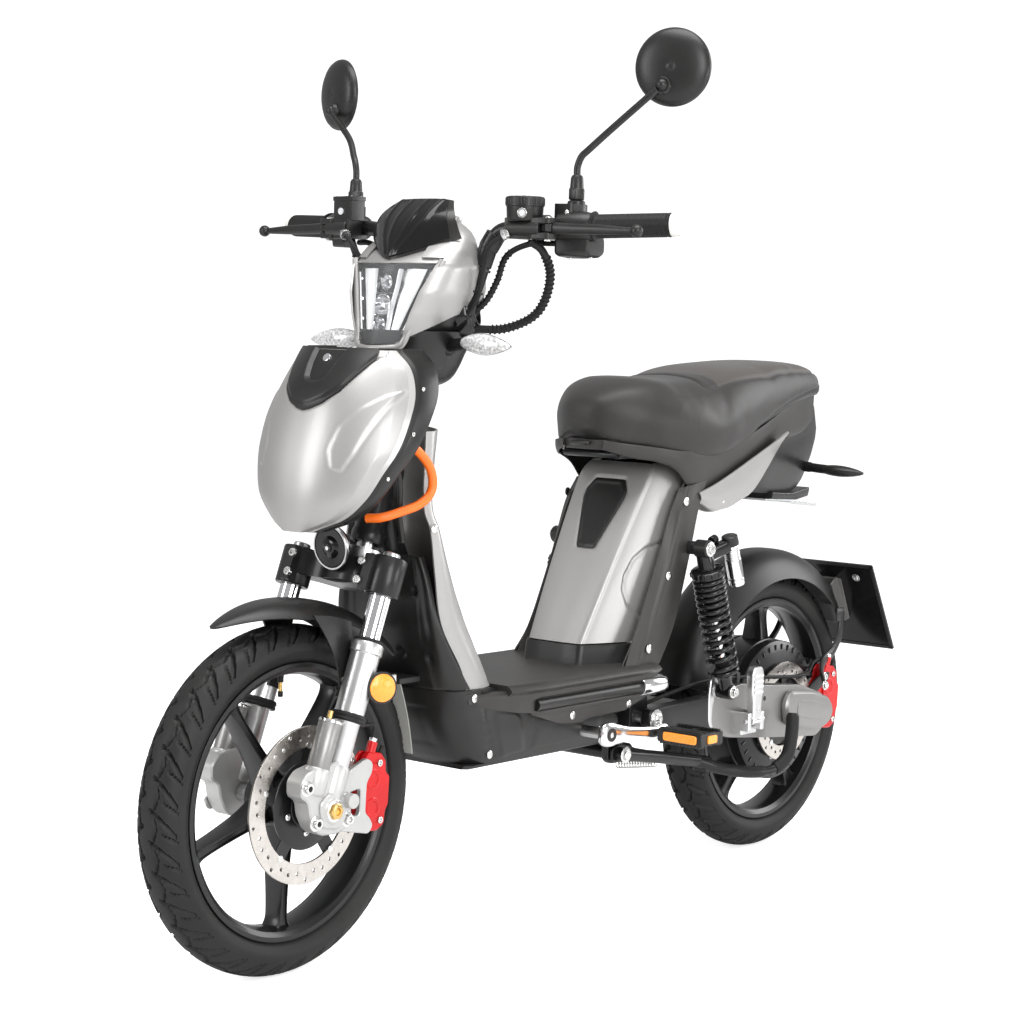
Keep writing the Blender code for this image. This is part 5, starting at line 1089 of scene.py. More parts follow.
    # socket fairing that wraps the ball
    ax = unit(BALL[s] - [s * .214, .353, 1.122])
    hd = [("black", turned(dome, 72, HEAD[s], n, ring=True)),
          ("mirror", turned([(-.0036, 0), (-.0036, .0502), (-.0022, .0506), (-.0022, 0)], 72, HEAD[s], n)),
          ("black", turned(ball, 28, BALL[s], (0, 0, 1))),
          ("black", cyl(BALL[s] + n * .001, BALL[s] - n * .0150, .0110, 28, r2=.0150))]
    w_ = np.cross(n, ax)
    for kk in (-1, 1):
        q = HEAD[s] + n * .0088 + unit([-s * .30, 0, -1]) * .0440 + unit(np.cross(n, unit([-s * .30, 0, -1]))) * kk * .016
        hd += [("rubber", turned([(.0, 0), (.0, .0026), (.0014, .0024), (.0014, .0014), (.0004, .0013), (.0004, 0)], 16, q, n))]
    piece("mirror_shell_" + tag, "mirror_l" if s == 1 else "mirror_r", hd, "mirror_head_" + tag, bevel=.0004)

piece("horn_push", "horn_switch", [("grey", turned([(-.0005, 0), (-.0005, .0058), (.0080, .0058), (.0100, .0050), (.0108, .0036), (.0104, 0)], 36, (.224, .3634, .998), (0, 1, 0)))], "horn_button", bevel=.0004)


# -------------------------------------------------------------- lamp nacelle
def sec_pt(w, y0, y1, a, p=.75):
    ca, sa = math.cos(a), math.sin(a)
    return w * math.copysign(abs(ca) ** p, ca), (y0 + y1) / 2 + (y1 - y0) / 2 * math.copysign(abs(sa) ** p, sa)


NAC = [(.846, .042, .160, .300), (.858, .048, .161, .318), (.868, .054, .163, .330), (.880, .063, .165, .342), (.900, .075, .169, .346), (.930, .088, .176, .345), (.966, .0940, .190, .332), (.990, .0880, .216, .316),
       (1.008, .078, .244, .310), (1.020, .066, .262, .306), (1.028, .048, .276, .302)]
nz = np.array([r[0] for r in NAC])


def nac_row(z):
    v = [float(np.interp(z, nz, [r[k] for r in NAC])) for k in (1, 2, 3)]
    return v


def nac_surface(z_list, a_list, off=0.0):
    rows = []
    for z in z_list:
        w, y0, y1 = nac_row(z)
        rows.append([(*sec_pt(w + off, y0 - off, y1 + off, a), z) for a in a_list])
    return rows


# silver shell: from the left lens edge around the back to the right, open at the front; the rim follows the lens
def lens_half(z):
    return .0785 - (.975 - z) * .345


def rear_limit(z):
    """Angle where the silver shell ends and the black rear begins, so that the seam runs up and back."""
    return math.radians(float(np.interp(z, [.846, .868, .890, .915, .945, .965, 1.0], [-62, -40, -12, 12, 42, 74, 86])))


shell_rows = []
zz_ = list(np.linspace(.850, .978, 34))
for z in zz_:
    w, y0, y1 = nac_row(z)
    lim = lens_half(z)
    # start angle where |x| equals the lens half width on the front side
    cx = min(.985, max(.05, lim / w))
    a0 = math.acos(cx ** (1 / .75))
    rear_lim = rear_limit(z)
    aa = np.linspace(-a0, rear_lim, 34)
    shell_rows.append([(*sec_pt(w, y0, y1, a), z) for a in aa])
nac = []
left_side = sheet(shell_rows, -.0026)
nac += [("silver", left_side), ("silver", mirrored(left_side))]
# dome over the top, behind the screen
dz = [.978, .985, .992, 1.000, 1.008, 1.016, 1.023, 1.029, 1.033, 1.036]
dome_rows = [[(*sec_pt(*nac_row(z), a), z) for a in np.linspace(math.radians(-62), math.radians(242), 68)] for z in dz]
dome_rows.append([(x * .86, .272 + (y - .272) * .86, 1.0385) for x, y, _ in dome_rows[-1]])
dome_rows.append([(x * .5, .272 + (y - .272) * .5, 1.0410) for x, y, _ in dome_rows[-2]])
nac.append(("silver", sheet(dome_rows, -.0022)))
# bright rim round the lens: a folded band
rim_pts_l = []
for z in np.linspace(.9765, .8560, 26):
    rim_pts_l.append((lens_half(z) + .0028, z))


def lens_y(x, z):
    t = (.970 - z) / .115
    w = max(.030, .078 - t * .041)
    return .1880 - .0230 * t + (.0280 - .0120 * t) * min(1.1, abs(x) / w) ** 1.6


path = [(x, lens_y(x, z) - .0005, z) for x, z in rim_pts_l]
bottom = [(x, lens_y(x, .8535) - .001, .8535 - .0022 * (1 - (x / .036) ** 2)) for x in np.linspace(.034, -.034, 14)]
band = cr(path[::3] + [(.036, lens_y(.036, .8545), .8545)] + bottom[2:-2:2] + [(-.036, lens_y(.036, .8545), .8545)] + [(-p[0], p[1], p[2]) for p in reversed(path[::3])], 4)
nac.append(("silver", tube(band, .0052, 14)))
nac.append(("black", tube([(p[0] * .955, p[1] + .0016, p[2] + (.004 if p[2] < .87 else 0)) for p in band], .0034, 10)))
for s in (1, -1):
    p = np.array([*sec_pt(*nac_row(.952), math.radians(18)), .952])
    p[0] *= s
    nac += [("bolt", h) for h in bolt(p + np.array([s * .0004, 0, 0]), (s * .95, .3, 0), .0042, .0016, "button", True)]
piece("nacelle_silver_shell", "steering", nac, "headlight_nacelle", bevel=.0006, segs=2, angle=45)

# black rear and lower housing with its gills and the turn signals
bk = []
lower_rows = []
for z, w, y0, y1 in ((.8015, .024, .222, .286), (.8060, .034, .212, .302), (.815, .043, .203, .314), (.830, .051, .196, .322), (.846, .058, .188, .328), (.862, .064, .182, .336), (.878, .070, .180, .342)):
    lower_rows.append([(*sec_pt(w, y0, y1, a, .8), z) for a in np.linspace(0, 2 * math.pi, 49)])
lr = smooth_rows(lower_rows, 4, 1)
bk.append(("black", sheet(lr, -.0025)))
bk.append(("black", loft([[(*sec_pt(w, .226, .282, a, .8), z) for a in np.linspace(0, 2 * math.pi, 33)[:-1]] for z, w in ((.7995, .018), (.8025, .023))])))
rear_rows = []
for z in np.linspace(.870, 1.0, 22):
    w, y0, y1 = nac_row(z)
    a1 = rear_limit(z)
    aa = np.linspace(a1, math.pi - a1, 30)
    k = .985
    rear_rows.append([(sec_pt(w * k, y0, y1 - .002, a)[0], sec_pt(w * k, y0, y1 - .002, a)[1], z) for a in aa])
bk.append(("black", sheet(rear_rows, -.0025)))
front_rows = []
for z in np.linspace(.820, .850, 8):
    t = (z - .820) / .030
    w, y0 = .030 + .014 * t, .206 - .036 * t
    front_rows.append([(u * w, y0 + .026 * abs(u) ** 2.2, z) for u in np.linspace(-1, 1, 17)])
bk.append(("black", sheet(front_rows, -.0025)))
for s in (1, -1):
    # round grommet where the bar leaves the shell
    g0 = np.array([s * .0660, .2960, .905])
    gd = unit([s * .86, .46, .22])
    for r0 in (.0380, .0330, .0280, .0230):
        bk.append(("gloss_black", turned([(-.014 + (.038 - r0) * .5, r0 - .0042), (-.014 + (.038 - r0) * .5, r0), (.001 + (.038 - r0) * .5, r0), (.004 + (.038 - r0) * .5, r0 - .0022), (.004 + (.038 - r0) * .5, r0 - .0042)], 44, g0, gd, ring=True)))
    # signal stalk and lamp: a leaf with its clear lens to the front
    st_path = cr([(s * .050, .262, .857), (s * .072, .258, .859), (s * .096, .252, .861), (s * .118, .247, .8625)], 6)
    bk.append(("rubber", tube(st_path, [.0098] * 5 + [.0088] * (len(st_path) - 5), 20)))
    bk.append(("black", turned([(-.006, .009), (-.006, .0150), (0, .0140), (.004, .0100)], 28, st_path[3], unit(st_path[5] - st_path[3]), ring=False)))
    rows_b, rows_l = [], []
    for t in np.linspace(0, 1, 19):
        x = s * (.098 + .090 * t)
        yc = .2480 - .0200 * t + .012 * t * t
        hh = .0158 * math.sin(math.pi * min(1, .12 + t * .86)) ** .75 * (1 - .10 * t)
        dd = .0125 * math.sin(math.pi * min(1, .16 + t * .82)) ** .6 * (1 - .25 * t)
        zc = .8630 - .0030 * t
        rows_b.append([(x, yc + .002 + dd * .9 * math.cos(a), zc + hh * math.sin(a)) for a in np.linspace(math.pi * .5 - .02, -math.pi * .5 + .02, 12)] +
                      [(x, yc + .001, zc + hh * .96 * math.sin(a)) for a in np.linspace(-math.pi * .5 + .1, math.pi * .5 - .1, 6)])
        rows_l.append([(x, yc + .001 - dd * math.cos(a), zc + hh * .97 * math.sin(a)) for a in np.linspace(-math.pi * .5 + .02, math.pi * .5 - .02, 12)] +
                      [(x, yc + .0014, zc + hh * .92 * math.sin(a)) for a in np.linspace(math.pi * .5 - .1, -math.pi * .5 + .1, 6)])
    bk.append(("black", loft(rows_b)))
    bk.append(("signal_lens", loft(rows_l)))
for k in range(5):
    for s in (1, -1):
        p0 = np.array([s * (.0500 - .0010 * (3 - k)), .276, .822 + k * .006])
        bk.append(("gloss_black", loft([[p0 + np.array([s * (x + .0), y, z]) for y, z in ((-.006, -.0010), (.006, .0012), (.006, .0026), (-.006, .0004))] for x in (-.004, .0016 - .0006 * abs(k - 2))])))
piece("nacelle_black_housing", "steering", bk, "nacelle_back", bevel=.0005, segs=2, angle=45)

# headlight inside: bowl, three reflector bays, lamp globes and daylight bars
rf = []


def lamp_pt(x, z, back):
    return (x, lens_y(x, z) + back, z)


bowl = [[lamp_pt(u * (lens_half(z) - .0055), z, .030 - .018 * abs(u) ** 3) for u in np.linspace(-1, 1, 25)] for z in np.linspace(.966, .862, 14)]
rf.append(("gloss_black", sheet(smooth_rows(bowl, 2, 1), .0016)))
for s in (1, -1):
    # white reflector panel with a stepped inner edge, brightened by a faint painted glow
    pan = [[lamp_pt(s * x, z, b) for x, b in ((x0, .020), (x0 + (x1 - x0) * .33, .012), (x0 + (x1 - x0) * .66, .009), (x1, .010))] for z, x0, x1 in
           ((.9630, .0250, .0580), (.9500, .0225, .0540), (.9380, .0225, .0500), (.9250, .0190, .0455), (.9050, .0165, .0385), (.8850, .0150, .0320), (.8700, .0150, .0270))]
    rf.append(("lamp_white", sheet(smooth_rows(pan, 5, 6), .0014 * s)))
    side = [[lamp_pt(s * x, z, b) for x, b in ((x0, .010), ((x0 + x1) / 2, .006), (x1, .006))] for z, x0, x1 in ((.9620, .0610, .0700), (.9400, .0555, .0630), (.9150, .0480, .0545), (.8900, .0405, .0460), (.8720, .0350, .0400))]
    rf.append(("smoke_grey", sheet(smooth_rows(side, 5, 5), .0012 * s)))
    for z, x in ((.9480, .0625), (.9200, .0530), (.8920, .0440)):
        rf.append(("chrome", turned([(-.001, 0), (-.001, .0040), (.0012, .0034), (.0018, 0)], 16, lamp_pt(s * x, z, .0058), (0, -1, 0))))
    # daylight bar, sharing the faint painted glow of the white reflector material
    rf.append(("lamp_white", tube([lamp_pt(s * (lens_half(z) - .0058), z, .0035) for z in np.linspace(.958, .874, 10)], .0013, 8)))
    rf.append(("chrome", loft([[lamp_pt(s * (x0 + d), z, b) for d, b in ((-.0022, .016), (.0004, .008), (.0024, .016))] for z, x0 in ((.9630, .0190), (.9380, .0172), (.9050, .0125), (.8700, .0115))])))
for zc, r0 in ((.9440, .0105), (.9120, .0155), (.8840, .0105)):
    yb = lens_y(0, zc) + .012
    rf.append(("chrome", turned([(-.016, r0 * .42), (-.012, r0 * .75), (-.004, r0 * .96), (0, r0), (.0012, r0), (.0012, r0 * .90), (-.004, r0 * .84), (-.012, r0 * .62), (-.015, r0 * .30), (-.015, 0)], 48, (0, yb, zc), (0, -1, 0))))
    rf.append(("clear", turned([(-.006 + r0 * .56 * math.sin(a), r0 * .56 * math.cos(a)) for a in np.linspace(-1.2, math.pi / 2, 12)], 32, (0, yb, zc), (0, -1, 0))))
for z in (.9290, .8980, .8720):
    rf.append(("smoke_grey", loft([[lamp_pt(x, z + dz_, b) for x, b in ((-.0120, .016), (-.0080, .010), (.0080, .010), (.0120, .016))] for dz_ in (-.0012, .0012)])))
piece("headlight_reflector", "steering", rf, bevel=.0004, segs=1, angle=50)
lens = []
for i in range(19):
    t = i / 18
    z = .9700 - t * .1150
    w = lens_half(z) - .001
    y0 = .1862 - .0230 * t
    lens.append([(u * w, y0 + (.0280 - .0120 * t) * abs(u) ** 1.6, z) for u in np.linspace(-1, 1, 25)])
piece("headlight_clear_lens", "steering", [("clear", sheet(lens, -.0022))], "headlight_lens", bevel=.0005, angle=50)

# smoked screen: grey frame below, dark raised fly screen above, with two swept ridges
SC = [(.9755, .0810, .1480, .0400), (.985, .0830, .1530, .0390), (1.000, .0850, .1650, .0370), (1.016, .0820, .1800, .0350), (1.034, .0700, .2010, .0310), (1.050, .0580, .2240, .0270), (1.060, .0480, .2400, .0240)]


def screen_at(u, v, k=1.0, off=0.0):
    """Point of the screen: u across from -1 to 1, v from its swept lower edge to its top."""
    a = abs(u) * k
    lo = np.array([.083 * u * k, .198 + .058 * a ** 1.5, .974 + .033 * a ** 1.25])
    hi = np.array([.0500 * u * k, .268 + .008 * a ** 2, 1.0640 - .0030 * a ** 4])
    p = lo * (1 - v) + hi * v
    bulge = math.sin(math.pi * v) * .011
    return p + np.array([.004 * u * math.sin(math.pi * v), -bulge - off, bulge * .45 + off * .3])


def screen_rows(off=0.0, k=1.0, z0=None, z1=None):
    return np.array([[screen_at(u, v, k, off) for u in np.linspace(-1, 1, 61)] for v in np.linspace(1, 0, 44)])


def screen_relief(G):
    P = np.stack([np.abs(G[..., 0]), G[..., 2]], -1)
    ridge = line_dist(P, [(.012, .988), (.026, 1.010), (.036, 1.034), (.038, 1.060)])
    ridge2 = line_dist(P, [(.000, .984), (.010, 1.006), (.014, 1.036), (.014, 1.060)])
    return .0017 * np.exp(-(ridge / .0034) ** 2) + .0010 * np.exp(-(ridge2 / .0034) ** 2)


piece("screen_frame", "steering", [("smoke_grey", sheet(screen_rows(), -.0026))], "windscreen", bevel=.0006, angle=50)
raised = np.array([[screen_at(u, .05 + .93 * v, .88, .0026) for u in np.linspace(-1, 1, 81)] for v in np.linspace(1, 0, 70)])
piece("screen_smoked", "steering", [("smoke", sheet(raised, -.0022, screen_relief))], bevel=.0007, angle=50)


brow = []
for v in (0, .35, .7, 1):
    row = []
    for u in np.linspace(-.93, .93, 41):
        top = screen_at(u, .02) + np.array([0, .0030, -.0004])
        low = np.array([u * .0800, .1905 + .0270 * abs(u) ** 1.6, .9715])
        row.append(top * (1 - v) + low * v + np.array([0, -.0022 * math.sin(math.pi * v), 0]))
    brow.append(row)
piece("nacelle_brow", "steering", [("silver", sheet(np.array(brow), -.0024))], bevel=.0005, angle=50)


# ------------------------------------------------------------ front bodywork
COVER = [(.852, .087, .086, .122), (.828, .109, .066, .128), (.795, .123, .043, .123), (.760, .130, .028, .106), (.720, .129, .016, .086), (.685, .117, .010, .067),
         (.650, .100, .008, .053), (.622, .070, .010, .045), (.604, .032, .014, .024)]
CT = np.array(cr([np.array(r) for r in COVER], 8))[::-1]


def cover_y(x, z):
    w = np.interp(z, CT[:, 0], CT[:, 1])
    yc = np.interp(z, CT[:, 0], CT[:, 2])
    ye = np.interp(z, CT[:, 0], CT[:, 3])
    return yc + (ye - yc) * np.minimum(1.15, np.abs(x) / w) ** 2.6


def cover_w(z):
    return float(np.interp(z, CT[:, 0], CT[:, 1]))


def insert_edge(ax):
    """Lower edge height of the black insert at sideways distance ax."""
    return float(np.interp(ax, [0, .012, .030, .050, .068, .0755], [.7690, .7715, .7795, .7960, .8300, .8440]))


cz = np.linspace(.852, .604, 130)
crow = []
for z in cz:
    w = cover_w(z)
    crow.append([(u * w, float(cover_y(u * w, z)), z) for u in np.sin(np.linspace(-1, 1, 121) * math.pi / 2)])
crow = np.array(crow)
ST_F = {"pill": [(.0655, .7475), (.0840, .7740), (.1010, .7905), (.1120, .7960), (.1000, .7560), (.0870, .7130), (.0760, .6900), (.0640, .6930), (.0580, .7180)]}


def cover_relief(G):
    P = np.stack([np.abs(G[..., 0]), G[..., 2]], -1)
    h = np.zeros(P.shape[:2])
    d = signed(P, ST_F["pill"])
    h += .0013 * step(d, .0026) - .0005 * np.exp(-((d + .0030) / .0016) ** 2)
    # chamfer crease running round the outer edge
    w = np.interp(P[..., 1], CT[:, 0], CT[:, 1])
    e = w - P[..., 0]
    h -= .0040 * np.clip(1 - e / .016, 0, 1) ** 1.0
    # groove along the insert
    ie = np.interp(P[..., 0], [0, .012, .030, .050, .068, .0755], [.7690, .7715, .7795, .7960, .8300, .8440])
    g = P[..., 1] - ie
    h -= .0030 * step(g + .001, .0016) * (P[..., 0] < .080)
    return h


piece("cover_front_silver", "frame", [("silver", sheet(crow, -.0028, cover_relief))], "front_cover", bevel=.0009, segs=2, angle=45)
ins = []
US_ = np.linspace(-1, 1, 61)
for i in range(40):
    t = i / 39
    row = []
    for u in US_:
        x_lo, x_hi = u * .0750, u * .0750
        zb = insert_edge(abs(u) * .0735)
        z = .8515 * (1 - t) + zb * t
        x = u * .0735
        x = u * min(.0735, np.interp(z, [.769, .7795, .796, .83, .8515], [.080, .080, .080, .0745, .0700]))
        row.append((x, float(cover_y(x, z)), z))
    ins.append(row)
ins = np.array(ins)


def insert_relief(G):
    P = np.stack([np.abs(G[..., 0]), G[..., 2]], -1)
    h = np.full(P.shape[:2], .0006)
    ie = np.interp(P[..., 0], [0, .012, .030, .050, .068, .0755], [.7690, .7715, .7795, .7960, .8300, .8440])
    g = P[..., 1] - ie
    h += .0026 * step(g - .0075, .0030)
    notch = [(0, .8560), (.0300, .8560), (.0235, .8300), (.0170, .8130), (.0105, .8080), (0, .8070)]
    d = signed(P, [(-.03, .8560)] + notch[1:] + [(-.0105, .8080)])
    h -= .0105 * step(d - .003, .007)
    return h


piece("cover_front_insert", "frame", [("black", sheet(ins, -.0026, insert_relief)),
                                      ("chrome", turned([(0, 0), (0, .0062), (.002, .0068), (.0045, .0060), (.0050, .0045), (.0046, 0)], 32, (0, .0800, .8370), (0, -.85, .5)))],
      bevel=.0006, segs=2, angle=45)

# black rear half of the cover
back_rows = []
for z in np.linspace(.8535, .6040, 56):
    w, yc, ye = (float(np.interp(z, CT[:, 0], CT[:, k])) for k in (1, 2, 3))
    t = (z - .604) / (.852 - .604)
    d = .018 + .030 * t
    W1 = w + .0008
    row = [(-(W1 * .90), ye + .010 + d, z), (-(W1 * .985), ye + .006 + d, z), (-W1, ye + d, z), (-(W1 - .0008), ye + .012, z), (-(W1 * .985), ye + .007, z)]
    row += [(u * w * .93, yc + (ye - yc) * abs(u * .95) ** 2.6 + .0075, z) for u in np.linspace(-.96, .96, 21)]
    row += [(-p[0], p[1], p[2]) for p in reversed(row[:5])]
    back_rows.append(row)
bkp = [("black", sheet(np.array(back_rows), -.0028))]
# screws on the cover's flank
for s in (1, -1):
    for z in (.800, .740, .680):
        w, ye = cover_w(z), float(np.interp(z, CT[:, 0], CT[:, 3]))
        bkp += [("bolt", h) for h in bolt((s * (w + .0010), ye + .014, z), X1 * s, .0030, .0012, "button")]
    # strap bracket behind the cover's upper corner
    bkp.append(("black", loft([[(s * x, y, z) for y, z in rnd([(.148, .846), (.164, .848), (.170, .824), (.160, .800), (.148, .800)], .004, 3)] for x in (.0660, .0700)])))
piece("cover_front_rear_half", "frame", bkp, "front_cover_back", bevel=.0008, segs=2, angle=45)

# leg shield: silver column behind the down tube
COL = [(.640, .070, .184, .204, .240), (.600, .080, .188, .209, .247), (.540, .088, .182, .211, .266), (.470, .094, .196, .220, .294), (.405, .098, .220, .259, .331)]
leg_rows = [[(-.056, .222, .738), (-.0555, .240, .738), (-.047, .256, .740), (-.025, .262, .742), (0, .262, .742), (.025, .262, .742), (.047, .256, .740), (.0555, .240, .738), (.056, .222, .738)]]
for z, w, yf, ys, yr in COL:
    leg_rows.append([(-w, ys + .001, z), (-w * .99, (ys + yr) / 2, z), (-w * .80, yr - .006, z), (-w * .4, yr, z), (0, yr, z), (w * .4, yr, z), (w * .80, yr - .006, z), (w * .99, (ys + yr) / 2, z), (w, ys + .001, z)])
# finish the column down to the floor
leg_rows.append([(-.0985, .2720, .372), (-.0980, .3130, .372), (-.0800, .3440, .372), (-.0400, .3520, .372), (0, .3520, .372), (.0400, .3520, .372), (.0800, .3440, .372), (.0980, .3130, .372), (.0985, .2720, .372)])
LG = smooth_rows(leg_rows, 12, 9)


def leg_relief(G):
    P = np.stack([G[..., 1], G[..., 2]], -1)
    side = np.abs(G[..., 0]) > .045
    crease = [(.252, .640), (.262, .600), (.262, .545), (.284, .470), (.312, .412), (.326, .384)]
    d = line_dist(P, crease)
    h = .0012 * np.exp(-(d / .0030) ** 2) * side
    pan = signed(np.stack([G[..., 0], G[..., 2]], -1), [(-.042, .700), (.042, .700), (.056, .560), (.058, .430), (-.058, .430), (-.056, .560)])
    return h - .0016 * step(pan - .002, .003) * (G[..., 1] > .20)


lgp = [("silver", sheet(LG, .0028, leg_relief))]
for s in (1, -1):
    lgp += [("bolt", h) for h in bolt((s * .0815, .2150, .604), (s, -.15, 0), .0042, .0016, "button", True)]
# luggage hook behind the column
hook = cr([(0, .262, .700), (0, .276, .703), (0, .290, .698), (0, .296, .684), (0, .290, .672), (0, .281, .671)], 6)
lgp.append(("black", tube(hook, [.0050] * (len(hook) - 6) + [.0046, .0043, .0040, .0036, .0030, .0022], 14)))
lgp.append(("black", plate(rnd([(-.016, .684), (.016, .684), (.016, .716), (-.016, .716)], .008, 4), .2600, .2650, 1, .0012)))
piece("leg_shield_silver", "frame", lgp, "leg_shield", bevel=.0007, segs=2, angle=45)

# lower front fairing and belly pan
FAIR = [(.560, .070, .201, .211, 0), (.530, .081, .201, .212, 0), (.470, .093, .205, .220, 0), (.405, .098, .221, .259, 0), (.3735, .100, .233, .281, 0)]
up = []
for z, w, yf, ys, _ in FAIR:
    mid = ys - .004
    rear = ys - .0015
    up.append([(-w, rear, z), (-w * .995, mid - .006, z), (-w * .90, (yf + mid) / 2 - .004, z), (-w * .66, yf + .006, z), (-w * .34, yf + .0015, z), (0, yf, z),
               (w * .34, yf + .0015, z), (w * .66, yf + .006, z), (w * .90, (yf + mid) / 2 - .004, z), (w * .995, mid - .006, z), (w, rear, z)])
top_cap = [[(x * .93, y + .004, .5635) for x, y, z in up[0]]]
UG = smooth_rows(top_cap + up, 14, 8)


def dimples(G):
    P = G[..., [0, 2]]
    h = np.zeros(G.shape[:2])
    for s in (1, -1):
        for x, z in ((.0560, .516), (.0700, .418), (.0250, .424)):
            d = np.linalg.norm(P - np.array([s * x, z]), axis=-1)
            h -= .0034 * step(.0062 - d, .0024)
            h += .0005 * np.exp(-((d - .0082) / .0012) ** 2)
    P2 = np.stack([np.abs(G[..., 0]), G[..., 2]], -1)
    h += .0012 * np.exp(-(line_dist(P2, [(.0600, .560), (.0640, .470), (.0660, .372)]) / .0040) ** 2)
    return h


lf = [("black", sheet(UG, -.0028, dimples))]
LOW = [(.3705, .1000, .2345, .2830, .330), (.3490, .0990, .2425, .3000, .400), (.3250, .0925, .2520, .3200, .560), (.2950, .0905, .2700, .3420, .640), (.2680, .0860, .2900, .3660, .640), (.2548, .0815, .3030, .3800, .632)]


def low_row(z, w, yf, ys, yr):
    mid = ys - .006
    n = 12
    r = [(-w, yr + (mid - yr) * k / n, z) for k in range(n)]
    r += [(-w, mid, z), (-w * .94, (yf + mid) / 2, z), (-w * .74, yf + .010, z), (-w * .38, yf + .002, z), (0, yf, z)]
    return r + [(-p[0], p[1], p[2]) for p in reversed(r[:-1])]


LGd = smooth_rows([low_row(.3720, .1000, .2338, .2822, .318)] + [low_row(*r) for r in LOW], 10, 5)


def low_relief(G):
    Q = np.stack([G[..., 1], G[..., 2]], -1)
    x = np.abs(G[..., 0])
    side = x > .060
    h = np.zeros(G.shape[:2])
    seam = [(.303, .3720), (.318, .338), (.335, .300), (.352, .256)]
    d = line_dist(Q, seam)
    h -= .0020 * np.exp(-(d / .0011) ** 2) * side
    pan = signed(Q, [(.345, .333), (.392, .326), (.404, .318), (.420, .268), (.372, .264), (.352, .300)])
    h += .0016 * step(pan, .0030) * side
    low = signed(Q, [(.45, .322), (.60, .318), (.60, .268), (.44, .268)])
    h += .0010 * step(low, .0030) * side
    front = signed(np.stack([G[..., 0], G[..., 2]], -1), [(-.045, .345), (.045, .345), (.034, .285), (-.034, .285)])
    h -= .0014 * step(front, .003) * (G[..., 1] < .31)
    return h


lf.append(("black", sheet(LGd, -.0028, low_relief)))
keel = []
for y, w in ((.3045, .070), (.312, .0785), (.480, .0790), (.618, .0790), (.625, .072)):
    keel.append([(x * w / .079, y, z) for x, z in ((-.0790, .2556), (-.0770, .2520), (-.0730, .2500), (.0730, .2500), (.0770, .2520), (.0790, .2556), (.0740, .2568), (-.0740, .2568))])
lf.append(("black", loft(keel)))
for k in range(6):
    lf.append(("black", block(-.062, .062, .350 + k * .042, .356 + k * .042, .2492, .2510, .0008)))
for s in (1, -1):
    for y, z in ((.290, .359), (.340, .355), (.343, .270), (.545, .305), (.600, .278)):
        w = float(np.interp(z, [.2548, .268, .295, .325, .349, .3705], [.0815, .086, .0905, .0925, .099, .100]))
        lf += [("bolt", h) for h in bolt((s * (w + .0002), y, z), X1 * s, .0040, .0015, "button", True)]
piece("fairing_lower_black", "frame", lf, "lower_fairing", bevel=.0007, segs=2, angle=45)

# footboard: ribbed floor, raised lip, side channel with the frame tube, battery plinth
FB = [(.2880, .0990), (.300, .1016), (.330, .1124), (.370, .1208), (.420, .1250), (.560, .1250), (.700, .1235)]
fb = []
floor_rows = []
for y in np.linspace(.346, .700, 70):
    hw = float(np.interp(y, [r[0] for r in FB], [r[1] for r in FB]))
    floor_rows.append([(u * hw, y, .3620 - .0040 * max(0, (abs(u) - .955) / .045) ** 2) for u in np.concatenate([np.linspace(-1, -.93, 9), np.linspace(-.9, .9, 73), np.linspace(.93, 1, 9)])])


def floor_relief(G):
    x, y = G[..., 0], G[..., 1]
    P = np.stack([np.abs(x), y], -1)
    h = np.zeros(x.shape)
    pads = signed(P, [(.010, .384), (.104, .384), (.108, .400), (.108, .518), (.030, .518), (.010, .500)])
    rib = .5 + .5 * np.cos(P[..., 1] * 2 * math.pi / .0120)
    h += step(pads - .002, .002) * (.0007 + .0011 * step(rib - .35, .4))
    h -= .0008 * np.exp(-(np.abs(pads + .003) / .0013) ** 2)
    rim = signed(P, [(-.01, .352), (.117, .352), (.117, .690), (-.01, .690)])
    h += .0014 * step(-rim, .003) * (np.abs(x) < .124)
    return h


fb.append(("grey", sheet(np.array(floor_rows), -.0110, floor_relief)))
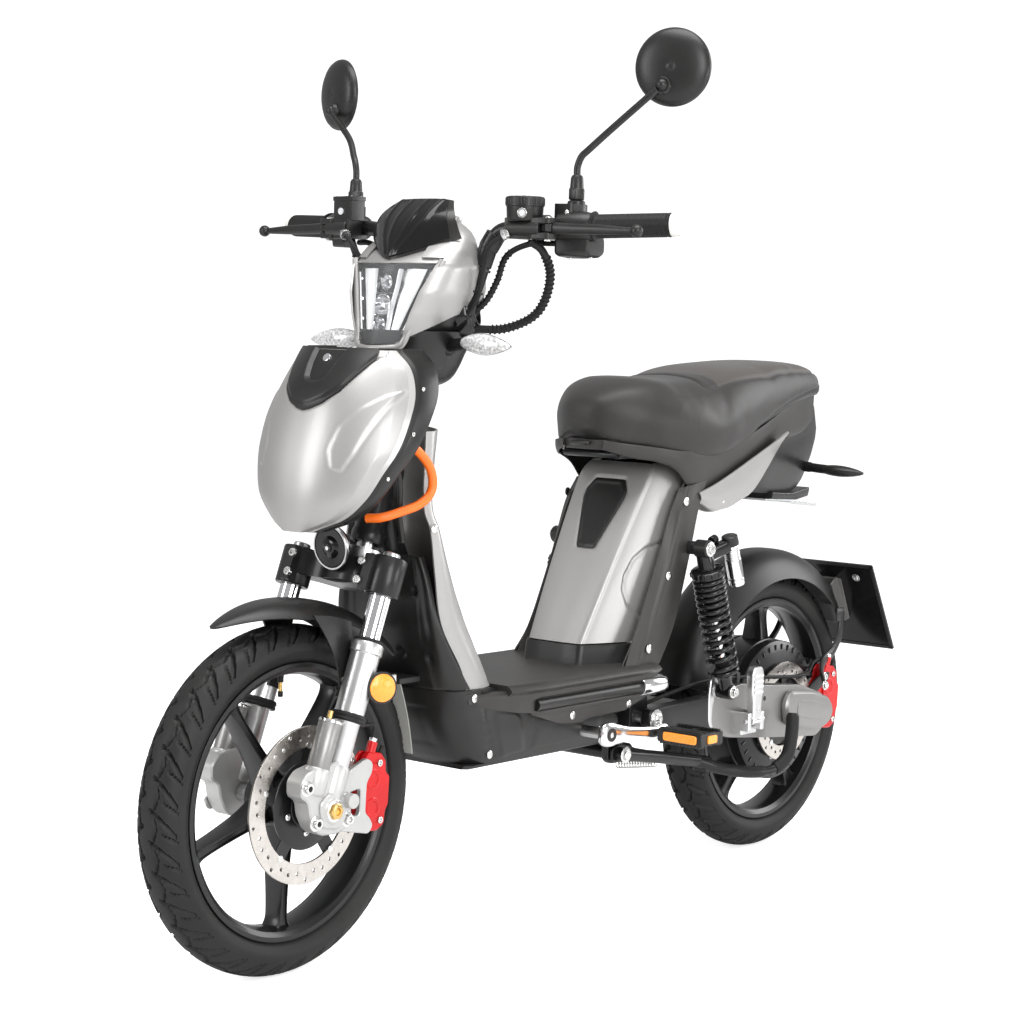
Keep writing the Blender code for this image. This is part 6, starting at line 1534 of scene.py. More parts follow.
# front lip that wraps the foot of the column
lip = []
for y, hw in ((.2780, .0985), (.2880, .0996), (.3000, .1014), (.3200, .1088), (.3400, .1144), (.3500, .1166)):
    inner = float(np.interp(y, [.278, .30, .335, .35], [.0988, .0985, .0900, .0400]))
    lip.append([(s_ * x, y, z) for s_, seq in ((1, ((inner, .3630), (inner + .002, .3660), (hw - .004, .3650), (hw, .3600), (hw - .001, .3520), (inner, .3510))),) for x, z in seq])
lipL = loft(lip)
fb += [("grey", lipL), ("grey", mirrored(lipL))]
fb.append(("grey", block(-.1150, .1150, .3462, .3600, .3520, .3655, .0015)))
for s in (1, -1):
    # outer side wall with its long recess
    wall = []
    for t in np.linspace(0, 1, 26):
        wall.append([(s * (float(np.interp(y, [.296, .330, .370, .420, .700], [.1004, .1120, .1204, .1246, .1240])) - .0030 * t ** 2), y,
                      .3585 - t * float(np.interp(y, [.296, .36, .43, .70], [.0125, .0255, .0345, .0345]))) for y in np.linspace(.296, .700, 96)])

    def wall_relief(G):
        Q = np.stack([G[..., 1], G[..., 2]], -1)
        d = signed(Q, [(.400, .3460), (.412, .3495), (.690, .3495), (.690, .3300), (.410, .3300), (.400, .3330)])
        return -.0040 * step(d, .0022)
    fb.append(("grey", sheet(np.array(wall), .0030 * -s, wall_relief)))
    fb.append(("black", tube([(s * .1195, .404, .3398), (s * .1195, .50, .3396), (s * .1195, .60, .3394), (s * .1190, .676, .3392)], .0088, 20)))
    fb.append(("polished", turned([(-.010, .0095), (-.010, .0138), (-.0085, .0148), (.0430, .0148), (.0440, .0138), (.0500, .0140), (.0512, .0130), (.0512, .0060), (.0480, .0055), (.0480, 0)], 44, (s * .1180, .668, .3400), (0, 1, 0))))
    lower = loft([[(s * x, y, z) for y, z in rnd([(.402, .3250), (.470, .3040), (.520, .3000), (.545, .3050), (.630, .3060), (.690, .3240), (.690, .3270), (.402, .3270)], .004, 3)] for x in (.1040, .1052, .1128, .1140)])
    fb.append(("grey", lower))
    for y, z in ((.640, .3150), (.500, .3130)):
        fb += [("bolt", h) for h in bolt((s * .1142, y, z), X1 * s, .0040, .0015, "button", True)]
# battery plinth
pl = []
for z, k, dy in ((.3612, 1.10, -.010), (.3640, 1.09, -.009), (.3680, 1.03, -.004), (.3720, 1.0, 0), (.3990, 1.0, .004), (.4022, .985, .005)):
    pl.append([(x * k, y + (dy if y < .68 else 0), z) for x, y in rnd([(-.089, .690), (-.089, .668), (-.054, .588), (-.026, .5845), (.026, .5845), (.054, .588), (.089, .668), (.089, .690)], .008, 5)])
fb.append(("black", loft(pl)))
fb.append(("grey", loft([[(x * k, y, z) for x, y in rnd([(-.106, .692), (-.106, .650), (-.066, .574), (-.030, .5690), (.030, .5690), (.066, .574), (.106, .650), (.106, .692)], .008, 4)] for z, k in ((.3605, 1.0), (.3650, 1.0), (.3680, .975))])))
for s in (1, -1):
    for y in (.3900, .5080):
        fb += [("bolt", h) for h in bolt((s * .1125, y, .3622), (0, 0, 1), .0042, .0015, "button", True)]
piece("footboard_floor", "frame", fb, "footboard", bevel=.0007, segs=2, angle=42)

# ------------------------------------------------------------------ main frame
fm = [("frame", turned([(.376, .0166), (.376, .0225), (.379, .0240), (.392, .0240), (.395, .0225), (.580, .0225), (.583, .0240), (.597, .0240), (.600, .0225), (.600, .0166)], 48, leg(0, 0, .035), SA, ring=True))]
down = cr([leg(.49, 0, .045), leg(.42, 0, .061), (0, .250, .500), (0, .285, .380), (0, .345, .312), (0, .436, .303)], 8)
fm.append(("frame", tube(down, .0185, 28)))
for s in (1, -1):
    rail = cr([(s * .063, .4245, .3022), (s * .065, .540, .3018), (s * .068, .640, .3021), (s * .072, .705, .325), (s * .080, .755, .430), (s * .086, .800, .590), (s * .076, .885, .678), (s * .058, 1.020, .714), (s * .040, 1.160, .741)], 8)
    fm.append(("frame", tube(rail, .0125, 20)))
    fm.append(("frame", plate(rnd([(.6797, .2585), (.7213, .2585), (.7260, .3000), (.7213, .3307), (.6797, .3307)], .008, 4), min(s * .0640, s * .088), max(s * .0640, s * .088), 0, .0012, [circle((.700, .285), .0086, 24)])))
    fm.append(("frame", plate(rnd([(.6541, .2200), (.6640, .2120), (.6820, .2120), (.6913, .2200), (.6913, .2966), (.6541, .2966)], .004, 3), min(s * .0537, s * .0661), max(s * .0537, s * .0661), 0, .0010, [circle((STAND[1], STAND[2]), .0115, 24)])))
    fm.append(("frame", plate(rnd([(.7705, .535), (.8005, .532), (.8080, .562), (.8060, .590), (.7790, .590)], .006, 4), min(s * .0860, s * .0930), max(s * .0860, s * .0930), 0, .0010)))
    fm.append(("frame", cyl((s * .092, .7865, .547), (s * .1286, .7865, .547), .0105, 24)))
    fm.append(("bolt", cyl((s * .1280, .7865, .547), (s * .1590, .7865, .547), .0050, 16)))
    fm += [("bolt", h) for h in bolt((s * .1552, .7865, .547), X1 * s, .0078, .0050, "socket", True)]
    fm.append(("frame", tube(cr([(s * .074, .882, .6765), (s * .062, .800, .690), (s * .050, .676, .691)], 8), .0060, 14)))
for a, b, r in (((-.0702, .4330, .3030), (.0702, .4330, .3030), .0143), ((-.0655, .5610, .2990), (.0655, .5610, .2990), .0093), ((-.0693, .6390, .3030), (.0693, .6390, .3030), .0101),
                ((-.088, .800, .592), (.088, .800, .592), .0110), ((-.042, 1.130, .7355), (.042, 1.130, .7355), .0080), ((-.052, .678, .691), (.052, .678, .691), .0055)):
    fm.append(("frame", cyl(a, b, r, 24)))
fm.append(("frame", turned([(-.0500, .0096), (-.0500, .0205), (-.0480, .0220), (.0480, .0220), (.0500, .0205), (.0500, .0096)], 40, CRANK, ring=True)))
for s in (1, -1):
    fm.append(("steel", turned([(.0495, .0096), (.0495, .0180), (.0520, .0180), (.0530, .0170), (.0530, .0096)], 24, CRANK, X1 * s, ring=True)))
fm.append(("frame", block(-.050, .050, .622, .738, .3660, .3745, .002)))
fm.append(("frame", block(-.066, .066, .7225, .738, .3662, .3743, .002)))
piece("frame_tubes", "frame", fm, "main_frame", bevel=.0006, segs=1, angle=42)

# ------------------------------------------------------------- battery housing
BAT = [(.404, .052, .592, .088, .690), (.470, .057, .626, .092, .722), (.540, .062, .664, .094, .750), (.610, .067, .704, .094, .782), (.655, .069, .732, .091, .806), (.678, .063, .750, .084, .812)]
BT = np.array(cr([np.array(r) for r in BAT], 8))


def bat_at(z):
    return [float(np.interp(z, BT[:, 0], BT[:, k])) for k in (1, 2, 3, 4)]


def bat_rows(n=84):
    rows = []
    for z in np.linspace(.678, .404, n):
        wf, yf, wr, yr = bat_at(z)
        r = [(-wr, yr, z), (-(wr * .8 + wf * .2), yr * .8 + yf * .2 + .0015, z), (-(wr * .6 + wf * .4), yr * .6 + yf * .4 + .002, z), (-(wr * .3 + wf * .7), yr * .3 + yf * .7 + .0035, z), (-(wf * .94 + wr * .06), yf + .013, z), (-wf * .92, yf + .004, z), (-wf * .5, yf + .0005, z), (0, yf, z)]
        r = r + [(-p[0], p[1], p[2]) for p in reversed(r[:-1])]
        rows.append(cr(r, 10))
    return np.array(rows)


BG = bat_rows()


def bat_relief(G):
    Q = np.stack([G[..., 1], G[..., 2]], -1)
    x = np.abs(G[..., 0])
    front = np.interp(G[..., 2], BT[:, 0], BT[:, 2])
    side = np.clip((G[..., 1] - front - .014) / .008, 0, 1)
    h = np.zeros(x.shape)
    line = [(.7900, .5650), (.7500, .5560), (.7180, .5470), (.6950, .5310), (.6780, .5060), (.6730, .4850), (.6790, .4620), (.6960, .4450), (.7200, .4370), (.7400, .4360)]
    d = line_dist(Q, line)
    h -= .0018 * np.exp(-(d / .0018) ** 2) * side
    pan = inside_poly(Q, line + [(.90, .43), (.90, .60)])
    h -= .0014 * step(np.where(pan, d, -d), .0025) * side
    P = np.stack([x, G[..., 2]], -1)
    b = signed(P, [(-.01, .6520), (.0290, .6520), (.0400, .6330), (.0395, .6200), (.0180, .5450), (-.01, .5430)])
    h -= .0018 * step(b + .0010, .0016) * (G[..., 1] < front + .01)
    top = G[..., 2] - .666
    h -= .0030 * np.clip(top / .012, 0, 1) ** 2
    return h


bt = [("silver", sheet(BG, -.0028, bat_relief))]
piece("battery_cover_silver", "frame", bt, "battery_cover", bevel=.0007, segs=2, angle=45)


def bat_y(x, z):
    wf, yf = bat_at(z)[:2]
    return yf + float(np.interp(abs(x) / wf, [0, .5, .75, .92, .98], [0, .0005, .0018, .004, .010]))


bad_rows = []
for t in np.linspace(0, 1, 50):
    z = .6505 - .106 * t
    hw = float(np.interp(z, [.5445, .5480, .6200, .6330, .6480, .6505], [.0150, .0180, .0388, .0392, .0300, .0275]))
    bad_rows.append([(u * hw, bat_y(u * hw, z) - .0010, z) for u in np.linspace(-1, 1, 33)])


def badge_relief(G):
    P = np.stack([np.abs(G[..., 0]), G[..., 2]], -1)
    d = signed(P, [(-.01, .6505), (.0275, .6505), (.0392, .6330), (.0388, .6200), (.0180, .5460), (-.01, .5445)])
    h = .0020 * step(d - .0022, .0016) - .0013 * step(d - .0068, .0030)
    return h


piece("battery_badge_plain", "frame", [("black", sheet(np.array(bad_rows), -.0022, badge_relief))], bevel=.0006, segs=2, angle=45)
piece("battery_box", "frame", [("grey", loft([[(x, y, z) for x, y in rnd([(-a, y0), (a, y0), (b_, y1), (-b_, y1)], .008, 4)] for z, a, y0, b_, y1 in ((.3758, .0455, .6185, .0595, .6995), (.3775, .0458, .6192, .0598, .7000), (.6380, .0498, .7375, .0618, .7845), (.6398, .0495, .7385, .0615, .7840))])),
                               ("black", tube(cr([(-.030, .762, .6395), (-.030, .762, .655), (0, .762, .662), (.030, .762, .655), (.030, .762, .6395)], 6), .0050, 14, flat=.6)),
                               ("bolt", turned([(0, 0), (0, .0080), (.002, .0080), (.003, .0070), (.003, 0)], 24, (.030, .7196, .600), (0, -1, 0)))],
      "battery_pack", bevel=.0008)

for s, tag in ((1, "left"), (-1, "right")):
    rows = [[(s * .1120, .628, .3655), (s * .1160, .665, .3655), (s * .1120, .720, .3695)],
            [(s * .1040, .664, .420), (s * .1160, .700, .420), (s * .112, .757, .430)],
            [(s * .1040, .712, .520), (s * .1180, .740, .520), (s * .1135, .787, .526)],
            [(s * .1020, .748, .600), (s * .1170, .768, .604), (s * .1140, .810, .608)],
            [(s * .1000, .774, .640), (s * .1130, .792, .645), (s * .112, .832, .650)]]
    G = smooth_rows(rows, 16, 16)

    def sp_relief(G):
        Q = np.stack([G[..., 1], G[..., 2]], -1)
        d = line_dist(Q, [(.655, .3660), (.688, .420), (.730, .520), (.760, .602), (.786, .645)])
        return .0016 * np.exp(-(d / .0028) ** 2)
    sp = [("grey", sheet(G, .0028 * s, sp_relief))]
    # inner web that closes the gap to the silver cover
    zs = (.366, .404, .440, .470, .540, .610, .655)
    web = [[(s * (bat_at(max(z, .404))[2] - .0035), bat_at(max(z, .404))[3] - .006 - (.404 - min(z, .404)) * .8, z) for z in zs], [(s * .1032, float(np.interp(z, [.366, .420, .520, .600, .640, .66], [.629, .665, .713, .749, .775, .790])), z) for z in zs]]
    sp.append(("grey", sheet(linear_rows(web, 4, 6), .0022 * -s)))
    for y, z in ((.7290, .5060), (.6830, .3960), (.7700, .6200)):
        sp += [("bolt", h) for h in bolt((s * .1178, y, z), X1 * s, .0046, .0018, "button", True)]
    piece("side_cover_" + tag, "frame", sp, "side_panel_" + tag, bevel=.0007, segs=2, angle=45)


# --------------------------------------------------------------- tail section
def side_patch(top, mid, bottom, s, nu=16, nv=8):
    rows = [[(s * p[0], p[1], p[2]) for p in line] for line in (top, mid, bottom)]
    return smooth_rows(rows, nu, nv)


tl = []
SEAT = [(.638, .022, .740, .768), (.652, .050, .722, .788), (.690, .085, .712, .805), (.740, .111, .704, .810), (.800, .127, .702, .806), (.870, .130, .704, .812), (.940, .124, .716, .826),
        (1.020, .116, .738, .832), (1.100, .107, .764, .835), (1.180, .091, .778, .832), (1.236, .070, .782, .824), (1.276, .034, .788, .808)]
for s in (1, -1):
    top = [(.1150, .806, .632), (.1160, .850, .645), (.1150, .900, .662), (.1120, .960, .683), (.1075, 1.020, .703), (.1010, 1.080, .722)]
    mid = [(.1145, .812, .624), (.1145, .856, .624), (.1120, .904, .634), (.1080, .958, .651), (.1030, 1.005, .671), (.0985, 1.076, .716)]
    bot = [(.1090, .816, .617), (.1080, .852, .604), (.1050, .900, .605), (.1000, .952, .618), (.0960, .996, .636), (.0945, 1.072, .709)]
    G = side_patch(top, mid, bot, s)

    def t_relief(G):
        Q = np.stack([G[..., 1], G[..., 2]], -1)
        d = line_dist(Q, [(.812, .632), (.860, .640), (.920, .656), (.990, .684), (1.080, .724)])
        return .0014 * np.exp(-(d / .0028) ** 2)
    tl.append(("silver", sheet(G, .0026 * s, t_relief)))
    under = [[(s * p[0], p[1], p[2]) for p in bot], [(s * (p[0] - .016), p[1] + .002, p[2] - .0030) for p in bot], [(s * (p[0] - .036), p[1] + .006, p[2] + .004) for p in bot]]
    tl.append(("silver", sheet(smooth_rows(under, 6, 6), .0024 * s)))
    tl += [("bolt", h) for h in bolt((s * .1122, .880, .6180), X1 * s, .0038, .0014, "button", True)]
piece("tail_panels_silver", "frame", tl, "tail_cover", bevel=.0007, segs=2, angle=45)

us = []
# deep shell under the seat with a stepped side
shell = []
for y, w, zt, zb in ((.654, .040, .7140, .6990), (.668, .060, .7110, .6930), (.690, .080, .7080, .6860), (.720, .098, .7040, .6815), (.760, .1100, .6990, .6660), (.806, .1130, .6985, .6240), (.860, .1100, .7000, .6290),
                     (.930, .1050, .7100, .6480), (1.000, .0970, .7300, .6740), (1.070, .0860, .7520, .7020), (1.130, .0760, .7760, .7080), (1.190, .0620, .7830, .7150), (1.236, .0480, .7870, .7300)):
    h = zt - zb
    shell.append([(-w, y, zt), (-w, y, zt - h * .18), (-w * .985, y, zt - h * .55), (-w * .93, y, zb + h * .10), (-w * .80, y, zb), (-w * .45, y, zb - .003), (0, y, zb - .004)])
    shell[-1] = shell[-1] + [(-p[0], p[1], p[2]) for p in reversed(shell[-1][:-1])]
SG = smooth_rows(shell, 8, 5)


def shell_relief(G):
    Q = np.stack([G[..., 1], G[..., 2]], -1)
    side = np.abs(G[..., 0]) > .05
    d = line_dist(Q, [(.62, .6975), (.70, .6930), (.80, .6860), (.90, .6960), (1.02, .7270), (1.12, .7540), (1.26, .7660)])
    return -.0018 * np.exp(-(d / .0016) ** 2) * side


# the shell is open where the rails and the battery pass, so it is cut into a ring of side walls and a rear floor
us.append(("grey", sheet(SG[:, :16], .0026, shell_relief)))
us.append(("grey", sheet(SG[:, -16:], .0026, shell_relief)))
us.append(("grey", sheet(SG[52:, 14:-14], .0026)))
nose = [[(x, .6525 + .0060 * (abs(x) / .040) ** 2 + dy, z) for x in np.linspace(-.041, .041, 15)] for z, dy in ((.7140, 0), (.7060, .001), (.6985, .004))]
us.append(("grey", sheet(nose, -.0026)))
for s in (1, -1):
    us += [("bolt", h) for h in bolt((s * .0700, .6940, .6970), unit([s * .60, -.75, -.2]), .0040, .0022, "button", True)]
piece("seat_base_shell", "frame", us, "underseat_shell", bevel=.0006, segs=2, angle=45)

tc = []
H_ = []
for y, w, zb, zt in ((1.036, .0740, .6350, .7200), (1.058, .0780, .6200, .7300), (1.108, .0720, .6140, .7450), (1.162, .0640, .6110, .7580), (1.205, .0560, .6150, .7660), (1.238, .0470, .6300, .7680), (1.260, .0400, .6500, .7600), (1.274, .0340, .6680, .7420)):
    h = zt - zb
    H_.append([(-w * .90, y, zt), (-w, y, zt - h * .30), (-w * .96, y, zt - h * .52), (-w * .80, y, zb + h * .18), (-w * .60, y, zb), (w * .60, y, zb), (w * .80, y, zb + h * .18), (w * .96, y, zt - h * .52), (w, y, zt - h * .30), (w * .90, y, zt)])
rings = [[tuple(p) for p in r] for r in H_]
dense = [cr([np.array(r[j]) for r in rings], 5) for j in range(len(rings[0]))]
rings = [[dense[j][i] for j in range(len(dense))] for i in range(len(dense[0]))]
tc.append(("black", loft(rings)))
# lamp lens across the tail
lamp = []
for y, w, z0, z1 in ((1.240, .0330, .6900, .7480), (1.262, .0325, .6860, .7440), (1.275, .0300, .6840, .7380), (1.2815, .0250, .6870, .7300), (1.2840, .0180, .6930, .7220)):
    zc, hh = (z0 + z1) / 2, (z1 - z0) / 2
    lamp.append([(w * math.copysign(abs(math.cos(a)) ** .6, math.cos(a)), y - .008 * math.sin(a), zc + hh * math.copysign(abs(math.sin(a)) ** .7, math.sin(a))) for a in np.linspace(0, 2 * math.pi, 41)[:-1]])
tc.append(("red_lens", loft(lamp)))
# plate light and pale flap under the tail
tc.append(("black", loft([[(x * k, y, z) for x, z in rnd([(-.046, z0 - .010), (.046, z0 - .010), (.050, z0 + .006), (-.050, z0 + .006)], .004, 3)] for y, k, z0 in ((1.120, 1.0, .610), (1.185, .95, .606), (1.258, .70, .612))])))
tc.append(("clear_frost", loft([[(x, y, z) for x, z in ((-w, z0), (w, z0), (w, z0 + .0030), (-w, z0 + .0030))] for y, w, z0 in ((1.100, .048, .6020), (1.225, .046, .5950), (1.285, .034, .5850), (1.298, .022, .5820))])))
for s in (1, -1):
    stalk = cr([(s * .020, 1.232, .656), (s * .048, 1.230, .655), (s * .070, 1.226, .654), (s * .098, 1.222, .653)], 6)
    tc.append(("rubber", tube(stalk, [.0088] * 8 + [.0078] * (len(stalk) - 8), 18)))
    rb, rl = [], []
    for t in np.linspace(0, 1, 15):
        x = s * (.086 + .070 * t)
        yc = 1.2235 + .0110 * t
        wd = .0165 * math.sin(math.pi * min(1, .16 + t * .82)) ** .7 * (1 - .25 * t)
        hh = .0115 * math.sin(math.pi * min(1, .18 + t * .80)) ** .6 * (1 - .15 * t)
        z = .6530 - .003 * t
        rb.append([(x, yc + wd * math.cos(a), z + hh * math.sin(a) * .9) for a in np.linspace(math.pi * .5 + .1, math.pi * 1.5 - .1, 12)] + [(x, yc + .0004, z + hh * math.sin(a) * .88) for a in np.linspace(-1.4, 1.4, 6)])
        rl.append([(x, yc + .0008 + wd * math.cos(a), z + hh * math.sin(a) * .9) for a in np.linspace(-math.pi * .5 + .06, math.pi * .5 - .06, 12)] + [(x, yc + .0006, z + hh * math.sin(a) * .86) for a in np.linspace(1.4, -1.4, 6)])
    tc.append(("black", loft(rb)))
    tc.append(("clear_frost", loft(rl)))
piece("tail_lamp_unit", "frame", tc, "tail_light_cluster", bevel=.0007, segs=2, angle=45)


# ----------------------------------------------------------------------- seat
def seat_mesh(inset=0.0):
    S = np.array(cr([np.array(r) for r in SEAT], 6))
    rings = []
    for y, w, z0, z1 in S:
        w, z0, z1 = w - inset, z0 + inset * .3, z1 - inset
        h = z1 - z0
        sk = .0200 * float(np.interp(y, [.638, .67, .76, .87, .96, 1.05], [.4, .6, 1, 1, .6, 0]))
        rings.append([(x * w, y, z0 + h * t) for x, t in ((-.74, 0), (-.885, .01 - sk / h), (-.955, .03 - sk * .85 / h), (-.992, .12 - sk * .4 / h), (-1.0, .38), (-.965, .62), (-.88, .80), (-.72, .915), (-.48, .975), (-.22, .998), (0, 1.0),
                                                         (.22, .998), (.48, .975), (.72, .915), (.88, .80), (.965, .62), (1.0, .38), (.992, .12 - sk * .4 / h), (.955, .03 - sk * .85 / h), (.885, .01 - sk / h), (.74, 0))])
    return loft(rings)


def soft_seat():
    v, f = seat_mesh(.0042)
    mesh = bpy.data.meshes.new("seat_cushion")
    mesh.from_pydata([(float(p[0]), float(p[1]) + YO, float(p[2])) for p in v], [], [tuple(q) for q in f])
    bm = bmesh.new()
    bm.from_mesh(mesh)
    bmesh.ops.recalc_face_normals(bm, faces=bm.faces)
    bm.to_mesh(mesh)
    bm.free()
    o = bpy.data.objects.new("seat_cushion", mesh)
    bpy.context.scene.collection.objects.link(o)
    bpy.context.view_layer.objects.active = o
    r = o.modifiers.new("remesh", "REMESH")
    r.mode, r.voxel_size = "VOXEL", .0055
    done = bpy.data.meshes.new_from_object(o.evaluated_get(bpy.context.evaluated_depsgraph_get()))
    o.modifiers.clear()
    o.data = done
    rest = np.array([p.co for p in done.vertices])
    c = o.modifiers.new("cloth", "CLOTH")
    st = c.settings
    st.quality = 5
    st.use_pressure = True
    st.uniform_pressure_force = 4
    st.effector_weights.gravity = 0
    st.tension_stiffness = st.compression_stiffness = 15
    st.bending_stiffness = .5
    sc = bpy.context.scene
    for k in range(1, 21):
        sc.frame_set(k)
    sim = bpy.data.meshes.new_from_object(o.evaluated_get(bpy.context.evaluated_depsgraph_get()))
    o.modifiers.clear()
    sc.frame_set(1)
    P = np.array([p.co for p in sim.vertices])
    if len(P) == len(rest):
        d = P - rest
        n = np.linalg.norm(d, axis=1, keepdims=True)
        cap = .0065
        d = d * np.minimum(1, cap / np.maximum(n, 1e-9))
        low = np.clip((rest[:, 2] - .712) / .02, 0, 1)[:, None]
        P = rest + d * (.25 + .75 * low)
        for v_, p in zip(done.vertices, P):
            v_.co = p
    for v_ in done.vertices:
        y = v_.co.y - YO
        z0 = float(np.interp(y, [r[0] for r in SEAT], [r[2] for r in SEAT])) + .0005 - (.0205 * float(np.interp(y, [.638, .67, .76, .87, .96, 1.05], [.4, .6, 1, 1, .6, 0])) if abs(v_.co.x) > .60 * float(np.interp(y, [r[0] for r in SEAT], [r[1] for r in SEAT])) else 0)
        if v_.co.z < z0:
            v_.co.z = z0
    s = o.modifiers.new("soft", "CORRECTIVE_SMOOTH") if False else o.modifiers.new("smooth", "SMOOTH")
    s.factor, s.iterations = .5, 14
    u = o.modifiers.new("sub", "SUBSURF")
    u.levels = u.render_levels = 1
    done2 = bpy.data.meshes.new_from_object(o.evaluated_get(bpy.context.evaluated_depsgraph_get()))
    o.modifiers.clear()
    o.data = done2
    return o


seat = soft_seat()
SB_ = [(.600, .0, .0), (.68, .095, .0)]


def panel_half(y):
    """Half width of the smooth top panel of the seat at y."""
    return float(np.interp(y, [.600, .885, .940, 1.020, 1.100, 1.180, 1.236, 1.262, 1.276], [.090, .092, .096, .092, .084, .070, .050, .028, .010]))


seat_co = np.array([v.co for v in seat.data.vertices])
seat_no = np.array([v.normal for v in seat.data.vertices])
P = np.stack([np.abs(seat_co[:, 0]), seat_co[:, 1] - YO], -1)
pw = np.interp(P[:, 1], *zip(*[(y, panel_half(y)) for y in np.linspace(.60, 1.312, 60)]))
up_ = np.clip(seat_no[:, 2] * 3, 0, 1)
dpan = pw - P[:, 0]
cross = np.abs(P[:, 1] - (.868 - .35 * P[:, 0] ** 1.0 * .6))
groove = -.0026 * np.exp(-(dpan / .0032) ** 2) * up_ * np.clip((P[:, 1] - .862) / .02, 0, 1)
groove += -.0034 * np.exp(-(cross / .0050) ** 2) * up_ * np.clip((pw + .004 - P[:, 0]) / .01, 0, 1)
new = seat_co + seat_no * groove[:, None]
seat.data.vertices.foreach_set("co", new.astype(np.float32).ravel())
seat.data.update()
seat.data.materials.clear()
seat.data.materials.append(MATS["vinyl"])
seat.data.materials.append(MATS["vinyl_top"])
for pol in seat.data.polygons:
    c = pol.center
    y = c.y - YO
    pol.material_index = 1 if (pol.normal.z > .35 and abs(c.x) < panel_half(y) and y > .885) else 0
seat.data.shade_smooth()
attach(seat, "saddle")
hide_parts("seat")
from mathutils.bvhtree import BVHTree
bvh = BVHTree.FromPolygons([v.co.copy() for v in seat.data.vertices], [tuple(p.vertices) for p in seat.data.polygons])


def on_seat(x, y):
    hit = bvh.ray_cast(Vector((x, y + YO, 1.2)), Vector((0, 0, -1)))
    return None if hit[0] is None else (hit[0].x, hit[0].y - YO, hit[0].z, hit[1])


base = []
for y, w, z0, z1 in [r for r in cr([np.array(r) for r in SEAT], 6) if .675 < r[0] < 1.262]:
    w *= .90
    base.append([(x * w, y, z0 + dz) for x, dz in ((-.90, -.0015), (-.955, .0040), (-.962, .0120), (-.930, .0140), (-.70, .0125), (.70, .0125), (.930, .0140), (.962, .0120), (.955, .0040), (.90, -.0015))])
piece("seat_pan", "saddle", [("black", loft(base)), ("black", cyl((-.018, .646, .7085), (.018, .646, .7085), .0032, 20)), ("black", block(-.016, .016, .648, .700, .7060, .7120, .002)),
                             ("bolt", tube(cr([(-.012, 1.185, .780), (-.012, 1.185, .766), (0, 1.185, .760), (.012, 1.185, .766), (.012, 1.185, .780)], 5), .0028, 12))],
      bevel=.0006, angle=50)


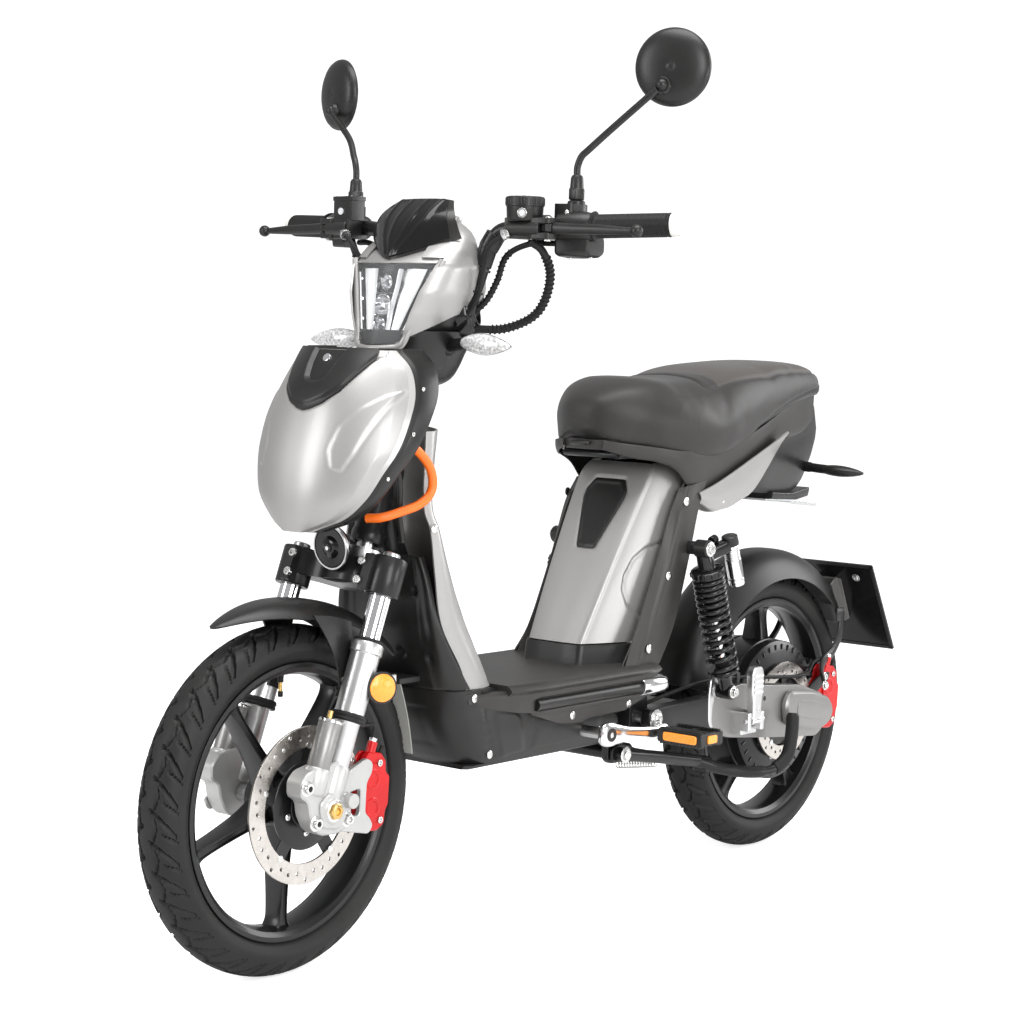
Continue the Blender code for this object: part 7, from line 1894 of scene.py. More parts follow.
# ------------------------------------------------------------ swingarm group
ARM = [(.684, .270), (.700, .263), (.780, .256), (.900, .232), (1.040, .216), (1.165, .204), (1.190, .222), (1.197, .248), (1.180, .276), (1.110, .298), (.965, .312), (.938, .318), (.900, .314),
       (.860, .308), (.716, .303), (.684, .300)]
sw = []
for s in (1, -1):
    lo_, hi_ = sorted((s * .1045, s * .1235))
    sw.append(("frame", plate(rnd(ARM, .010, 5), lo_, hi_, 0, .0024, [circle((.700, .285), .0082, 24), circle((1.157, .240), .0079, 24)])))
    face = [(.848, .262), (.862, .242), (.900, .2328), (1.040, .2165), (1.165, .2045), (1.189, .2220), (1.1965, .248), (1.180, .2755), (1.110, .2975), (.965, .3115), (.938, .3175), (.900, .3135), (.858, .3065), (.850, .296)]
    lo_, hi_ = sorted((s * .1230, s * .1258))
    sw.append(("grey_alloy", plate(rnd(face, .012, 5), lo_, hi_, 0, .0022)))
    ridge = [[(s * .1238, .966, .300), (s * .1248, 1.09, .286), (s * .1238, 1.164, .270)], [(s * .1262, .960, .268), (s * .1275, 1.08, .254), (s * .1262, 1.170, .244)], [(s * .1238, .956, .240), (s * .1248, 1.06, .229), (s * .1238, 1.158, .220)]]
    sw.append(("grey_alloy", sheet(smooth_rows(ridge, 4, 6), -.0016 * s)))
    lug = rnd([(.842, .262), (.860, .240), (.930, .232), (.952, .240), (.955, .276), (.925, .300), (.896, .332), (.876, .346), (.856, .344), (.845, .332), (.840, .300)], .008, 5)
    lo_, hi_ = sorted((s * .1195, s * .1250))
    sw.append(("alloy", plate(lug, lo_, hi_, 0, .0014)))
    sw.append(("alloy", turned([(-.0052, 0), (-.0052, .0130), (.0000, .0140), (.0026, .0130), (.0026, 0)], 32, (s * .1250, .8645, .314), X1 * s)))
    for a, b in ((.905, .914), (.941, .950)):
        sw.append(("alloy", plate(rnd([(a, .245), (b, .245), (b, .275), (a, .275)], .002, 3), min(s * .123, s * .1590), max(s * .123, s * .1590), 0, .0012)))
    sw.append(("alloy", block(s * .123, s * .1450, .905, .950, .238, .250, .003)))
    sw += [("bolt", h) for h in bolt((s * .1535, .9045, .262), (0, -1, 0), .0044, .0026, "hex")]
    sw += [("bolt", h) for h in bolt((s * .1535, .9505, .262), (0, 1, 0), .0044, .0026, "socket")]
    # end cover over the axle nut
    lo_, hi_ = sorted((s * .1250, s * .1404))
    sw.append(("grey_alloy", plate(rnd([(1.052, .238), (1.110, .224), (1.164, .2190), (1.188, .2280), (1.196, .2480), (1.184, .2700), (1.132, .2860), (1.062, .2930), (1.046, .272)], .014, 6), lo_, hi_, 0, .0060)))
    sw.append(("grey_alloy", plate(rnd([(1.078, .250), (1.120, .240), (1.158, .2360), (1.174, .2450), (1.168, .2600), (1.120, .2720), (1.082, .2760)], .009, 5), *sorted((s * .1400, s * .1416)), 0, .0010)))
    # axle adjuster plate
    sw.append(("steel", plate(rnd([(1.128, .228), (1.186, .228), (1.186, .252), (1.128, .252)], .004, 4), *sorted((s * .1238, s * .1280)), 0, .0008, [circle((1.157, .240), .0079, 24)])))
    sw += [("bolt", h) for h in bolt((s * .1240, .700, .285), X1 * s, .0105, .0060, "hex", True)]
    sw.append(("grey_alloy", turned([(.101, .0090), (.101, .0128), (.103, .0135), (.108, .0135), (.110, .0128), (.110, .0090)], 32, (0, .700, .285), X1 * s, ring=True)))
    sw += [("black", cyl((s * .1235, 1.000, .286), (s * .1265, 1.000, .286), .0042, 14))]
sw.append(("grey_alloy", cyl((-.110, .886, .272), (.110, .886, .272), .0120, 28)))
sw.append(("steel", cyl((-.124, .700, .285), (.124, .700, .285), .0080, 24)))
# torque arm from the rear caliper to the swingarm
arm_p = [(1.205, .285), (1.240, .300), (1.262, .300), (1.258, .286), (1.225, .270), (1.180, .252), (1.150, .248), (1.150, .262), (1.180, .268)]
sw.append(("black", plate(rnd(arm_p, .005, 4), .0835, .0885, 0, .0010)))
sw.append(("black", loft([[(x, 1.150 + a, .256 + b) for a, b in ((-.010, -.008), (.012, -.008), (.012, .010), (-.010, .010))] for x in (.0885, .1045)])))
for y, z in ((1.1620, .2580), (1.2440, .2930)):
    sw += [("bolt", h) for h in bolt((.0886, y, z), X1, .0052, .0040, "socket", True)]
piece("swingarm_casting", "rear_arm", sw, "swingarm", bevel=.0008, segs=2, angle=42)
piece("axle_rear_bolt", "rear_arm", [("steel", cyl((-.1275, 1.157, .240), (.1275, 1.157, .240), .0075, 24)), ("steel", turned([(.0590, .0078), (.0590, .0125), (.1040, .0125), (.1040, .0078)], 24, AXLE_B, ring=True)),
                                     ("bolt", turned([(.1285, 0), (.1285, .0180), (.1305, .0180), (.1306, 0)], 32, AXLE_B)), ("bolt", turned([(.1300, 0), (.1300, .0122), (.1375, .0125), (.1385, .0110), (.1385, 0)], 6, AXLE_B)),
                                     ("steel", cyl((.1380, 1.157, .240), (.1400, 1.157, .240), .0072, 20)),
                                     ("bolt", turned([(.1285, 0), (.1285, .0180), (.1305, .0180), (.1306, 0)], 32, AXLE_B, -X1)), ("bolt", turned([(.1300, 0), (.1300, .0125), (.1385, .0125), (.1400, .0110), (.1400, 0)], 6, AXLE_B, -X1))], "rear_axle")

# plate holder: frame, recessed field, bracket with ribs
e_ = unit([0, .0879, -.1563])
n_ = np.array([0, -e_[2], e_[1]])
O_ = np.array([0, 1.3706, .4808])


def on_plate(x, d, h=0.0):
    return O_ + e_ * d + n_ * h + X1 * x


pln = []
LN = .1790
outl = rnd([(-.100, .001), (.100, .001), (.100, LN), (-.100, LN)], .008, 5)


def slab(o, h0, h1, ch=.0006):
    return loft([[on_plate(x, d, h0) for x, d in o], [on_plate(x, d, h1 - ch) for x, d in o], [on_plate(x * .994, .0893 + (d - .0893) * .994, h1) for x, d in o]])


pln.append(("gloss_black", slab(outl, -.0028, -.0006)))
for o in ([(-.100, .001), (.100, .001), (.100, .0075), (-.100, .0075)], [(-.100, LN - .0065), (.100, LN - .0065), (.100, LN), (-.100, LN)], [(-.100, .001), (-.0935, .001), (-.0935, LN), (-.100, LN)], [(.0935, .001), (.100, .001), (.100, LN), (.0935, LN)]):
    pln.append(("black", slab(rnd(o, .002, 2), -.0012, .0000, .0004)))
    pln.append(("black", slab(rnd(o, .002, 2), -.0040, -.0026, .0003)))
for x, d in ((-.060, .030), (.060, .030)):
    pln += [("bolt", h) for h in bolt(on_plate(x, d, -.0028), -n_, .0050, .0026, "button", True)]
    pln += [("bolt", h) for h in bolt(on_plate(x, d, -.0008), n_, .0046, .0016, "button", True)]
for x in (.020, -.020):
    g = rnd([(.030, -.003), (.072, -.0035), (.118, -.0035), (.122, -.0120), (.090, -.0300), (.052, -.0380), (.034, -.0330)], .005, 3)
    pln.append(("grey_alloy", loft([[on_plate(x + dx, d, h) for d, h in g] for dx in (-.0016, .0016)])))
pln.append(("grey_alloy", loft([[on_plate(x, d, h) for x, d in rnd([(-.028, .034), (.028, .034), (.024, .122), (-.024, .122)], .005, 3)] for h in (-.0052, -.0030)])))
pln.append(("black", loft([[on_plate(x, d, h) for x, h in ((-.024, -.036), (.024, -.036), (.024, -.030), (-.024, -.030))] for d in (.030, .070)])))
piece("plate_holder", "rear_arm", pln, "number_plate", bevel=.0006, segs=2, angle=42)

# --------------------------------------------------------------------- shocks
for s, tag in ((1, "left"), (-1, "right")):
    b = "l" if s == 1 else "r"
    T = np.array([s * .142, .7865, .547])
    B = np.array([s * .142, .8645, .314])
    D = unit(B - T)
    E = np.cross(X1, D)
    E = E if E[1] > 0 else -E
    body = [("black", turned([(-.0128, .0058), (-.0128, .0120), (-.0110, .0140), (.0110, .0140), (.0128, .0120), (.0128, .0058)], 36, T, X1, ring=True)),
            ("rubber", turned([(-.0134, .0052), (-.0134, .0092), (.0134, .0092), (.0134, .0052)], 28, T, X1, ring=True)),
            ("gloss_black", turned([(.008, 0), (.008, .0120), (.012, .0135), (.032, .0140), (.0335, .0245), (.0350, .0265), (.0440, .0265), (.0460, .0252), (.0462, .0160), (.0480, .0152), (.1180, .0150), (.1200, .0140), (.1200, .0068), (.0620, .0068), (.0600, 0)], 48, T, D))]
    for k in range(14):
        a = 2 * math.pi * k / 14
        c = T + D * .0395 + (E * math.cos(a) + X1 * math.sin(a)) * .0262
        body.append(("gloss_black", cyl(c - D * .0040, c + D * .0040, .0022, 8)))
    for k in range(9):
        body.append(("steel", turned([(.0500 + k * .0030, .0150), (.0508 + k * .0030, .0157), (.0516 + k * .0030, .0150)], 36, T, D, ring=True)))
    # neck to the reservoir and the reservoir itself
    R0 = T + E * .055 + D * .004 + X1 * s * .012
    body.append(("gloss_black", loft([[T + D * (.012 + a) + E * e + X1 * b_ + X1 * s * .012 * (e / .052) for a, b_ in rnd([(-.010, -.0090), (.010, -.0090), (.010, .0090), (-.010, .0090)], .004, 3)] for e in (.006, .012, .036, .052)])))
    body.append(("black", turned([(-.0060, 0), (-.0060, .0105), (-.0045, .0128), (.0085, .0135), (.0105, .0128), (.0105, .0110)], 40, R0, D)))
    prof = [(.0090, 0), (.0090, .0118)]
    for k in range(6):
        prof += [(.0120 + k * .0035, .0128), (.0136 + k * .0035, .0128), (.0140 + k * .0035, .0120), (.0151 + k * .0035, .0120)]
    prof += [(.0340, .0130), (.0640, .0130), (.0650, .0122), (.0665, .0122), (.0675, .0132), (.0760, .0132), (.0780, .0120), (.0780, .0085), (.0760, .0080), (.0760, 0)]
    body.append(("polished", turned(prof, 44, R0, D)))
    body.append(("gloss_black", cyl(T + E * .022 - D * .004, T + E * .034 - D * .004 + X1 * 0, .0070, 24)))
    body.append(("brass", cyl(R0 + D * .0760, R0 + D * .0815, .0040, 12)))
    piece("shock_upper_" + tag, "shock_" + b, body, "shock_body_" + tag, bevel=.0005)
    rod = [("chrome", turned([(.0900, 0), (.0900, .0060), (.2050, .0060), (.2050, 0)], 32, T, D)),
           ("rubber", turned([(.1860, .0062), (.1860, .0105), (.1900, .0120), (.1960, .0112), (.2030, .0125), (.2050, .0110), (.2050, .0062)], 32, T, D, ring=True)),
           ("gloss_black", turned([(.2045, .0062), (.2045, .0245), (.2060, .0255), (.2095, .0255), (.2120, .0230), (.2160, .0150), (.2230, .0115), (.2400, .0112), (.2400, 0), (.2050, 0)], 44, T, D)),
           ("gloss_black", turned([(-.0128, .0058), (-.0128, .0110), (-.0115, .0125), (.0115, .0125), (.0128, .0110), (.0128, .0058)], 36, B, X1, ring=True)),
           ("rubber", turned([(-.0134, .0048), (-.0134, .0085), (.0134, .0085), (.0134, .0048)], 28, B, X1, ring=True)),
           ("bolt", cyl(B + X1 * s * .0120, B + X1 * s * .0136, .0100, 24)), ("bolt", cyl(B + X1 * s * .0134, B + X1 * s * .0190, .0072, 6)), ("steel", cyl(B - X1 * s * .0120, B + X1 * s * .0210, .0046, 16))]
    piece("shock_lower_" + tag, "shock_rod_" + b, rod, "shock_rod_" + tag, bevel=.0005)
    pts, nT = [], 12.5
    for k in range(int(nT * 30) + 1):
        t = k / (nT * 30)
        a = 2 * math.pi * nT * t
        # closer coils at the top
        L = .0485 + (.2010 - .0485) * (t * .66 + .34 * t ** 2.2)
        pts.append(T + D * L + (E * math.cos(a) + X1 * math.sin(a)) * .0222)
    piece("shock_spring_" + tag, None, [("gloss_black", tube(pts, .0041, 12))],
          blend=("shock_" + b, "shock_rod_" + b, W(T + D * .040), W(T + D * .210)))

# ------------------------------------------------------------- stand and pegs
cs = [("frame", turned([(-.088, .0050), (-.088, .0102), (-.0870, .0110), (.0870, .0110), (.088, .0102), (.088, .0050)], 32, STAND, ring=True))]
for s in (1, -1):
    cs.append(("frame", tube(cr([(s * .079, STAND[1], STAND[2]), (s * .079, .760, .213), (s * .080, .840, .198), (s * .080, .905, .186)], 8), .0100, 24)))
    cs.append(("frame", loft([[(s * .080 + x, .884 + y, z) for x, y in rnd([(-.014, 0), (.014, 0), (.016, .034), (-.016, .034)], .005, 4)] for z in (.1735, .1755, .1790, .1800)])))
    cs.append(("rubber", loft([[(s * .080 + x, .886 + y, z) for x, y in rnd([(-.012, 0), (.012, 0), (.013, .030), (-.013, .030)], .005, 4)] for z in (.1705, .1736)])))
    # side gusset that turns on the pivot
    cs.append(("frame", plate(rnd([(.655, .215), (.690, .214), (.740, .206), (.742, .222), (.700, .238), (.672, .243), (.655, .238)], .006, 4), min(s * .0700, s * .0745), max(s * .0700, s * .0745), 0, .0010)))
    cs += [("bolt", h) for h in bolt((s * .0882, STAND[1], STAND[2]), X1 * s, .0085, .0050, "hex", True)]
cs.append(("frame", cyl((-.078, .800, .205), (.078, .800, .205), .0080, 20)))
lever = cr([(.080, .878, .191), (.100, .912, .178), (.130, .950, .171), (.152, .990, .173), (.160, 1.020, .192), (.160, 1.032, .226), (.158, 1.037, .262)], 9)
cs.append(("frame", tube(lever, [.0100] * 24 + [.0078] * (len(lever) - 24), 20)))
cs.append(("rubber", tube(lever[28:], [.0095] + [.0108] * (len(lever[28:]) - 3) + [.0100, .0070], 20)))
spr = []
for k in range(12 * 14 + 1):
    t = k / (12 * 14)
    a = 2 * math.pi * 14 * t
    p = np.array([.058, .690, .206]) * (1 - t) + np.array([.062, .785, .196]) * t
    spr.append(p + np.array([math.cos(a), 0, math.sin(a)]) * .0052)
cs.append(("bolt", tube(spr, .0011, 6)))
piece("centre_stand_frame", "stand", cs, "centre_stand", bevel=.0006)

for s, tag in ((1, "left"), (-1, "right")):
    p = PEG[s]
    pg = [("polished", cyl(p - [0, .0122, 0], p + [0, .0122, 0], .0078, 28)), ("steel", cyl(p - [0, .0270, 0], p + [0, .0260, 0], .0030, 12)),
          ("alloy", loft([[(p[0] + a, p[1] + b, z) for a, b in rnd([(-.0062, -w), (.0062, -w), (.0075, -w * .4), (.0075, w * .4), (.0062, w), (-.0062, w)], .0022, 3)]
                         for z, w in ((.2625, .0110), (.2680, .0118), (.2900, .0118), (.2990, .0125), (.3060, .0155), (.3200, .0165), (.3360, .0165), (.3430, .0145), (.3475, .0105), (.3490, .0070))]))]
    for k in range(4):
        pg.append(("polished", loft([[(p[0] + s * x, p[1] + y, .3080 + k * .0088 + z) for y, z in ((-.0125, -.0016), (.0125, -.0016), (.0125, .0016), (-.0125, .0016))] for x in (.0072, .0084)])))
    pg += [("bolt", h) for h in bolt(p + np.array([s * .0070, 0, .018]), X1 * s, .0040, .0022)]
    piece("peg_folding_" + tag, "peg_l" if s == 1 else "peg_r", pg, "peg_" + tag, bevel=.0009, segs=2)

    q = PEDAL[s]
    x0, x1 = sorted((s * .1470, s * .2290))
    pd = []
    for dy in (-1, 1):
        cage = rnd([(q[1] + dy * .0200, q[2] - .0120), (q[1] + dy * .0290, q[2] - .0095), (q[1] + dy * .0300, q[2] + .0095), (q[1] + dy * .0210, q[2] + .0122)], .0022, 3)
        pd.append(("black", plate(cage, x0, x1, 0, .0012)))
        # amber side reflectors, with the painted glow of the amber material
        rl = plate(rnd([(x0 + .0120, q[2] - .0068), (x1 - .0080, q[2] - .0068), (x1 - .0080, q[2] + .0068), (x0 + .0120, q[2] + .0068)], .0045, 4), *sorted((q[1] + dy * .0288, q[1] + dy * .0318)), 1, .0010)
        pd.append(("amber", rl))
        for k in range(12):
            xx = x0 + .006 + k * (x1 - x0 - .012) / 11
            pd.append(("black", loft([[(xx + a, q[1] + dy * b, q[2] + z) for a, b in ((-.0014, .0205), (.0014, .0205), (.0014, .0285), (-.0014, .0285))] for z in (-.0126, .0126)])))
    for xx in (x0 + .0006, (x0 + x1) / 2 - .004, x1 - .0086):
        pd.append(("black", loft([[(xx + a, q[1] + y, q[2] + z) for y, z in rnd([(-.0220, -.0095), (.0220, -.0095), (.0220, .0095), (-.0220, .0095)], .003, 3)] for a in (0, .0080)])))
    pd.append(("black", cyl((x0 + .001, q[1], q[2]), (x1 - .001, q[1], q[2]), .0105, 28)))
    ox = x1 if s == 1 else x0
    # amber end reflector, also with the painted glow
    pd.append(("amber", plate(rnd([(q[1] - .0120, q[2] - .0062), (q[1] + .0120, q[2] - .0062), (q[1] + .0120, q[2] + .0062), (q[1] - .0120, q[2] + .0062)], .004, 4), *sorted((ox - s * .0010, ox + s * .0018)), 0, .0006)))
    piece("pedal_block_" + tag, "pedal_l" if s == 1 else "pedal_r", pd, "pedal_" + tag, bevel=.0006)

ck = [("steel", turned([(-.1380, 0), (-.1380, .0078), (-.1360, .0088), (.1360, .0088), (.1380, .0078), (.1380, 0)], 32, CRANK))]
for s in (1, -1):
    c, q = np.array([s * .1360, CRANK[1], CRANK[2]]), PEDAL[s]
    d = unit([0, q[1] - c[1], q[2] - c[2]])
    u_ = np.array([0, -d[2], d[1]])
    Lc = float(np.linalg.norm([q[1] - c[1], q[2] - c[2]]))
    rings = []
    for t, w, h, off in ((-.020, .0060, .0030, 0), (-.017, .0130, .0055, 0), (-.008, .0180, .0072, 0), (.006, .0185, .0075, 0), (.022, .0150, .0064, .001), (.045, .0115, .0056, .0035), (.090, .0098, .0052, .0045), (Lc - .022, .0098, .0050, .003),
                         (Lc - .008, .0125, .0054, .0015), (Lc + .004, .0130, .0054, .001), (Lc + .011, .0085, .0040, .001), (Lc + .0135, .0040, .0022, .001)):
        ce = c + d * t + X1 * s * off
        rings.append([ce + u_ * (w * math.copysign(abs(math.cos(a)) ** .7, math.cos(a))) + X1 * (h * math.copysign(abs(math.sin(a)) ** .7, math.sin(a))) for a in np.linspace(0, 2 * math.pi, 29)[:-1]])
    dense = [cr([np.array(r[j]) for r in rings], 5) for j in range(len(rings[0]))]
    ck.append(("polished", loft([[dense[j][i] for j in range(len(dense))] for i in range(len(dense[0]))])))
    ck.append(("black", turned([(.0068, .0048), (.0068, .0098), (.0080, .0104), (.0088, .0098), (.0088, .0048)], 36, c, X1 * s, ring=True)))
    ck.append(("bolt", turned([(.0060, 0), (.0060, .0064), (.0074, .0064), (.0080, .0056), (.0080, .0034), (.0058, .0030), (.0058, 0)], 24, c, X1 * s)))
    ck.append(("steel", cyl((s * .1380, q[1], q[2]), (s * .2160, q[1], q[2]), .0055, 20)))
    ck.append(("bolt", turned([(0, .0060), (0, .0078), (.0040, .0078), (.0040, .0060)], 6, (s * .1425, q[1], q[2]), X1 * s, ring=True)))
teeth = []
for k in range(22):
    a0 = 2 * math.pi * k / 22
    for dlt, r in ((-.28, .0430), (-.12, .0478), (.12, .0478), (.28, .0430), (.5, .0422)):
        a = a0 + dlt * 2 * math.pi / 22
        teeth.append((CRANK[1] + r * math.cos(a), CRANK[2] + r * math.sin(a)))
hl = [circle((CRANK[1] + .0290 * math.cos(a), CRANK[2] + .0290 * math.sin(a)), .0065, 16) for a in (.3, 1.557, 2.813, 4.07, 5.327)]
ck.append(("chain", plate(teeth, -.0990, -.0970, 0, .0004, hl)))
ck.append(("steel", turned([(-.1030, .0088), (-.1030, .0160), (-.0930, .0160), (-.0930, .0088)], 28, CRANK, ring=True)))
piece("crank_arms", "crank", ck, "crankset", bevel=.0006, segs=2, angle=40)

# chain: alternating inner and outer link pairs with rollers
c0, c1 = np.array([CRANK[1], CRANK[2]]), np.array([WHEELBASE, TYRE_R])
ua = unit(c1 - c0)
va = np.array([-ua[1], ua[0]])
CR_, FR_ = .0472 + .0028, .0355 + .0028
loop = [c0 + (-ua * math.cos(a) - va * math.sin(a)) * CR_ for a in np.linspace(-math.pi / 2, math.pi / 2, 60)] + [c1 + (ua * math.cos(a) + va * math.sin(a)) * FR_ for a in np.linspace(-math.pi / 2, math.pi / 2, 60)]
loop.append(loop[0])
Lp_ = np.array(loop)
sl = np.concatenate([[0], np.cumsum(np.linalg.norm(np.diff(Lp_, axis=0), axis=1))])
nl = int(round(sl[-1] / .0127 / 2)) * 2
pins = [np.array([np.interp(sl[-1] * k / nl, sl, Lp_[:, 0]), np.interp(sl[-1] * k / nl, sl, Lp_[:, 1])]) for k in range(nl)]
ch = []
for k in range(nl):
    a, b = pins[k], pins[(k + 1) % nl]
    d = unit(b - a)
    nrm = np.array([-d[1], d[0]])
    o = []
    for t, w in ((-.0030, .0020), (-.0010, .0036), (.0030, .0034), (.0064, .0022), (.0097, .0034), (.0137, .0036), (.0157, .0020)):
        o.append(a + d * t + nrm * w)
    o += [a + d * t - nrm * w for t, w in ((.0157, .0020), (.0137, .0036), (.0097, .0034), (.0064, .0022), (.0030, .0034), (-.0010, .0036), (-.0030, .0020))]
    off = .0026 if k % 2 else .0036
    for sx in (1, -1):
        x = -.0980 + sx * off
        verts = [(xx, p[0], p[1]) for xx in (x - .0004, x + .0004) for p in o]
        n = len(o)
        faces = [(i, (i + 1) % n, n + (i + 1) % n, n + i) for i in range(n)] + [tuple(reversed(range(n))), tuple(range(n, 2 * n))]
        ch.append(("chain", (verts, faces)))
    ch.append(("chain", turned([(-.0042, 0), (-.0042, .0016), (-.0024, .0016), (-.0024, .0028), (.0024, .0028), (.0024, .0016), (.0042, .0016), (.0042, 0)], 8, (-.0980, a[0], a[1]))))
chain = piece("roller_chain", None, ch, "drive_chain", blend=("frame", "rear_arm", W((-.098, .62, .28)), W((-.098, 1.12, .25))))

# -------------------------------------------------------------- cables, hoses
hs = []


def wrap(path, r, turns):
    """Spiral wrap on a cable."""
    P = [np.asarray(p) for p in path]
    Ls = np.concatenate([[0], np.cumsum([np.linalg.norm(b - a) for a, b in zip(P, P[1:])])])
    out, a0 = [], None
    n = turns * 14
    A = np.array(P)
    for k in range(n + 1):
        l = Ls[-1] * k / n
        c = np.array([np.interp(l, Ls, A[:, j]) for j in range(3)])
        c2 = np.array([np.interp(min(Ls[-1], l + .002), Ls, A[:, j]) for j in range(3)])
        c1_ = np.array([np.interp(max(0, l - .002), Ls, A[:, j]) for j in range(3)])
        t = unit(c2 - c1_)
        a0 = side_vectors(t)[0] if a0 is None else unit(a0 - t * float(a0 @ t))
        b = np.cross(t, a0)
        w = 2 * math.pi * turns * k / n
        out.append(c + (a0 * math.cos(w) + b * math.sin(w)) * r)
    return out


for s in (1, -1):
    main = cr([(s * .168, .300, 1.006), (s * .178, .318, .992), (s * .1780, .336, .962), (s * .1650, .342, .925), (s * .1450, .338, .900), (s * .1150, .318, .884), (s * .0850, .296, .882), (s * .0550, .276, .884)], 8)
    hs.append(("rubber", tube(main, .0056, 16)))
    hs.append(("rubber", tube(wrap(main[10:46], .0062, 26), .0011, 6)))
    second = cr([(s * .1500, .2680, 1.012), (s * .1300, .262, .998), (s * .1120, .270, .965), (s * .1020, .272, .930), (s * .0860, .270, .905), (s * .0600, .272, .890)], 8)
    hs.append(("rubber", tube(second, .0034, 14)))
    third = cr([(s * .188, .338, 1.004), (s * .150, .322, 1.002), (s * .1150, .316, .985), (s * .1040, .310, .950), (s * .0930, .298, .920), (s * .0700, .282, .895)], 8)
    hs.append(("rubber", tube(third, .0042, 14)))
    hs.append(("rubber", tube(wrap(third[14:38], .0047, 16), .0009, 6)))
    for k in (46, 52):
        hs.append(("black", turned([(-.0015, .0122), (-.0015, .0136), (.0015, .0136), (.0015, .0122)], 24, half[k - 18], unit(half[k - 17] - half[k - 19]), ring=True)))
piece("cables_handlebar", "steering", hs)
oc = cr([(.060, .120, .720), (.070, .150, .7235), (.078, .164, .7215), (.080, .186, .707), (.081, .203, .689), (.081, .2095, .668), (.080, .204, .651), (.078, .184, .638), (.072, .157, .630), (.060, .130, .622), (.040, .120, .620)], 8)
piece("power_cable_orange", "frame", [("orange", tube(oc, .0064, 20)), ("black", tube(cr([(.050, .135, .735), (.062, .152, .70), (.060, .165, .66), (.058, .168, .62), (.055, .178, .585)], 8), .0045, 14)),
                                      ("black", tube(cr([(.040, .140, .735), (.050, .160, .70), (.046, .172, .66), (.044, .176, .62), (.045, .186, .585)], 8), .0032, 12))])
bh = cr([leg(.330, .030, .052), leg(.290, .052, .044), leg(.240, .064, .030), leg(.190, .0600, .030), leg(.130, .0580, .050), (.0590, .122, .335), (.0585, .123, .318)], 8)
piece("brake_hose_front", None, [("rubber", tube(bh, .0030, 12))], blend=("steering", "fork_lower", W(leg(.320)), W(leg(.200))))
rbh = cr([(.076, .735, .300), (.096, .780, .316), (.098, .860, .325), (.098, .960, .322), (.098, 1.080, .310), (.090, 1.180, .304), (.074, 1.230, .318), (.0705, 1.279, .324)], 8)
piece("brake_hose_rear", "rear_arm", [("rubber", tube(rbh, .0030, 12)), ("rubber", tube(cr([(-.050, .80, .30), (-.096, .860, .322), (-.094, .98, .325), (-.080, 1.10, .300), (-.074, 1.145, .262)], 8), .0040, 12)),
                                      ("black", block(.0940, .1020, .952, .962, .314, .330, .001))])
flap = [[(x, .188 + .030 * t + .004 * math.sin(t * 3), .390 - .108 * t) for x in np.linspace(-.048, .048, 9)] for t in np.linspace(0, 1, 9)]
piece("mud_flap", "frame", [("translucent", sheet(smooth_rows(flap, 3, 3), .0016)), ("black", block(-.050, .050, .186, .2290, .384, .392, .001))])


# ------------------------------------------------------------ stage and camera
def stage_material(name, rgb, rough):
    m = bpy.data.materials.new(name)
    m.use_nodes = True
    nt = m.node_tree
    p = nt.nodes["Principled BSDF"]
    n = nt.nodes.new("ShaderNodeTexNoise")
    n.inputs["Scale"].default_value = 3
    r = nt.nodes.new("ShaderNodeValToRGB")
    r.color_ramp.elements[0].color = (*[c * .995 for c in rgb], 1)
    r.color_ramp.elements[1].color = (*rgb, 1)
    nt.links.new(n.outputs["Fac"], r.inputs["Fac"])
    nt.links.new(r.outputs["Color"], p.inputs["Base Color"])
    p.inputs["Roughness"].default_value = rough
    p.inputs["Emission Color"].default_value = (1, 1, 1, 1)
    lp = nt.nodes.new("ShaderNodeLightPath")
    k = nt.nodes.new("ShaderNodeMath")
    k.operation = "MULTIPLY"
    k.inputs[1].default_value = .66
    nt.links.new(lp.outputs["Is Camera Ray"], k.inputs[0])
    nt.links.new(k.outputs[0], p.inputs["Emission Strength"])
    return m


fl = bpy.data.meshes.new("studio_floor")
segs = []
prof = [(-40, 0), (-8, 0), (8, 0), (60, 0)]
fl.from_pydata([(x, y, z) for x in (-60, 60) for y, z in prof], [], [(i, i + 1, len(prof) + i + 1, len(prof) + i) for i in range(len(prof) - 1)])
floor = bpy.data.objects.new("studio_floor", fl)
bpy.context.scene.collection.objects.link(floor)
fl.materials.append(stage_material("studio_white", (.90, .90, .90), .55))
fl.shade_smooth()
floor.rotation_euler = (0, 0, math.radians(39.2))

world = bpy.data.worlds.new("studio")
bpy.context.scene.world = world
world.use_nodes = True
bg = world.node_tree.nodes["Background"]
bg.inputs["Color"].default_value = (1, 1, 1, 1)
lpw = world.node_tree.nodes.new("ShaderNodeLightPath")
mr = world.node_tree.nodes.new("ShaderNodeMapRange")
mr.inputs["To Min"].default_value, mr.inputs["To Max"].default_value = .50, 1.15
world.node_tree.links.new(lpw.outputs["Is Camera Ray"], mr.inputs["Value"])
world.node_tree.links.new(mr.outputs["Result"], bg.inputs["Strength"])


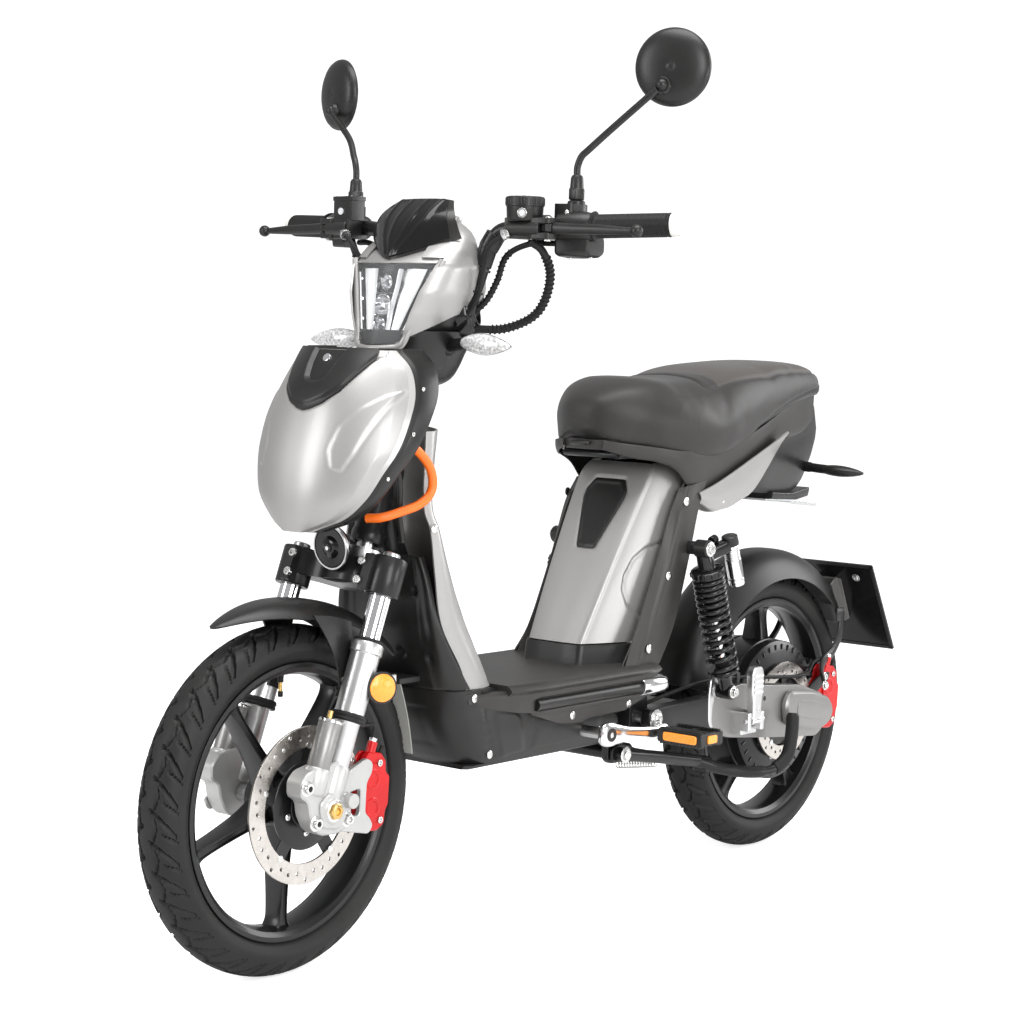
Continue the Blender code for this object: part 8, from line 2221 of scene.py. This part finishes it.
def area(name, loc, target, size, power, sy=None):
    d = bpy.data.lights.new(name, "AREA")
    d.energy, d.size = power, size
    if sy:
        d.shape, d.size_y = "RECTANGLE", sy
    o = bpy.data.objects.new(name, d)
    o.location = loc
    o.rotation_euler = (Vector(target) - Vector(loc)).to_track_quat("-Z", "Y").to_euler()
    bpy.context.scene.collection.objects.link(o)
    return o


area("key_top", (.6, -.4, 3.4), (0, 0, .5), 2.6, 100, 1.8)
area("front_left", (3.6, -2.0, 1.9), (0, 0, .5), 1.7, 110, 2.4)
area("side_low", (3.2, 1.0, .8), (0, 0, .4), 1.2, 26, 1.0)
area("front_right", (-1.6, -3.8, 1.8), (0, -.3, .6), 1.2, 66, 2.4)
area("rear_fill", (1.6, 3.4, 1.8), (0, .3, .6), 1.5, 60, 2.0)

cam = bpy.data.cameras.new("camera")
cam.sensor_width, cam.lens = 36, 84.5
cam.clip_start, cam.clip_end = .05, 100
co = bpy.data.objects.new("camera", cam)
az, el, roll = math.radians(39.21), math.radians(4.7586), math.radians(1.5664)
Bv = np.array([math.sin(az) * math.cos(el), -math.cos(az) * math.cos(el), math.sin(el)])
rt = np.array([math.cos(az), math.sin(az), 0])
upv = np.cross(Bv, rt)
Rr = rt * math.cos(roll) + upv * math.sin(roll)
Uv = -rt * math.sin(roll) + upv * math.cos(roll)
loc = (2.270603, -2.298490 + YO, .907412)
co.matrix_world = Matrix(((Rr[0], Uv[0], Bv[0], loc[0]), (Rr[1], Uv[1], Bv[1], loc[1]), (Rr[2], Uv[2], Bv[2], loc[2]), (0, 0, 0, 1)))
bpy.context.scene.collection.objects.link(co)
bpy.context.scene.camera = co
bpy.context.scene.view_settings.view_transform = "Standard"

# every CAD node that still shows carries a node material too
for n, o in frame["nodes"].items():
    if not o.hide_render:
        slot_name = next((r["material_slot"] for r in frame["record"]["subparts"] if r["node"] == n), "black_plastic")
        key = next((k for k, v in SLOT.items() if v == slot_name), "black")
        o.data.materials.clear()
        o.data.materials.append(MATS[key])
